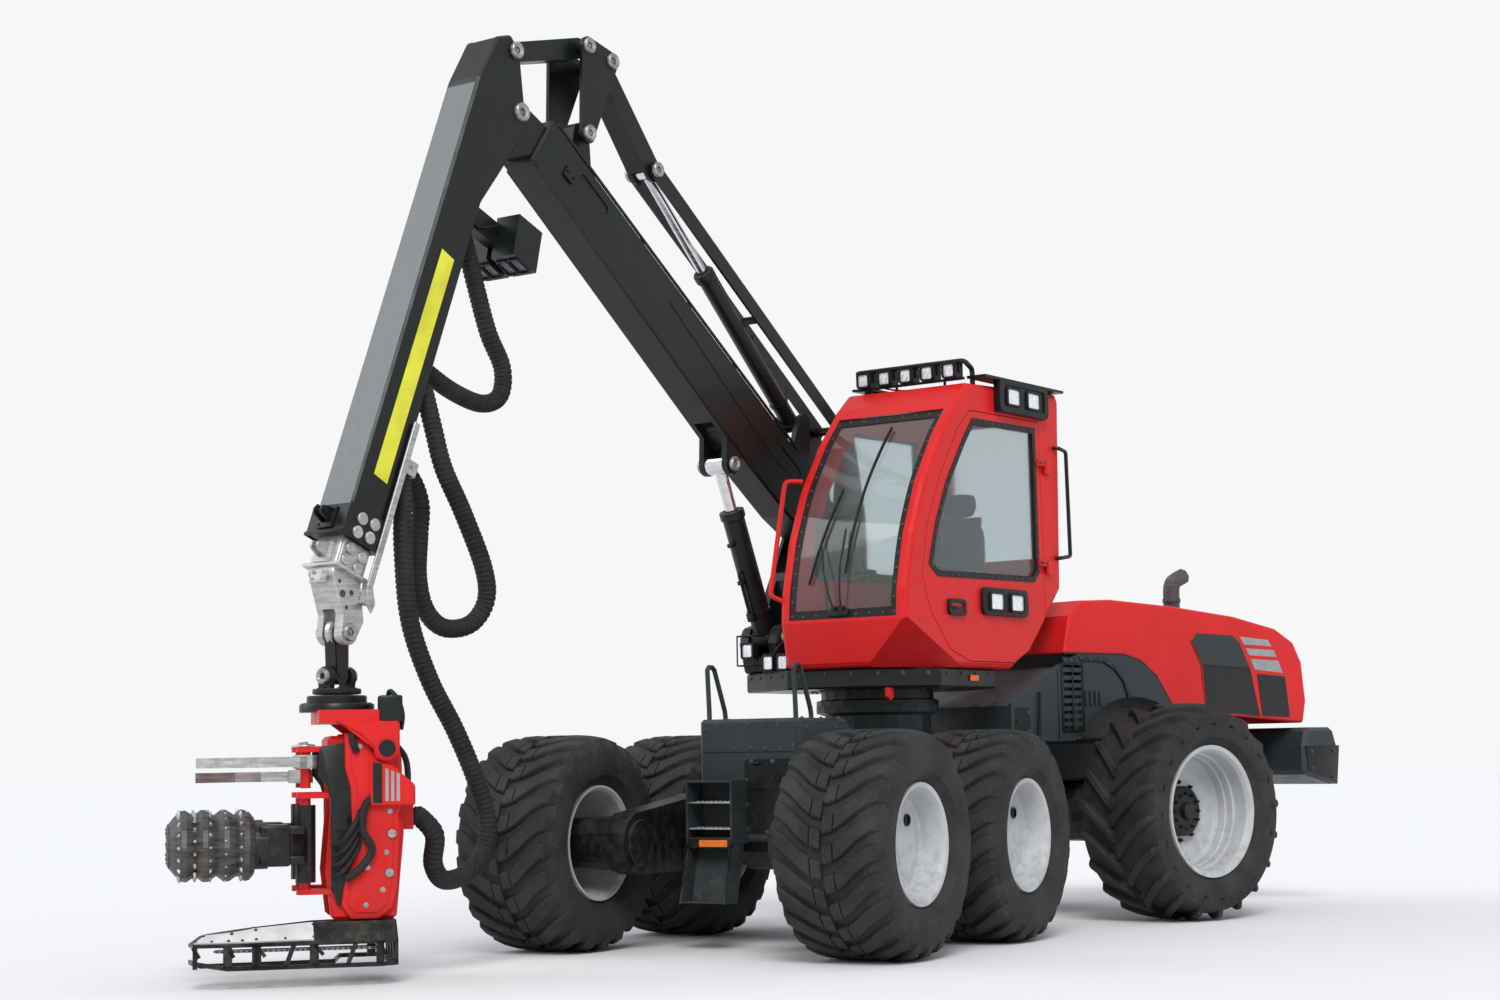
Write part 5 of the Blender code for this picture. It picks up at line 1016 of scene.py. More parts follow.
cab = {
    "left": 0.82, "right": -0.17, "screenSides": (-0.0947, 0.7447),
    "screenLine": ((0.8985, 2.07), (0.885, 2.25), (0.8, 2.6), (0.65, 2.95), (0.43, 3.28), (0.262, 3.47)),
    "windowLine": [(0.5, 2.36), (0.585, 2.42), (0.5, 2.68), (0.36, 2.96), (0.14, 3.26), (0.02, 3.4),
    (-0.78, 3.41), (-0.8, 2.44),
                   (-0.74, 2.38)],
    "doorLine": [(0.6, 2.1), (0.7, 2.35), (0.62, 2.68), (0.46, 3.0), (0.22, 3.34), (0.06, 3.475),
    (-0.86, 3.485), (-0.9, 2.12),
                 (-0.66, 1.88), (-0.46, 1.79), (0.12, 1.79), (0.36, 1.86)],
    "band": 0.042, "seatMiddle": 0.325, "floor": 1.8,
}
screenPath = [(point.x, point.z) for point in smoothPath([(x, 0.0, z) for x, z in cab["screenLine"]], 44)]


def onScreen(height, out=0.0):
    for (x0, z0), (x1, z1) in zip(screenPath, screenPath[1:]):
        if height <= z1 or (x1, z1) == screenPath[-1]:
            share = (height - z0) / (z1 - z0)
            way = Vector((z1 - z0, 0.0, x0 - x1)).normalized()
            return Vector((x0 + (x1 - x0) * share, 0.0, height)) + way * out, way


def addScreenBand(work, low, high, sideLow, sideHigh, outer, inner, steps=24):
    rows = []
    for step in range(steps + 1):
        height = low + (high - low) * step / steps
        row = []
        for side, out in ((sideLow, outer), (sideHigh, outer), (sideHigh, inner), (sideLow, inner)):
            spot = onScreen(height, out)[0]
            row.append(work.verts.new((spot.x, side, spot.z)))
        rows.append(row)
    made = []
    for before, after in zip(rows, rows[1:]):
        for k in range(4):
            made.append(work.faces.new((before[k], before[(k + 1) % 4], after[(k + 1) % 4], after[k])))
    made.append(work.faces.new(rows[0]))
    made.append(work.faces.new(rows[-1]))
    bmesh.ops.recalc_face_normals(work, faces=made)


def makeScreen():
    low, high = 2.0705, 3.4695
    right, left = cab["screenSides"]
    band = cab["band"]
    pane = bmesh.new()
    addScreenBand(pane, low, high, right, left, -0.016, -0.022, 40)
    finishPiece("windscreen_pane", pane, "platform", "glass", ("windscreen",), "glass")
    border = bmesh.new()
    for sideLow, sideHigh in ((right, right + band), (left - band, left)):
        addScreenBand(border, low, high, sideLow, sideHigh, -0.01, -0.0155, 40)
    addScreenBand(border, low, low + 0.06, right, left, -0.0095, -0.0155, 6)
    addScreenBand(border, high - 0.05, high, right, left, -0.0095, -0.0155, 6)
    finishPiece("windscreen_border", border, "platform", "blackPlastic")
    dots = bmesh.new()
    spots = []
    for index in range(15):
        height = 2.1 + 1.33 * index / 14
        for side in (right + band * 0.5, left - band * 0.5):
            spot, way = onScreen(height, -0.01)
            spots.append(((spot.x, side, spot.z), way))
    for index in range(1, 8):
        side = right + (left - right) * index / 8
        for height in (2.095, 3.447):
            spot, way = onScreen(height, -0.0095)
            spots.append(((spot.x, side, spot.z), way))
    addFasteners(dots, "rivet", spots, 0.009)
    finishPiece("windscreen_studs", dots, "platform", "darkSteel")


makeScreen()


def makeWipers():
    work = bmesh.new()
    for foot, elbow, blade in (((0.33, 2.135), (0.3, 2.66), ((0.34, 2.36), (0.4, 3.36))),
            ((0.27, 2.135), (0.12, 2.58), ((0.06, 2.3), (0.2, 2.94)))):
        spots = []
        for share in (0.0, 0.12, 0.3, 0.55, 0.8, 1.0):
            height = foot[1] + (elbow[1] - foot[1]) * share
            spot = onScreen(height, 0.012 + 0.03 * math.sin(math.pi * min(share * 1.2, 1.0)))[0]
            spots.append((spot.x, foot[0] + (elbow[0] - foot[0]) * share, spot.z))
        addTube(work, spots, 0.007, 8)
        for out, radius in ((0.01, 0.006), (-0.004, 0.0045)):
            spots = []
            for step in range(15):
                share = step / 14
                height = blade[0][1] + (blade[1][1] - blade[0][1]) * share
                spot = onScreen(height, out)[0]
                spots.append((spot.x, blade[0][0] + (blade[1][0] - blade[0][0]) * share, spot.z))
            addTube(work, spots, radius, 8)
        for share in (0.2, 0.5, 0.8):
            height = blade[0][1] + (blade[1][1] - blade[0][1]) * share
            side = blade[0][0] + (blade[1][0] - blade[0][0]) * share
            start = onScreen(height, -0.006)[0]
            end = onScreen(height, 0.012)[0]
            addRod(work, (start.x, side, start.z), (end.x, side, end.z), 0.009, sides=8)
        spot, way = onScreen(foot[1], -0.012)
        end = spot + way * 0.035
        addRod(work, (spot.x, foot[0], spot.z), (end.x, foot[0], end.z), 0.02, 0.016, sides=16)
    spot = onScreen(2.12)[0]
    addBox(work, (spot.x - 0.02, 0.22, 2.085), (spot.x + 0.014, 0.38, 2.125), 0.006)
    finishPiece("wipers", work, "platform", "blackPlastic")


makeWipers()


def makeWindowBorder(name, side, outward, body, line, pitch=0.085):
    # side is the wall's outer face; the border lies on it and laps the opening's edge.
    work = bmesh.new()
    low, high = sorted((side + outward * 0.0003, side + outward * 0.0045))
    outer = insetLine(line, -0.024)
    inner = insetLine(line, 0.016)
    addRing(work, "xz", outer, inner, low, high)
    deep = sorted((side - outward * 0.03, side + outward * 0.004))
    addRing(work, "xz", insetLine(line, 0.0005), insetLine(line, 0.012), deep[0], deep[1])
    finishPiece(name, work, body, "blackPlastic", sheet=platformSheet)
    dots = bmesh.new()
    spots = [((x, side + outward * 0.0045, z), (0, outward, 0)) for x,
        z in evenSpots(insetLine(line, -0.006), pitch)]
    addFasteners(dots, "rivet", spots, 0.008)
    finishPiece(name + "_studs", dots, body, "darkSteel", sheet=platformSheet)


makeWindowBorder("door_window_border", cab["left"], 1.0, "door", cab["windowLine"])
makeWindowBorder("right_window_border", cab["right"], -1.0, "platform", cab["windowLine"])


def makeDoorTrim():
    seal = bmesh.new()
    addRing(seal, "xz", insetLine(cab["doorLine"], 0.0004), insetLine(cab["doorLine"], 0.004),
        cab["left"] - 0.04, cab["left"] - 0.012)
    finishPiece("door_seal", seal, "platform", "blackPlastic")
    frame = bmesh.new()
    lens = bmesh.new()
    face = cab["left"] + 0.022
    outer = roundedOutline((-0.32, 2.1975), 0.6, 0.185, 0.05, 6)
    addPlate(frame, "xz", outer, cab["left"] + 0.0006, face + 0.008, 0.006)
    for x in (-0.455, -0.185):
        addLamp(frame, lens, (x, face + 0.008, 2.1975), (0, 1, 0), 0.205, 0.135, 0.012)
    handle = roundedOutline((0.2925, 2.1425), 0.215, 0.108, 0.032, 5)
    pocket = roundedOutline((0.2925, 2.1425), 0.15, 0.056, 0.016, 5)
    addRing(frame, "xz", handle, pocket, cab["left"] + 0.0006, face)
    addBox(frame, (0.235, cab["left"] + 0.0112, 2.122), (0.35, cab["left"] + 0.0185, 2.15), 0.003)
    addRod(frame, (0.375, face - 0.003, 2.1425), (0.375, face + 0.003, 2.1425), 0.009, sides=16)
    finishPiece("door_fittings", frame, "door", "blackPlastic")
    finishPiece("door_lamp_lenses", lens, "door", "lampLens")
    bolts = bmesh.new()
    spots = []
    for low in (2.42, 3.12):
        for x in (-0.885, -0.84, -0.8 - 0.02):
            spots.append(((x, cab["left"] + 0.0275, low + 0.075), (0, 1, 0)))
    addFasteners(bolts, "bolt", spots, 0.0075)
    finishPiece("door_hinge_bolts", bolts, "door", "darkSteel")


makeDoorTrim()


def makeRoofLamps():
    rims = bmesh.new()
    lenses = bmesh.new()
    for index in range(5):
        across = cab["right"] + 0.15 + (cab["left"] - cab["right"] - 0.3) * index / 4
        addLamp(rims, lenses, (0.0605, across, 3.755), (1, 0, -0.05), 0.104, 0.104, 0.022)
        for side in (-0.058, 0.058):
            addBox(rims, (-0.005, across + side - 0.003, 3.745), (0.03, across + side + 0.003, 3.825), 0.0)
        addBox(rims, (-0.05, across - 0.035, 3.705), (-0.026, across + 0.035, 3.8), 0.006)
        addRod(rims, (-0.04, across - 0.02, 3.76), (-0.09, across - 0.02, 3.715), 0.006, sides=8)
    for edge, out in ((cab["left"], 1.0), (cab["right"], -1.0)):
        face = edge + out * 0.045
        addRing(rims, "xz", roundedOutline((-0.58, 3.609), 0.66, 0.222, 0.045, 5),
            roundedOutline((-0.58, 3.609), 0.56, 0.15, 0.03, 5), min(face, face + out * 0.012),
            max(face, face + out * 0.012))
        for x in (-0.715, -0.445):
            addLamp(rims, lenses, (x, face, 3.609), (0, out, 0), 0.2, 0.132, 0.01)
    for across in (cab["right"] + 0.3, cab["left"] - 0.3):
        addTube(rims, [(-0.12, across, 3.672), (-0.12, across, 3.76), (0.02, across, 3.8)], 0.01, 8)
    addTube(rims, [(0.02, cab["right"] + 0.06, 3.7), (0.02, cab["left"] - 0.06, 3.7)], 0.01, 8)
    addHose(rims, [(-0.028, 0.0, 3.74), (-0.1, 0.1, 3.7), (-0.16, 0.3, 3.685), (-0.14, 0.62, 3.69)], 20,
        0.006, 8)
    finishPiece("roof_lamp_frames", rims, "platform", "blackPlastic")
    finishPiece("roof_lamp_lenses", lenses, "platform", "lampLens")
    roof = bmesh.new()
    addPlate(roof, "xy", roundedOutline((-0.62, 0.325), 0.66, 0.62, 0.06), 3.655, 3.712, 0.01)
    addPlate(roof, "xy", roundedOutline((-0.62, 0.325), 0.5, 0.46, 0.05), 3.7, 3.728, 0.008)
    spots = [((-0.62 + x, 0.325 + y, 3.712), (0, 0, 1)) for x,
        y in evenSpots(roundedOutline((0, 0), 0.6, 0.56, 0.05), 0.16)]
    addFasteners(roof, "rivet", spots, 0.01)
    finishPiece("roof_hatch", roof, "platform", "blackPaint")


makeRoofLamps()


def addPad(work, low, high, soft, channels=(), channelAxis=0, channelDeep=0.01, cuts=22):
    # A crowned pad with sewn channels across it.
    part = bmesh.new()
    bmesh.ops.create_cube(part, size=2.0)
    bmesh.ops.subdivide_edges(part, edges=part.edges, cuts=cuts, use_grid_fill=True)
    size = (Vector(high) - Vector(low)) / 2
    middle = (Vector(high) + Vector(low)) / 2
    for vert in part.verts:
        u, v, w = vert.co
        spot = Vector((u * math.sqrt(max(1 - soft * (v * v + w * w) / 2 + soft * soft * v * v * w * w / 3,
            0.0)), v * math.sqrt(max(1 - soft * (u * u + w * w) / 2 + soft * soft * u * u * w * w / 3,
            0.0)), w * math.sqrt(max(1 - soft * (u * u + v * v) / 2 + soft * soft * u * u * v * v / 3,
            0.0))))
        dent = sum(math.exp(-((vert.co[channelAxis] - channel) / 0.045) ** 2) for channel in channels)
        edge = math.exp(-((abs(w) - 0.55) / 0.05) ** 2) * 0.35
        spot = Vector(spot[k] * size[k] for k in range(3))
        spot -= spot.normalized() * channelDeep * min(dent + edge, 1.0)
        vert.co = middle + spot
    bmesh.ops.recalc_face_normals(part, faces=part.faces)
    joinInto(work, part, Matrix.Identity(4))


def makeSeat():
    middle, floor = cab["seatMiddle"], cab["floor"]
    frame = bmesh.new()
    addPlate(frame, "xz", [(-0.34, floor), (0.04, floor), (0.0, floor + 0.12), (0.03, floor + 0.29),
        (-0.36, floor + 0.29), (-0.3, floor + 0.12)], middle - 0.17, middle + 0.17, 0.02)
    addPlate(frame, "xz", [(-0.43, floor + 0.32), (-0.4, floor + 0.32), (-0.56, floor + 1.02),
        (-0.6, floor + 1.02)], middle - 0.18, middle + 0.18, 0.01)
    for side in (-0.315, 0.315):
        addBox(frame, (-0.34, middle + side - 0.045, floor + 0.56),
            (0.16, middle + side + 0.045, floor + 0.62), 0.02, 3)
        addBox(frame, (-0.3, middle + side - 0.02, floor + 0.2),
            (-0.24, middle + side + 0.02, floor + 0.58), 0.008)
        addBox(frame, (0.06, middle + side - 0.05, floor + 0.6),
            (0.22, middle + side + 0.05, floor + 0.645), 0.015, 3)
        addTube(frame, [(0.15, middle + side, floor + 0.63), (0.155, middle + side, floor + 0.7),
            (0.17, middle + side * 0.97, floor + 0.78)], 0.014, 10)
        knob = bmesh.new()
        addTurned(knob, [(0.0, -0.05), (0.018, -0.05), (0.026, -0.02), (0.03, 0.02), (0.024, 0.05),
            (0.0, 0.06)], (0, 0, 0), "z", 20)
        joinInto(frame, knob, Matrix.Translation((0.172, middle + side * 0.97, floor + 0.8)))
    addBox(frame, (0.5, middle - 0.45, floor + 0.78), (0.53, middle - 0.17, floor + 0.98), 0.008)
    addTube(frame, [(0.5, middle - 0.31, floor + 0.86), (0.46, middle - 0.34, floor + 0.8),
        (0.44, middle - 0.42, floor + 0.6), (0.44, middle - 0.43, floor + 0.02)], 0.014, 10)
    addPlate(frame, "xz", [(0.46, floor), (0.62, floor), (0.6, floor + 0.07), (0.52, floor + 0.12)],
        middle - 0.12, middle + 0.12, 0.008)
    finishPiece("seat_frame", frame, "platform", "blackPlastic", ("seat",), "black_paint")
    for name, low, high, channels, axis in (("seat_cushion", (-0.4, middle - 0.255, floor + 0.285),
            (0.135, middle + 0.255, floor + 0.42), (-0.4, 0.05, 0.5), 0),
            ("seat_back", (-0.07, -0.245, 0.02), (0.065, 0.245, 0.62), (-0.45, 0.0, 0.45), 2),
            ("head_rest", (-0.05, -0.13, 0.66), (0.055, 0.13, 0.83), (), 2)):
        work = bmesh.new()
        addPad(work, low, high, 0.62, channels, axis)
        sheet = platformSheet
        if name != "seat_cushion":
            lean = Matrix.Translation((-0.42, middle, floor + 0.38)) @ Matrix.Rotation(math.radians(-13.0),
                4, "Y")
            sheet = platformSheet @ lean
        made = finishPiece(name, work, "platform", "seatCloth", (), "cloth", 60.0, sheet=sheet)


makeSeat()
print("cab dressed")


# Platform: lamps, reflector, bolts (also at the crane's foot) and a lashing eye

def makePlatformTrim():
    rims = bmesh.new()
    lenses = bmesh.new()
    for across in (-0.437, -0.317):
        addLamp(rims, lenses, (0.6605, across, 1.812), (1, 0, 0), 0.098, 0.112, 0.016)
    addBox(rims, (0.585, -0.672, 1.845), (0.645, -0.568, 1.955), 0.01)
    addLamp(rims, lenses, (0.6455, -0.62, 1.9), (1, 0, 0), 0.104, 0.11, 0.016)
    for side in (-0.685, -0.555):
        addTube(rims, [(0.55, side, 1.8), (0.68, side, 1.8), (0.68, side, 2.0), (0.55, side, 2.0)], 0.006,
            8)
    for z in (1.8, 2.0):
        addTube(rims, [(0.68, -0.685, z), (0.68, -0.555, z)], 0.006, 8)
    addHose(rims, [(0.6, -0.44, 1.77), (0.62, -0.4, 1.9), (0.55, -0.3, 1.99), (0.5, -0.24, 1.9)], 18, 0.01,
        8)
    addHose(rims, [(0.585, -0.62, 1.86), (0.57, -0.53, 1.8), (0.56, -0.46, 1.77)], 12, 0.007, 8)
    finishPiece("platform_lamp_frames", rims, "platform", "blackPlastic")
    finishPiece("platform_lamp_lenses", lenses, "platform", "lampLens")
    orange = bmesh.new()
    addPlate(orange, "xz", roundedOutline((-0.03, 1.685), 0.105, 0.04, 0.008), 0.752, 0.762, 0.002)
    finishPiece("platform_reflector", orange, "platform", "orangeLens")
    bolts = bmesh.new()
    outline = [(0.62, -0.5), (0.45, -0.78), (-0.3, -0.78), (-0.71, -0.32), (-0.71, 0.3), (-0.34, 0.74),
        (0.4, 0.76), (0.78, 0.42), (0.78, -0.2)]
    spots = []
    for (x0, y0), (x1, y1) in zip(outline, outline[1:] + outline[:1]):
        way = Vector((y1 - y0, x0 - x1, 0.0)).normalized()
        way = way if way.dot(Vector(((x0 + x1) / 2, (y0 + y1) / 2, 0.0))) > 0 else -way
        count = max(int(math.hypot(x1 - x0, y1 - y0) / 0.16), 1)
        for index in range(count):
            share = (index + 0.5) / count
            spots.append(((x0 + (x1 - x0) * share, y0 + (y1 - y0) * share, 1.715), way))
    addFasteners(bolts, "bolt", spots, 0.01)
    ring = [((x, y, 1.6202), (0, 0, -1)) for x, y in circleSpots(28, 0.445)]
    addFasteners(bolts, "bolt", ring, 0.011)
    foot = [((x, -craneSide + side, 1.7503), (0, 0, 1)) for x in (-0.27, -0.05, 0.17) for side in (-0.182,
        0.182)]
    addFasteners(bolts, "bolt", foot, 0.012)
    finishPiece("platform_bolts", bolts, "platform", "darkSteel")
    eye = bmesh.new()
    addPlate(eye, "xz", [(0.6, 1.62), (0.6, 1.56), (0.635, 1.53), (0.67, 1.56), (0.67, 1.62)], 0.5, 0.525,
        0.004)
    addTurnedAt(eye, [(0.009, -0.016), (0.02, -0.016), (0.02, 0.016), (0.009, 0.016)],
        Matrix.Translation((0.635, 0.5125, 1.562)) @ Matrix.Rotation(math.pi / 2, 4, "X"), 20)
    finishPiece("lashing_eye", eye, "platform", "redPaint")


makePlatformTrim()


# Rear: hood panels, stripes, cowl doors, exhaust and bumper

hood = {
    "side": 0.7,
    "upper": [(-2.448, 2.045), (-2.867, 2.037), (-2.947, 1.985), (-3.064, 1.797), (-2.502, 1.813),
    (-2.388, 1.99)],
    "lower": [(-3.073, 1.784), (-3.178, 1.428), (-2.545, 1.478), (-2.507, 1.8)],
    "rearPanel": [(-3.156, 1.752), (-3.498, 1.737), (-3.545, 1.425), (-3.205, 1.432)],
    "stripes": [[(-2.953, 2.031), (-3.3, 2.012), (-3.345, 1.962), (-3.005, 1.97)],
    [(-3.02, 1.944), (-3.372, 1.935), (-3.404, 1.882), (-3.067, 1.889)],
                [(-3.08, 1.865), (-3.42, 1.856), (-3.474, 1.761), (-3.127, 1.783)]],
    "strap": [(-1.14, 1.838), (-1.383, 1.832), (-1.513, 1.775), (-1.603, 1.69), (-1.645, 1.6),
    (-1.66, 1.56)],
}


def makeHoodPanels():
    side = hood["side"]
    for name, outlines, look, slot, high in (("hood_window_upper", [hood["upper"]], "slatePaint",
            "slate_paint", 0.006), ("hood_window_lower", [hood["lower"]], "hoodGlass", "glass", 0.0045),
            ("hood_rear_panels", [hood["rearPanel"]], "hoodGlass", "black_paint", 0.005),
            ("hood_stripes", hood["stripes"], "stripeGrey", "rim_paint", 0.003)):
        work = bmesh.new()
        for hand in (1, -1):
            for outline in outlines:
                low, top = spanTo(hand, side - 0.004, side + high)
                addPlate(work, "xz", insetLine(outline, 0.0005), low, top, 0.0015, 1)
        finishPiece(name, work, "rear", look, (), slot)
    seam = bmesh.new()
    for hand in (1, -1):
        for line in ([(-2.5, 1.806), (-3.07, 1.79)], [(-2.37, 1.99), (-2.485, 1.81), (-2.53, 1.478)]):
            low, top = spanTo(hand, side - 0.004, side + 0.0015)
            addPlate(seam, "xz", stripOutline(line, 0.012), low, top)
        addPlate(seam, "xz", stripOutline([(-0.975, 1.8735), (-1.62, 1.8735), (-1.8, 1.833),
            (-1.975, 1.723), (-2.135, 1.523)], 0.01), *spanTo(hand, side - 0.02, side + 0.0012))
    for index in range(11):
        z = 1.5 + 0.034 * index
        x = -3.765 + (z - 1.55) * 0.135
        addPlate(seam, "xz", [(x - 0.012, z), (x + 0.02, z + 0.012), (x + 0.02, z + 0.02),
            (x - 0.012, z + 0.008)], -0.44, 0.44)
    for low, high in ((-0.48, -0.44), (0.44, 0.48)):
        addPlate(seam, "xz", [(-3.774, 1.47), (-3.766, 1.47), (-3.714, 1.885), (-3.722, 1.885)], low, high)
    finishPiece("hood_seams", seam, "rear", "blackPlastic")


def makeCowlTrim():
    side = hood["side"]
    straps = bmesh.new()
    bolts = bmesh.new()
    spots = []
    for hand in (1, -1):
        low, top = spanTo(hand, side - 0.004, side + 0.012)
        addPlate(straps, "xz", stripOutline(hood["strap"], 0.034), low, top, 0.003, 1)
        spots += sideSpots(hand, side + 0.012, evenSpots(hood["strap"][:5], 0.11, False))
        addPlate(straps, "xz", roundedOutline((-1.035, 1.822), 0.17, 0.045, 0.012), low, top, 0.003, 1)
        spots += [((x, hand * (side + 0.012), 1.822), (0, hand, 0)) for x in (-1.1, -1.035, -0.97)]
        frame = roundedOutline((-1.055, 1.565), 0.235, 0.49, 0.012)
        addRing(straps, "xz", frame, insetLine(frame, 0.018), *spanTo(hand, side - 0.004, side + 0.006))
        addBox(straps, (-1.061, min(hand * (side - 0.02), hand * (side + 0.004)), 1.33),
            (-1.049, max(hand * (side - 0.02), hand * (side + 0.004)), 1.8))
        addPlate(straps, "xz", stripOutline([(-0.9, 1.77), (-0.905, 1.268)], 0.01),
            *spanTo(hand, side - 0.004, side + 0.002))
        addPlate(straps, "xz", roundedOutline((-0.53, 1.395), 0.15, 0.2, 0.01),
            *spanTo(hand, side - 0.004, side + 0.005), 0.002, 1)
        addRod(straps, (-0.478, hand * (side + 0.004), 1.395), (-0.478, hand * (side + 0.013), 1.395),
            0.011, sides=18)
        spots += [((-0.59, hand * (side + 0.005), z), (0, hand, 0)) for z in (1.33, 1.46)]
        addHose(straps, [(-0.7, hand * (side + 0.016), 1.6), (-0.695, hand * (side + 0.018), 1.5),
            (-0.68, hand * (side + 0.016), 1.3)], 14, 0.011, 10)
        spots += [((x, hand * side, 1.275), (0, hand, 0)) for x in (-0.48, -0.62, -0.76, -0.98, -1.12)]
    finishPiece("cowl_straps", straps, "rear", "blackPaint")
    addFasteners(bolts, "bolt", spots, 0.0085)
    finishPiece("cowl_bolts", bolts, "rear", "darkSteel")


def makeRearTrim():
    block = bmesh.new()
    addPlate(block, "xz", [(-3.615, 1.005), (-3.985, 0.905), (-4.0235, 1.205), (-3.6, 1.205)], -0.806,
        0.806, 0.006)
    finishPiece("bumper_block", block, "rear", "blackPaint")
    pipe = bmesh.new()
    addTurned(pipe, [(0.063, 2.195), (0.105, 2.195), (0.105, 2.222), (0.08, 2.236), (0.066, 2.25)],
        (-2.66, 0.3, 0.0), "z", 40)
    addTurned(pipe, [(0.0615, 2.3), (0.068, 2.302), (0.068, 2.328), (0.0615, 2.33)], (-2.66, 0.3, 0.0), "z",
        40)
    finishPiece("exhaust_collars", pipe, "rear", "exhaustGrey")
    hitch = bmesh.new()
    addBox(hitch, (-4.045, -0.1, 0.98), (-4.012, 0.1, 1.14), 0.006)
    for low, high in ((1.085, 1.105), (1.015, 1.035)):
        addPlate(hitch, "xy", [(-4.04, -0.05), (-4.11, -0.05), (-4.14, -0.02), (-4.14, 0.02), (-4.11, 0.05),
            (-4.04, 0.05)], low, high, 0.003)
    addRod(hitch, (-4.095, 0.0, 0.995), (-4.095, 0.0, 1.13), 0.018, sides=20)
    spots = [((-4.045, y, z), (-1, 0, 0)) for y in (-0.08, 0.08) for z in (1.0, 1.12)]
    for hand in (1, -1):
        spots += sideSpots(hand, 0.806, ((-3.66, 1.16), (-3.95, 1.16), (-3.93, 0.96), (-3.67, 1.03)))
    addFasteners(hitch, "bolt", spots, 0.012)
    finishPiece("rear_hitch", hitch, "rear", "darkSteel")


makeHoodPanels()
makeCowlTrim()
makeRearTrim()
print("rear dressed")


# Front frame: nose plates, rivets, ladder and reflector

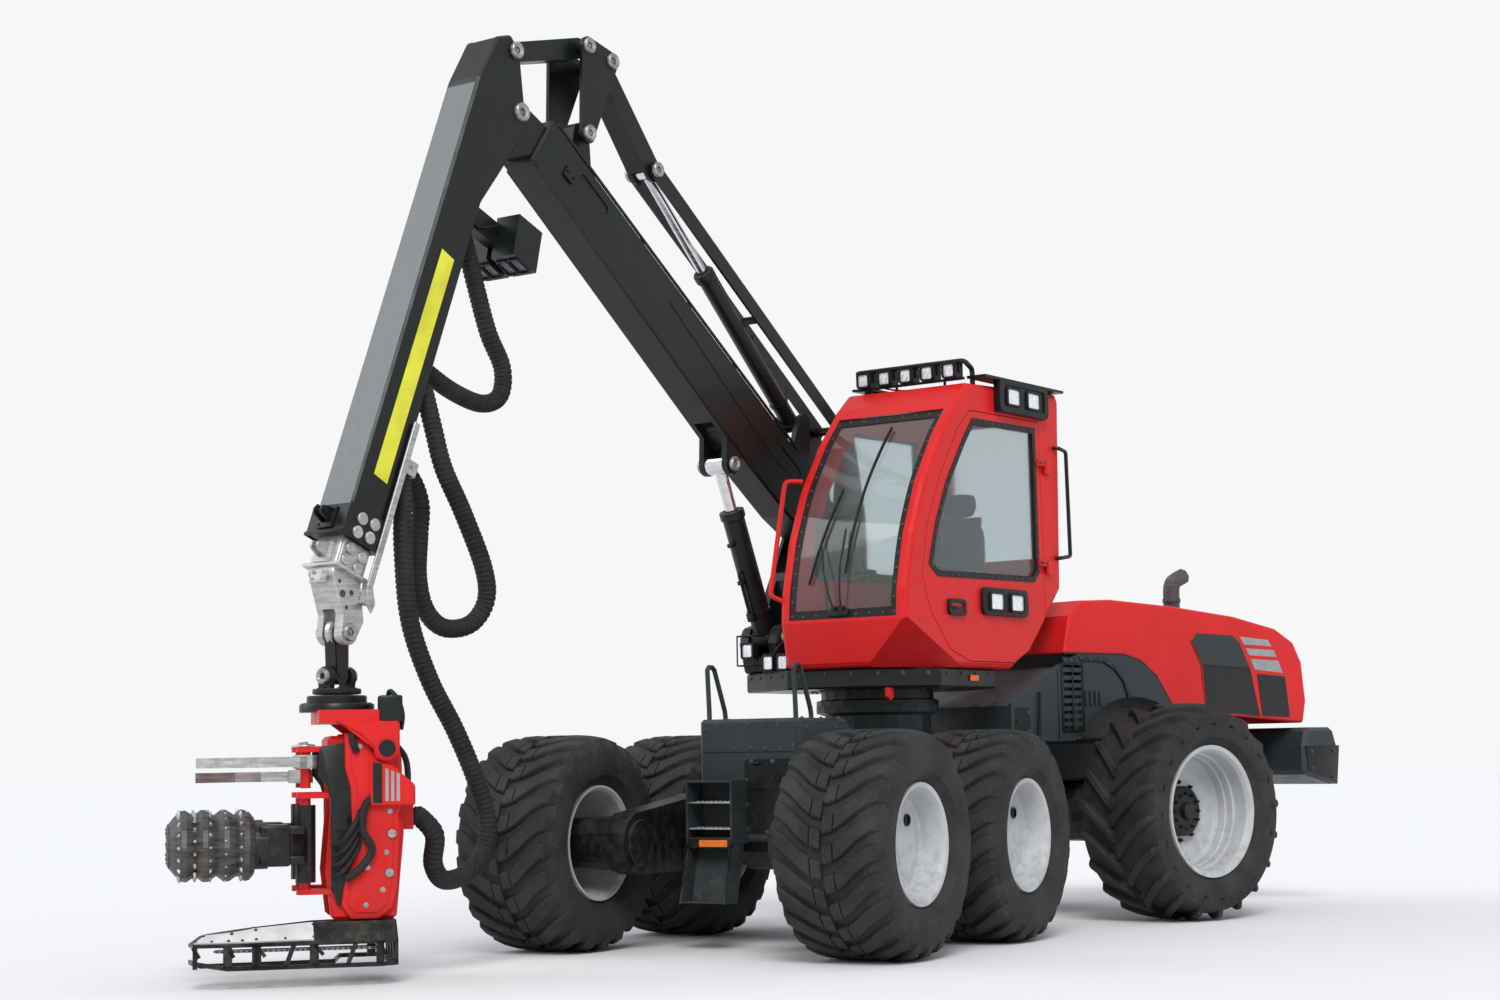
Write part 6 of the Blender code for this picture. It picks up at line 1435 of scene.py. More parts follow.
def makeFrontTrim():
    plates = bmesh.new()
    nose = 0.28
    addPlate(plates, "yz", roundedOutline((0.0, 1.305), 0.665, 0.185, 0.018), nose - 0.003, nose + 0.006,
        0.002, 1)
    finishPiece("nose_plate", plates, "chassis", "slatePaint")
    box = bmesh.new()
    addPlate(box, "yz", roundedOutline((0.145, 0.94), 0.36, 0.46, 0.02), nose - 0.003, nose + 0.008, 0.003,
        1)
    for z, tall in ((1.06, 0.16), (0.82, 0.18)):
        addPlate(box, "yz", roundedOutline((0.145, z), 0.3, tall, 0.015), nose + 0.006, nose + 0.014, 0.002,
            1)
    ring = bmesh.new()
    addTurned(ring, [(0.02, -0.004), (0.024, -0.004), (0.026, 0.0), (0.024, 0.004), (0.02, 0.004),
        (0.018, 0.0)], (0, 0, 0), "z", 32)
    joinInto(box, ring, Matrix.Translation((nose + 0.018, 0.2, 1.055)) @ Matrix.Rotation(math.pi / 2, 4,
        "Y"))
    addRod(box, (nose + 0.012, 0.2, 1.078), (nose + 0.024, 0.2, 1.078), 0.009, sides=16)
    for y in (0.03, 0.26):
        addRod(box, (nose + 0.02, y, 1.142), (nose + 0.02, y + 0.05, 1.142), 0.008, sides=14)
    finishPiece("nose_locker", box, "chassis", "blackPaint")
    bolts = bmesh.new()
    spots = [((nose + 0.006, y, z), (1, 0, 0)) for y,
        z in evenSpots(roundedOutline((0.0, 1.305), 0.625, 0.145, 0.012), 0.105)]
    spots += [((nose + 0.008, y, z), (1, 0, 0)) for y,
        z in evenSpots(roundedOutline((0.145, 0.94), 0.335, 0.43, 0.012), 0.145)]
    spots += [((x, side, 1.4203), (0, 0, 1)) for x in (-0.28, -0.05, 0.2) for side in (-0.33, 0.33)]
    for side in (1, -1):
        spots += sideSpots(side, 0.3603, ((0.2, 1.36), (0.2, 0.95), (-0.2, 1.36), (-0.5, 1.24),
            (-0.8, 1.24), (-1.1, 1.24), (-1.4, 1.24), (-0.5, 0.92), (-0.8, 0.92), (-1.1, 0.92),
            (-1.4, 0.92)))
    addFasteners(bolts, "bolt", spots, 0.0095)
    finishPiece("nose_bolts", bolts, "chassis", "darkSteel")
    ladder = bmesh.new()
    face = 0.274
    for z, x in ((0.66, 0.12), (0.74, 0.19), (0.9, 0.19)):
        unit = bmesh.new()
        addTurned(unit, [(0.004, -0.004), (0.01, -0.004), (0.01, 0.002), (0.004, 0.002)], (0, 0, 0), "z",
            14)
        addBox(ladder, (face + 0.015, -0.335, z), (face + x, -0.036, z + 0.01), 0.002)
        repeatInto(ladder, unit, 9, step=(0.0, 0.032, 0.0),
            place=Matrix.Translation((face + x * 0.6, -0.31, z + 0.012)), look="wornSteel")
    finishPiece("ladder_treads", ladder, "chassis", "wornSteel")
    shine = bmesh.new()
    addPlate(shine, "yz", roundedOutline((-0.155, 0.655), 0.2, 0.042, 0.006), 0.4745, 0.48, 0.0015, 1)
    finishPiece("ladder_reflector", shine, "chassis", "orangeLens")
    holder = bmesh.new()
    addPlate(holder, "yz", roundedOutline((-0.18, 0.655), 0.325, 0.06, 0.004), 0.4695, 0.4755, 0.001, 1)
    for side in (0.345, 0.03):
        addPlate(holder, "xz", stripOutline([(0.48, 0.64), (0.555, 0.3)], 0.02), -side - 0.004,
            -side + 0.004)
    finishPiece("ladder_rails", holder, "chassis", "blackPaint")
    cases = bmesh.new()
    spots = []
    hubs = (-0.768, 0.768)
    hubHeight = 0.6675
    for side in (1, -1):
        out = side * 0.6553
        for along in hubs:
            spots += [((along + x, out, hubHeight + z), (0, side, 0)) for x, z in circleSpots(14, 0.165)]
        inner = side * 0.4997
        for along in hubs:
            spots += [((along + x, inner, hubHeight + z), (0, -side, 0)) for x, z in circleSpots(10, 0.12)]
            addTurnedAt(cases, [(0.0, -0.002), (0.145, -0.002), (0.145, 0.01), (0.138, 0.016), (0.06, 0.02),
                (0.0, 0.02)], facing((along, inner, hubHeight), -side), 40)
    finishPiece("bogie_covers", cases, "chassis", "blackPaint")
    heads = bmesh.new()
    addFasteners(heads, "bolt", spots, 0.011)
    finishPiece("bogie_bolts", heads, "chassis", "darkSteel")


makeFrontTrim()
print("front dressed")


# Crane: pins, tubes, the grey sheet on the stick's front face that paints the sky's reflection, slide pads,
# brackets and fittings

crane = {
    "boomFoot": (-0.25, 2.72), "knuckle": (3.08, 5.1), "rockerFoot": (2.47, 5.09),
    "rockerTop": (2.46, 5.65), "beamTop": (2.23, 5.6),
    "beamFoot": (1.73, 5.0), "barFoot": (-0.35, 3.5), "stickPin": (3.13, 5.47), "foldBase": (0.12, 3.5),
    "liftBase": (0.46, 1.99),
    "liftEye": (0.97, 3.14), "tip": (4.5, 1.9), "cross": (4.5, 1.66),
}
pinSection = [(0.4, -0.1), (1.0, -0.1), (1.0, 0.26), (0.9, 0.38), (0.62, 0.38), (0.46, 0.24), (0.4, 0.22)]


def makePins():
    # Every crane pin shows a steel collar on both sides.
    for body, rows in (("boom", (("rockerFoot", 0.155, 0.052), ("liftEye", 0.13, 0.05))),
            ("rocker", (("rockerTop", 0.15, 0.052), ("beamTop", 0.15, 0.052))),
            ("stick", (("knuckle", 0.13, 0.06), ("stickPin", 0.14, 0.052))),
            ("platform", (("boomFoot", 0.165, 0.075), ("liftBase", 0.165, 0.056),
            ("barFoot", 0.165, 0.05))), ("beam", (("beamFoot", 0.11, 0.05),)),
            ("extension", (("tip", 0.0995, 0.05),))):
        work = bmesh.new()
        heads = []
        for key, half, radius in rows:
            x, z = crane[key]
            for side in (1, -1):
                turn = Matrix.Rotation(-side * math.pi / 2, 4, "X")
                section = [(r * radius, s * radius) for r, s in pinSection]
                addTurnedAt(work, section, Matrix.Translation((x, -craneSide + side * (half + 0.0004),
                    z)) @ turn, 36)
                heads.append(((x, -craneSide + side * (half + 0.001), z), (0, side, 0)))
        addFasteners(work, "bolt", heads, 0.011)
        finishPiece("pin_collars_" + body, work, body, "bareSteel", (), "steel", 40.0, sheet=platformSheet)
    work = bmesh.new()
    crossX, crossZ = crane["cross"]
    for side in (1, -1):
        turn = Matrix.Rotation(side * math.pi / 2, 4, "Y")
        addTurnedAt(work, [(r * 0.046, s * 0.046) for r, s in pinSection],
            Matrix.Translation((crossX + side * 0.1005, -craneSide, crossZ)) @ turn, 32)
    finishPiece("pin_collars_link", work, "tip_link", "bareSteel", (), "steel", 40.0)


makePins()


def sheetAlong(start, end):
    # A sheet whose x runs along a crane arm, y aside and z up or forward from it.
    run = (Vector((end[0], 0.0, end[1])) - Vector((start[0], 0.0, start[1]))).normalized()
    rise = Vector((-run.z, 0.0, run.x))
    turn = Matrix((run, Vector((0, 1, 0)), rise)).transposed().to_4x4()
    return platformSheet @ Matrix.Translation((start[0], -craneSide, start[1])) @ turn


boomSheet = sheetAlong(crane["boomFoot"], crane["knuckle"])
stickSheet = sheetAlong(place["stickTop"], place["stickLow"])


def makeBoomTrim():
    clamps = (0.95, 1.55, 2.15, 2.75, 3.35)
    rails = bmesh.new()
    for side in (1, -1):
        low, high = spanTo(side, 0.112, 0.1265)
        addPlate(rails, "xz", [(0.72, 0.196), (3.8, 0.196), (3.8, 0.214), (0.74, 0.214)], low, high, 0.002,
            1)
        addPlate(rails, "xz", stripOutline([(0.62, -0.225), (1.25, -0.238), (3.8, -0.15)], 0.022), low,
            high, 0.002, 1)
        addPlate(rails, "xz", [(0.3, 0.02), (0.95, -0.03), (2.35, 0.055), (2.35, 0.075), (0.95, 0.015),
            (0.3, 0.06)], side * 0.1205 - 0.003, side * 0.1205 + 0.003)
    for x in clamps:
        addBox(rails, (x - 0.025, -0.075, 0.198), (x + 0.025, 0.075, 0.246), 0.006)
    finishPiece("boom_rails", rails, "boom", "blackPaint", sheet=boomSheet)
    pipes = bmesh.new()
    for aside in (-0.05, -0.017, 0.017, 0.05):
        addHose(pipes, [(0.55, aside, 0.15), (0.64, aside, 0.2), (0.78, aside, 0.222), (2.0, aside, 0.222),
            (3.45, aside, 0.222), (3.62, aside, 0.2), (3.7, aside, 0.16)], 40, 0.0115, 10)
    finishPiece("boom_pipes", pipes, "boom", "darkSteel", sheet=boomSheet)
    boss = bmesh.new()
    for low, high in ((0.1195, 0.135), (-0.135, -0.1195)):
        addPlate(boss, "xz", roundedOutline((3.55, 0.02), 0.1, 0.085, 0.012), low, high, 0.003, 1)
    spots = [((x, side * 0.135, z), (0, side, 0)) for side in (1, -1) for x,
        z in ((3.52, 0.02), (3.58, 0.02))]
    spots += [((x + dx, 0.0, 0.246), (0, 0, 1)) for x in clamps for dx in (-0.014, 0.014)]
    addFasteners(boss, "socket", spots, 0.009)
    finishPiece("boom_bosses", boss, "boom", "blackPaint", sheet=boomSheet)


def makeStickTrim():
    # On this sheet z points to the stick's front face.
    # A thin grey sheet on the stick's black front face: a painted reflection of the sky on the gloss paint.
    face = bmesh.new()
    addPlate(face, "xy", [(0.34, -0.112), (0.34, 0.112), (3.14, 0.118), (3.14, -0.118)], 0.1495, 0.1525,
        0.001, 1)
    finishPiece("stick_face", face, "stick", "stickSkyReflection", sheet=stickSheet)
    strip = bmesh.new()
    for side in (1, -1):
        low, high = spanTo(side, 0.1295, 0.1312)
        addPlate(strip, "xz", [(1.44, 0.045), (2.91, 0.055), (2.92, -0.058), (1.45, -0.068)], low, high)
    finishPiece("stick_strip", strip, "stick", "yellowSheet", sheet=stickSheet)
    dark = bmesh.new()
    for side in (1, -1):
        low, high = spanTo(side, 0.128, 0.1318)
        for line in ([(0.62, -0.05), (0.86, 0.0)], [(0.92, 0.03), (1.2, -0.03)],
                [(1.32, 0.07), (1.62, 0.075)]):
            addPlate(dark, "xz", stripOutline(line, 0.03), low, high, 0.001, 1)
        addPlate(dark, "xz", [(3.13, 0.16), (3.158, 0.16), (3.158, -0.145), (3.13, -0.145)],
            side * 0.1345 - 0.006, side * 0.1345 + 0.006)
        addPlate(dark, "xz", [(3.308, 0.176), (3.328, 0.176), (3.328, -0.15), (3.308, -0.15)],
            side * 0.146 - 0.004, side * 0.146 + 0.004)
    addBox(dark, (3.308, -0.148, 0.162), (3.328, 0.148, 0.178), 0.003)
    finishPiece("stick_slots", dark, "stick", "blackPlastic", sheet=stickSheet)
    pads = bmesh.new()
    places = ((3.185, -0.04), (3.195, 0.058), (3.27, -0.032), (3.28, 0.066))
    spots = [((x, side * 0.144, z), (0, side, 0)) for x, z in places for side in (1, -1)]
    addFasteners(pads, "pad", spots, 0.036)
    screws = [((x + dx, side * 0.159, z + dz), (0, side, 0)) for x, z in places for side in (1, -1) for dx,
        dz in ((0.02, 0.0), (-0.01, 0.017), (-0.01, -0.017))]
    addFasteners(pads, "socket", screws, 0.0035)
    finishPiece("stick_pads", pads, "stick", "wornSteel", sheet=stickSheet)
    brackets = bmesh.new()
    foot = 3.165
    middle = foot + 0.055
    addBox(brackets, (foot, -0.06, 0.168), (foot + 0.13, 0.06, 0.182), 0.003)
    eye = capsuleLine((middle, 0.18), (middle, 0.235), 0.045, 0.032)
    for y in (-0.03, 0.022):
        addPlate(brackets, "xz", eye, y, y + 0.014, 0.002, 1)
    addRod(brackets, (middle, -0.045, 0.235), (middle, 0.045, 0.235), 0.014, sides=18)
    spots = [((x, y, 0.182), (0, 0, 1)) for x in (3.185, 3.275) for y in (-0.047, 0.047)]
    addFasteners(brackets, "bolt", spots, 0.008)
    finishPiece("stick_brackets", brackets, "stick", "blackPaint", sheet=stickSheet)
    rims = bmesh.new()
    lenses = bmesh.new()
    for y in (-0.155, -0.065, 0.065, 0.155):
        addLamp(rims, lenses, (1.2, y, -0.55), (1.0, 0.0, 0.1), 0.085, 0.15, 0.014)
    for y in (-0.035, 0.035):
        addHose(rims, [(1.05, y, -0.15), (1.1, y * 1.5, -0.25), (1.0, y * 2, -0.4)], 14, 0.008, 8)
    finishPiece("stick_lamp_frames", rims, "stick", "blackPlastic", sheet=stickSheet)
    finishPiece("stick_lamp_lenses", lenses, "stick", "darkLens", sheet=stickSheet)


def capsuleLine(first, last, firstRadius, lastRadius, steps=8):
    run = Vector(last) - Vector(first)
    heading = math.degrees(math.atan2(run.y, run.x))
    points = []
    for centre, radius, start in ((first, firstRadius, heading + 90), (last, lastRadius, heading - 90)):
        for step in range(steps + 1):
            angle = math.radians(start + 180.0 * step / steps)
            points.append((centre[0] + radius * math.cos(angle), centre[1] + radius * math.sin(angle)))
    return points


def makeExtensionTrim():
    steel = bmesh.new()
    end = 3.32
    addBox(steel, (end + 0.165, -0.135, -0.118), (end + 0.185, 0.135, 0.135), 0.004)
    for side in (1, -1):
        low, high = spanTo(side, 0.098, 0.112)
        addPlate(steel, "xz", [(end + 0.01, -0.1), (end + 0.01, 0.105), (end + 0.16, 0.105),
            (end + 0.16, -0.1)], low, high, 0.003, 1)
        rail = spanTo(side, 0.1465, 0.16)
        addPlate(steel, "xz", [(2.5, -0.15), (2.5, -0.105), (3.52, -0.105), (3.62, -0.13), (3.66, -0.19),
            (3.6, -0.2), (3.52, -0.15)], *rail, 0.003, 1)
        inner = spanTo(side, 0.1, 0.15)
        addPlate(steel, "xz", [(end + 0.17, -0.115), (end + 0.17, -0.145), (end + 0.3, -0.175),
            (end + 0.3, -0.13)], *inner, 0.003, 1)
    places = ((end + 0.05, 0.052), (end + 0.064, -0.048), (end + 0.122, 0.062), (end + 0.134, -0.038))
    spots = [((x, side * 0.112, z), (0, side, 0)) for x, z in places for side in (1, -1)]
    addFasteners(steel, "pad", spots, 0.034)
    spots = [((x, side * 0.16, -0.128), (0, side, 0)) for x in (2.6, 2.8, 3.0, 3.2, 3.4) for side in (1,
        -1)]
    addFasteners(steel, "bolt", spots, 0.008)
    addBox(steel, (end + 0.03, -0.06, 0.112), (end + 0.16, 0.06, 0.13), 0.003)
    for y in (-0.03, 0.018):
        addPlate(steel, "xz", capsuleLine((end + 0.09, 0.125), (end + 0.09, 0.185), 0.045, 0.03), y,
            y + 0.014, 0.002, 1)
    addBox(steel, (end + 0.2, -0.06, 0.1), (end + 0.28, 0.06, 0.122), 0.003)
    spots = [((end + x, y, 0.123), (0, 0, 1)) for x in (0.22, 0.26) for y in (-0.04, 0.04)]
    addFasteners(steel, "socket", spots, 0.01)
    finishPiece("slide_fittings", steel, "extension", "wornSteel", sheet=stickSheet)
    holes = bmesh.new()
    for side in (1, -1):
        for x, z, radius in ((end + 0.3, 0.0, 0.022), (end + 0.245, 0.045, 0.012),
                (end + 0.36, -0.055, 0.012), (end + 0.27, -0.06, 0.016)):
            addTurnedAt(holes, [(0.0, -0.006), (radius, -0.006), (radius, 0.001), (radius * 0.8, 0.0006),
                (0.0, 0.0004)], facing((x, side * 0.0994, z), side), 24)
    finishPiece("slide_holes", holes, "extension", "darkSteel", sheet=stickSheet)
    wheel = bmesh.new()
    tip = Vector((crane["tip"][0], -craneSide, crane["tip"][1]))
    addTurnedAt(wheel, [(0.034, -0.02), (0.07, -0.02), (0.078, -0.016), (0.066, 0.0), (0.078, 0.016),
        (0.07, 0.02), (0.034, 0.02)], Matrix.Translation(tip) @ Matrix.Rotation(math.pi / 2, 4, "X"), 40)
    finishPiece("tip_pulley", wheel, "tip_link", "wornSteel")
    manifold = bmesh.new()
    for x, y, z in ((2.7, 0.1, -0.21), (2.83, 0.06, -0.23)):
        addBox(manifold, (x, y - 0.03, z - 0.04), (x + 0.09, y + 0.03, z + 0.05), 0.006)
    spots = [((2.745, 0.13, -0.205), (0, 1, 0)), ((2.875, 0.09, -0.225), (0, 1, 0))]
    addFasteners(manifold, "bolt", spots, 0.012)
    finishPiece("hose_manifold", manifold, "stick", "wornSteel", sheet=stickSheet)


makeBoomTrim()
makeStickTrim()
makeExtensionTrim()


def makeCylinderTrim():
    for body, base, eye, radius, share in (("fold_barrel", "foldBase", "beamFoot", 0.06, 0.62),
            ("lift_barrel", "liftBase", "liftEye", 0.075, 0.74)):
        sheet = sheetAlong(crane[base], crane[eye])
        length = (Vector(crane[eye]) - Vector(crane[base])).length
        end = length * share
        work = bmesh.new()
        part = bmesh.new()
        wide = radius * (1.22 if body == "fold_barrel" else 1.06)
        addTurned(part, [(radius * 0.7, end - 0.06), (wide * 0.97, end - 0.06), (wide, end - 0.052),
            (wide, end - 0.008), (wide * 0.9, end + 0.004), (radius * 0.7, end + 0.004)], (0, 0, 0), "z",
            40)
        addTurned(part, [(radius * 0.9, 0.19), (radius * 1.12, 0.192), (radius * 1.12, 0.215),
            (radius * 0.9, 0.217)], (0, 0, 0), "z", 40)
        joinInto(work, part, Matrix.Rotation(math.pi / 2, 4, "Y"))
        rise = -1.0 if body == "lift_barrel" else 1.0
        top = end - 0.07 if body == "fold_barrel" else end * 0.55
        addHose(work, [(top, 0.0, rise * radius * 0.9), (top - 0.005, 0.0, rise * (radius + 0.03)),
            (top - 0.06, 0.0, rise * (radius + 0.03)), (0.26, 0.0, rise * (radius + 0.03)),
            (0.2, 0.0, rise * (radius + 0.022))], 30, 0.011, 10)
        addBox(work, (0.165, -0.028, min(rise * radius * 0.8, rise * (radius + 0.04))),
            (0.225, 0.028, max(rise * radius * 0.8, rise * (radius + 0.04))), 0.006)
        for x in (0.45, 0.72):
            if x < end - 0.12:
                addBox(work, (x - 0.014, -0.022, min(rise * radius * 0.9, rise * (radius + 0.046))),
                    (x + 0.014, 0.022, max(rise * radius * 0.9, rise * (radius + 0.046))), 0.004)
        finishPiece(body + "_fittings", work, body, "blackPaint", sheet=sheet)


makeCylinderTrim()


def makeTipTrim():
    tipX, tipZ = crane["tip"]
    fins = bmesh.new()
    for y in (-0.03, 0.0, 0.03):
        line = [(4.462, 1.84), (4.452, 1.78), (4.452, 1.72), (4.466, 1.655), (4.48, 1.632)]
        addPlate(fins, "xz", stripOutline(line, 0.016), -craneSide + y - 0.006, -craneSide + y + 0.006)
    finishPiece("link_fins", fins, "tip_link", "wornSteel")
    cheeks = bmesh.new()
    for side in (1, -1):
        low, high = sorted((-craneSide + side * 0.0405, -craneSide + side * 0.0455))
        addPlate(cheeks, "xz", capsuleLine((tipX, tipZ), (tipX, 1.69), 0.05, 0.04), low, high, 0.001, 1)
    finishPiece("link_cheeks", cheeks, "tip_link", "blackPaint")
    motor = bmesh.new()
    axis = Matrix.Translation((tipX, -craneSide, 0.0))
    addTurnedAt(motor, [(0.04, 1.583), (0.085, 1.583), (0.11, 1.592), (0.128, 1.592), (0.134, 1.586),
        (0.134, 1.566), (0.128, 1.5615), (0.04, 1.5615)], axis, 56)
    spots = [((tipX + x, -craneSide + y, 1.592), (0, 0, 1)) for x, y in circleSpots(14, 0.102)]
    addFasteners(motor, "socket", spots, 0.0075)
    finishPiece("rotator_flange", motor, "rotator", "blackPaint")


makeTipTrim()
print("crane dressed")


# Felling head: side plates, knives' bosses, rollers' spikes and motors, hoses and saw box

head = {"knifeX": 0.185, "knifeY": 0.225, "rollerY": 0.3, "rollerLow": 0.46, "rollerHigh": 0.9,
    "rollerRadius": 0.185, "rollerAxle": 0.75}


def arcLine(centre, radius, start, end, steps):
    points = []
    for step in range(steps + 1):
        angle = math.radians(start + (end - start) * step / steps)
        points.append((centre[0] + radius * math.cos(angle), centre[1] + radius * math.sin(angle)))
    return points


def makeHeadPlates():
    plates = bmesh.new()
    rim = [(-0.02, 1.345), (-0.16, 1.345), *arcLine((-0.05, 1.02), 0.285, 118.0, 205.0, 10), (-0.315, 0.8),
        (-0.3, 0.52), (-0.27, 0.4), (-0.2, 0.345), (-0.05, 0.345), (0.0, 0.42), (-0.02, 0.56),
        (-0.075, 0.68), (-0.055, 0.9), (-0.05, 1.05), (-0.02, 1.16)]
    for side in (1, -1):
        low, high = spanTo(side, 0.262, 0.302)
        addPlate(plates, "xz", rim, low, high, 0.01)
        trim = spanTo(side, 0.3, 0.311)
        addPlate(plates, "xz", insetLine(rim, 0.035), *trim, 0.004)
    finishPiece("head_side_plates", plates, "head", "redPaint")
    band = bmesh.new()
    addBox(band, (-0.322, 0.262, 0.955), (-0.155, 0.3525, 1.03), 0.004)
    finishPiece("service_sill", band, "head", "redPaint")
    panel = bmesh.new()
    addPlate(panel, "xz", [(-0.165, 0.965), (-0.165, 1.185), (-0.215, 1.178), (-0.215, 0.965)], 0.3495,
        0.3535)
    finishPiece("service_panel", panel, "head", "blackPaint")
    stripes = bmesh.new()
    for x in (-0.232, -0.262, -0.292):
        addPlate(stripes, "xz", [(x, 0.975), (x, 1.125 + (x + 0.3) * 0.4),
            (x - 0.018, 1.118 + (x + 0.3) * 0.4), (x - 0.018, 0.975)], 0.3495, 0.353)
    finishPiece("service_stripes", stripes, "head", "stripeGrey")
    bolts = bmesh.new()
    spots = []
    for side in (1, -1):
        for x, z in ((-0.1, 1.27), (-0.2, 1.22), (-0.14, 0.62), (-0.24, 0.7), (-0.13, 0.42), (-0.22, 0.5),
                (-0.26, 0.92)):
            spots.append(((x, side * 0.311, z), (0, side, 0)))
    addFasteners(bolts, "bolt", spots, 0.01)
    big = [((x, side * 0.311, z), (0, side, 0)) for side in (1, -1) for x,
        z in ((-0.255, 0.59), (-0.27, 0.8))]
    addFasteners(bolts, "pad", big, 0.024)
    finishPiece("head_bolts", bolts, "head", "bareSteel")


def makeHeadFrame():
    # The black inner frame with its windows, ahead of the red plates.
    frame = bmesh.new()
    for side in (1, -1):
        low, high = spanTo(side, 0.268, 0.292)
        outline = [(-0.05, 1.3), (0.1, 1.275), (0.12, 1.24), (0.12, 1.12), (0.075, 1.06), (0.055, 0.99),
            (0.055, 0.52), (0.02, 0.42), (-0.06, 0.42), (-0.06, 1.1)]
        addPlate(frame, "xz", outline, low, high, 0.004)
        for z in (0.58, 0.72, 0.86):
            addPlate(frame, "xz", roundedOutline((0.0, z), 0.06, 0.09, 0.012), *spanTo(side, 0.29, 0.2955),
                0.001, 1)
    for z in (0.47, 0.66, 0.9, 1.1):
        addBox(frame, (-0.172, -0.214, z), (-0.15, 0.214, z + 0.05), 0.004)
    addBox(frame, (-0.17, -0.05, 0.42), (-0.12, 0.05, 1.18), 0.008)
    finishPiece("head_inner_frame", frame, "head", "blackPaint")
    blocks = bmesh.new()
    for side in (1, -1):
        x, y = head["knifeX"], side * head["knifeY"]
        addTurnedAt(blocks, [(0.0, 1.287), (0.04, 1.287), (0.052, 1.283), (0.055, 1.2765), (0.055, 1.2765),
            (0.0, 1.2765)], Matrix.Translation((x, y, 0.0)), 36)
        addFasteners(blocks, "bolt", [((x, y, 1.287), (0, 0, 1))], 0.016)
    finishPiece("knife_pin_caps", blocks, "head", "wornSteel")
    hoses = bmesh.new()
    for index in range(4):
        z = 0.6 + 0.055 * index
        out = 0.33 + 0.014 * index
        addHose(hoses, [(-0.1, 0.306, z + 0.16), (-0.07, out, z + 0.1), (-0.01, out + 0.015, z + 0.01),
            (0.035, 0.328, z - 0.02), (0.04, 0.294, z - 0.025)], 30, 0.014, 10)
    addHose(hoses, [(-0.17, 0.315, 1.0), (-0.12, 0.345, 0.94), (-0.11, 0.352, 0.82), (-0.16, 0.345, 0.72),
        (-0.1, 0.34, 0.62), (-0.02, 0.34, 0.56)], 40, 0.022, 12)
    addHose(hoses, [(-0.2, 0.22, 1.34), (-0.24, 0.26, 1.4), (-0.15, 0.32, 1.42), (-0.06, 0.33, 1.34),
        (-0.08, 0.315, 1.24)], 40, 0.02, 12)
    addHose(hoses, [(-0.3, 0.05, 1.3), (-0.37, 0.06, 1.2), (-0.38, 0.06, 1.05), (-0.345, 0.05, 0.95)], 30,
        0.018, 12)
    finishPiece("head_hoses", hoses, "head", "hoseRubber", (), "hose")
    top = bmesh.new()
    addBox(top, (-0.26, 0.1, 1.32), (-0.12, 0.24, 1.375), 0.008)
    addBox(top, (-0.28, -0.22, 1.32), (-0.14, -0.06, 1.37), 0.008)
    addFasteners(top, "socket", [((x, y, 1.375), (0, 0, 1)) for x in (-0.24, -0.14) for y in (0.12, 0.22)],
        0.009)
    finishPiece("valve_blocks", top, "head", "darkSteel")


def makeHangerTrim():
    cheeks = bmesh.new()
    work = bmesh.new()
    for side in (1, -1):
        low, high = spanTo(side, 0.3595, 0.372)
        addPlate(cheeks, "xz", [(-0.3, 1.41), (0.03, 1.41), (-0.1, 1.34), (-0.175, 1.27),
            *arcLine((-0.24, 1.26), 0.062, 0.0, -180.0, 10), (-0.305, 1.33)], low, high, 0.003, 1)
        addTurnedAt(work, [(0.0, -0.002), (0.045, -0.002), (0.045, 0.012), (0.038, 0.018), (0.0, 0.018)],
            facing((-0.24, side * 0.372, 1.26), side), 32)
    addTurnedAt(work, [(0.06, 1.5535), (0.158, 1.5535), (0.165, 1.546), (0.165, 1.515), (0.2, 1.508),
        (0.205, 1.5), (0.205, 1.4625), (0.06, 1.4625)], Matrix.Identity(4), 64)
    spots = [((x, y, 1.506), (0, 0, 1)) for x, y in circleSpots(20, 0.183)]
    addFasteners(work, "bolt", spots, 0.009)
    spots = [((x, side * 0.3, 1.4695), (0, 0, 1)) for x in (-0.26, -0.02) for side in (1, -1)]
    addFasteners(work, "bolt", spots, 0.011)
    addBox(work, (-0.3, 0.1, 1.468), (-0.215, 0.24, 1.535), 0.008)
    addHose(work, [(-0.26, 0.2, 1.53), (-0.27, 0.24, 1.57), (-0.31, 0.28, 1.52), (-0.33, 0.3, 1.44),
        (-0.32, 0.315, 1.36)], 30, 0.014, 10)
    finishPiece("hanger_cheeks", cheeks, "hanger", "redPaint")
    addBox(work, (-0.325, 0.245, 1.4), (-0.2, 0.375, 1.545), 0.012, 3)
    finishPiece("hanger_fittings", work, "hanger", "blackPaint")


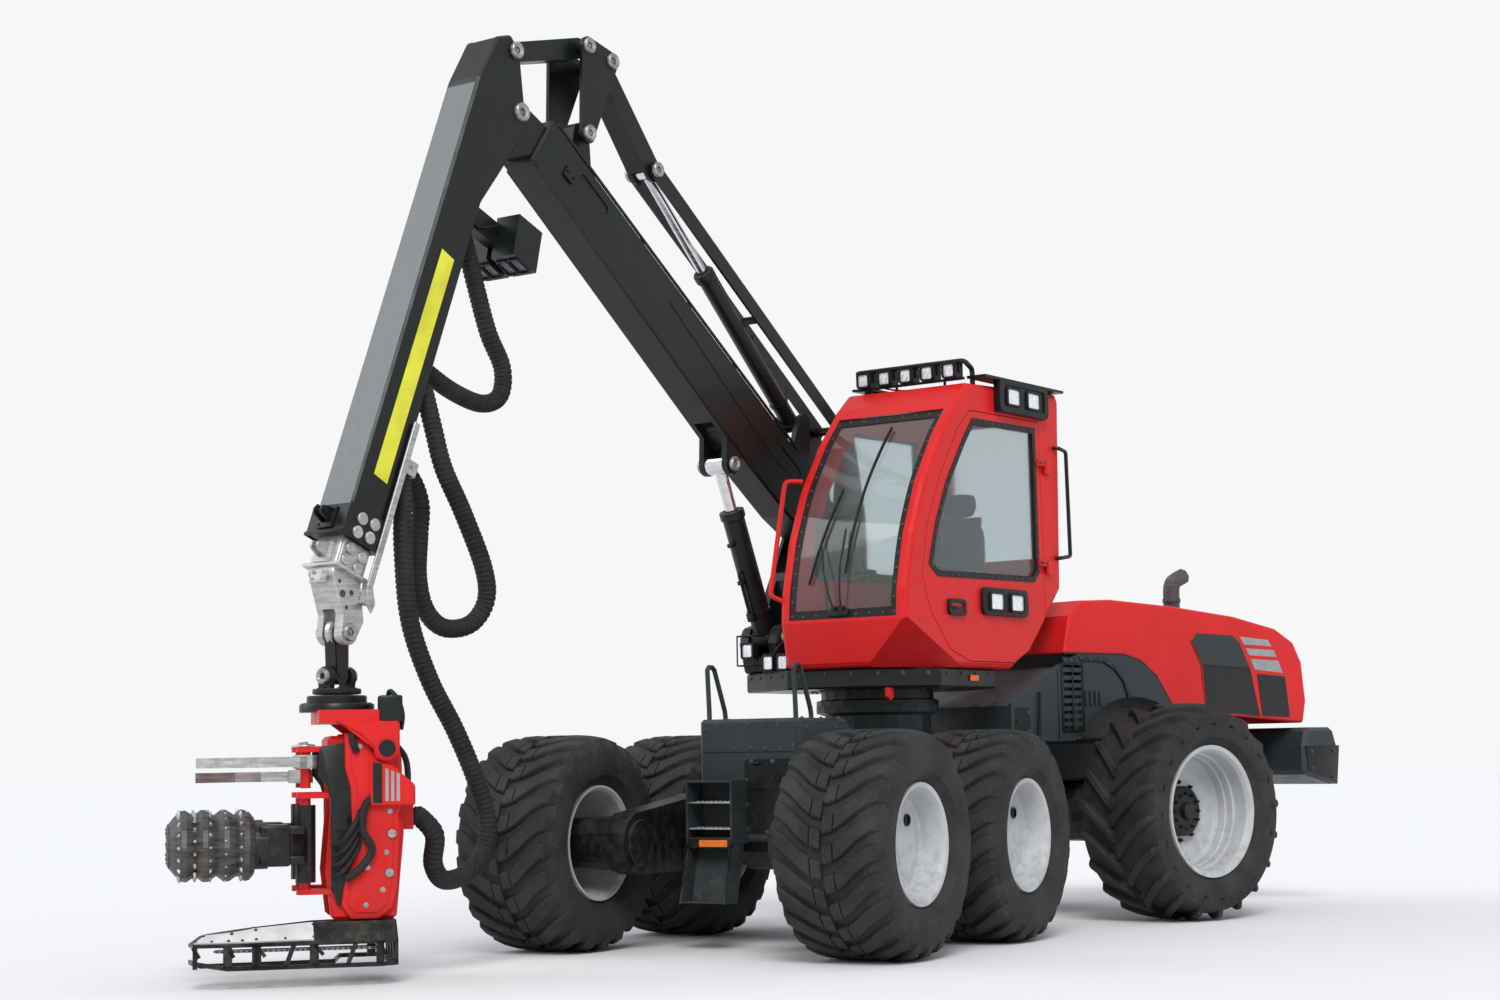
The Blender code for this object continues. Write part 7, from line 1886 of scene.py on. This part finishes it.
def makeRollers():
    for hand, side in (("left", 1), ("right", -1)):
        low, high, axle = head["rollerLow"], head["rollerHigh"], head["rollerAxle"]
        middle = side * head["rollerY"]
        spikes = bmesh.new()
        spots = []
        for row in range(5):
            x = low + 0.07 + (high - low - 0.12) * row / 4
            for k in range(16):
                angle = 2 * math.pi * (k + 0.5 * (row % 2)) / 16
                way = Vector((0.0, math.cos(angle), math.sin(angle)))
                spots.append((Vector((x, middle, axle)) + way * (head["rollerRadius"] * 0.9), way))
        addFasteners(spikes, "spike", spots, 0.0125)
        finishPiece("roller_spikes_" + hand, spikes, "roller_" + hand, "wornSteel", sheet=headSheet)
        cap = bmesh.new()
        sheet = Matrix.Translation((0.0, middle, axle)) @ Matrix.Rotation(math.pi / 2, 4, "Y")
        addTurnedAt(cap, [(0.055, high - 0.002), (0.11, high - 0.002), (0.112, high + 0.006),
            (0.1, high + 0.012), (0.06, high + 0.014), (0.055, high + 0.01)], sheet, 40)
        spots = [((high + 0.012, middle + y, axle + z), (1, 0, 0)) for y, z in circleSpots(8, 0.082)]
        addFasteners(cap, "bolt", spots, 0.008)
        finishPiece("roller_caps_" + hand, cap, "roller_" + hand, "darkSteel", sheet=headSheet)
        motor = bmesh.new()
        addBox(motor, (0.275, middle - 0.115, 0.64), (0.435, middle + 0.115, 0.86), 0.014, 3)
        addPlate(motor, "yz", roundedOutline((middle, axle), 0.17, 0.17, 0.02), 0.434, 0.448, 0.003, 1)
        for z in (0.67, 0.83):
            addBox(motor, (0.2, middle + side * 0.05, z - 0.022), (0.285, middle + side * 0.105, z + 0.022),
                0.006)
        spots = [((0.448, middle + y, axle + z), (1, 0, 0)) for y,
            z in ((-0.065, -0.065), (0.065, -0.065), (-0.065, 0.065), (0.065, 0.065))]
        spots += [((x, middle + side * 0.115, z), (0, side, 0)) for x in (0.3, 0.41) for z in (0.665,
            0.835)]
        addFasteners(motor, "socket", spots, 0.01)
        finishPiece("roller_motor_" + hand, motor, "feed_" + hand, "blackPaint", sheet=headSheet)


def addLoft(work, lower, upper):
    # A closed body between two loops of as many three-dimensional points.
    loops = [[work.verts.new(point) for point in line] for line in (lower, upper)]
    made = [work.faces.new(loops[0]), work.faces.new(loops[1])]
    for k in range(len(lower)):
        j = (k + 1) % len(lower)
        made.append(work.faces.new((loops[0][k], loops[0][j], loops[1][j], loops[1][k])))
    bmesh.ops.recalc_face_normals(work, faces=made)


# Each corner of the saw box: its foot in plan, its top in plan and the top's height.
sawCorners = (
    ((-0.3, -0.3), (-0.29, -0.29), 0.339), ((-0.04, -0.3), (-0.05, -0.29), 0.339),
    ((0.02, 0.1), (0.01, 0.11), 0.339),
    ((0.15, 0.111), (0.15, 0.121), 0.336), ((0.45, 0.136), (0.45, 0.146), 0.312),
    ((0.74, 0.16), (0.7, 0.18), 0.285),
    ((0.8, 0.22), (0.74, 0.22), 0.278), ((0.78, 0.38), (0.71, 0.3), 0.278),
    ((0.6, 0.41), (0.57, 0.31), 0.292),
    ((0.45, 0.41), (0.45, 0.3), 0.312), ((0.15, 0.41), (0.15, 0.29), 0.336),
    ((-0.2, 0.41), (-0.19, 0.36), 0.339), ((-0.3, 0.34), (-0.29, 0.33), 0.339),
)


def makeSawBox():
    # The box over the saw: a closed cap on a skirt with slanting windows, open where the bar swings out.
    box = bmesh.new()
    shoulder = 0.236
    addLoft(box, [(*foot, shoulder) for foot, top, height in sawCorners],
        [(*top, height) for foot, top, height in sawCorners])
    feet = [foot for foot, top, height in sawCorners]
    middle = Vector((0.15, 0.15, 0.0))
    for (x0, y0), (x1, y1) in zip(feet, feet[1:] + feet[:1]):
        span = Vector((x1 - x0, y1 - y0, 0.0))
        length = span.length
        across = Vector((0, 0, 1)).cross(span.normalized())
        inward = 1.0 if across.dot(middle - Vector((x0, y0, 0.0))) > 0 else -1.0
        depth = tuple(sorted((0.0, -inward * 0.012)))
        turn = Matrix((span.normalized(), Vector((0, 0, 1)), -across)).transposed().to_4x4()
        wall = bmesh.new()
        addPlate(wall, "xy", [(0.0, 0.222), (length, 0.222), (length, 0.24), (0.0, 0.24)], *depth)
        barSide = max(y0, y1) < 0.385 and max(x0, x1) > -0.25
        low = (0.1, 0.1) if max(x0, x1) < 0.76 else tuple(0.1 if x < 0.76 else 0.13 for x in (x0, x1))
        addPlate(wall, "xy", [(0.0, low[0]), (length, low[1]), (length, low[1] + 0.024),
            (0.0, low[0] + 0.024)], *depth)
        if not barSide:
            count = max(int(round(length / 0.16)), 1)
            for index in range(count + 1):
                foot = length * index / count
                lean = 0.045 if 0 < index < count else 0.0
                foot = min(max(foot, 0.012), length - 0.012)
                addPlate(wall, "xy", stripOutline([(foot, 0.112), (foot + lean, 0.232)], 0.024), *depth)
            addPlate(wall, "xy", stripOutline([(0.0, 0.225), (length * 0.08 + 0.02, 0.17)], 0.02), *depth)
        joinInto(box, wall, Matrix.Translation((x0, y0, 0.0)) @ turn)
    addRod(box, (-0.16, 0.28, 0.15), (-0.16, 0.28, 0.238), 0.024, sides=20)
    addBox(box, (-0.295, -0.29, 0.1), (-0.255, 0.335, 0.112))
    finishPiece("saw_box_skirt", box, "head", "blackPaint", ("saw_box",), "black_paint", 20.0)
    cover = bmesh.new()
    rows = []
    for foot, top, height in sawCorners[7:11]:
        low = Vector((*foot, shoulder))
        high = Vector((*top, height))
        rows.append((low.lerp(high, 0.1), low.lerp(high, 0.94)))
    out = Vector((0.12, 0.62, 0.78)).normalized()
    lower = [low - out * 0.002 for low, high in rows] + [high - out * 0.002 for low, high in rows[::-1]]
    upper = [low + out * 0.012 for low, high in rows] + [high + out * 0.012 for low, high in rows[::-1]]
    addLoft(cover, lower, upper)
    finishPiece("saw_cover", cover, "head", "whiteSheet", (), "rim_paint", 20.0)
    bolts = bmesh.new()
    spots = []
    for low, high in rows:
        spots += [(low.lerp(high, share) + out * 0.012, out) for share in (0.14, 0.86)]
    for first, last in zip(rows, rows[1:]):
        spots += [((first[0].lerp(last[0], 0.5)).lerp(first[1].lerp(last[1], 0.5), 0.12) + out * 0.012,
            out)]
    addFasteners(bolts, "bolt", spots, 0.006)
    finishPiece("saw_cover_bolts", bolts, "head", "darkSteel")
    teeth = bmesh.new()
    line = [*arcLine((-0.16, 0.28), 0.058, 90.0, 270.0, 12), (0.19, 0.232),
        *arcLine((0.62, 0.28), 0.044, -90.0, 90.0, 12), (0.19, 0.328)]
    for x, y in evenSpots(line, 0.028):
        addBox(teeth, (x - 0.007, y - 0.004, 0.1905), (x + 0.007, y + 0.004, 0.1995), 0.0)
    finishPiece("saw_chain", teeth, "saw", "darkSteel")


makeHeadPlates()
makeHeadFrame()
makeHangerTrim()
makeRollers()
makeSawBox()
print("head dressed")


# Finishes of the part's own pieces that stay as they are

ownFinish = {"slate_paint": "slatePaint", "black_paint": "blackPaint", "red_paint": "redPaint",
    "rim_paint": "rimPaint", "steel": "bareSteel", "glass": "glass", "cloth": "seatCloth",
    "rubber": "tyreRubber", "hose": "hoseRubber"}
nodeFinish = {"fold_rod": "chrome", "lift_rod": "chrome", "knife_left": "wornSteel",
    "knife_right": "wornSteel", "stick_extension": "wornSteel", "exhaust": "exhaustGrey",
    "tilt_hanger": "redPaint", "engine_block": "darkSteel", "feed_roller_left": "darkSteel",
    "feed_roller_right": "darkSteel"}
slotOf = {entry["node"]: entry["material_slot"] for entry in frame["record"]["subparts"]}
for nodeName, item in frame["nodes"].items():
    look = nodeFinish.get(nodeName, ownFinish[slotOf[nodeName]])
    item.data.materials.clear()
    item.data.materials.append(looks[look])
print("finishes set")
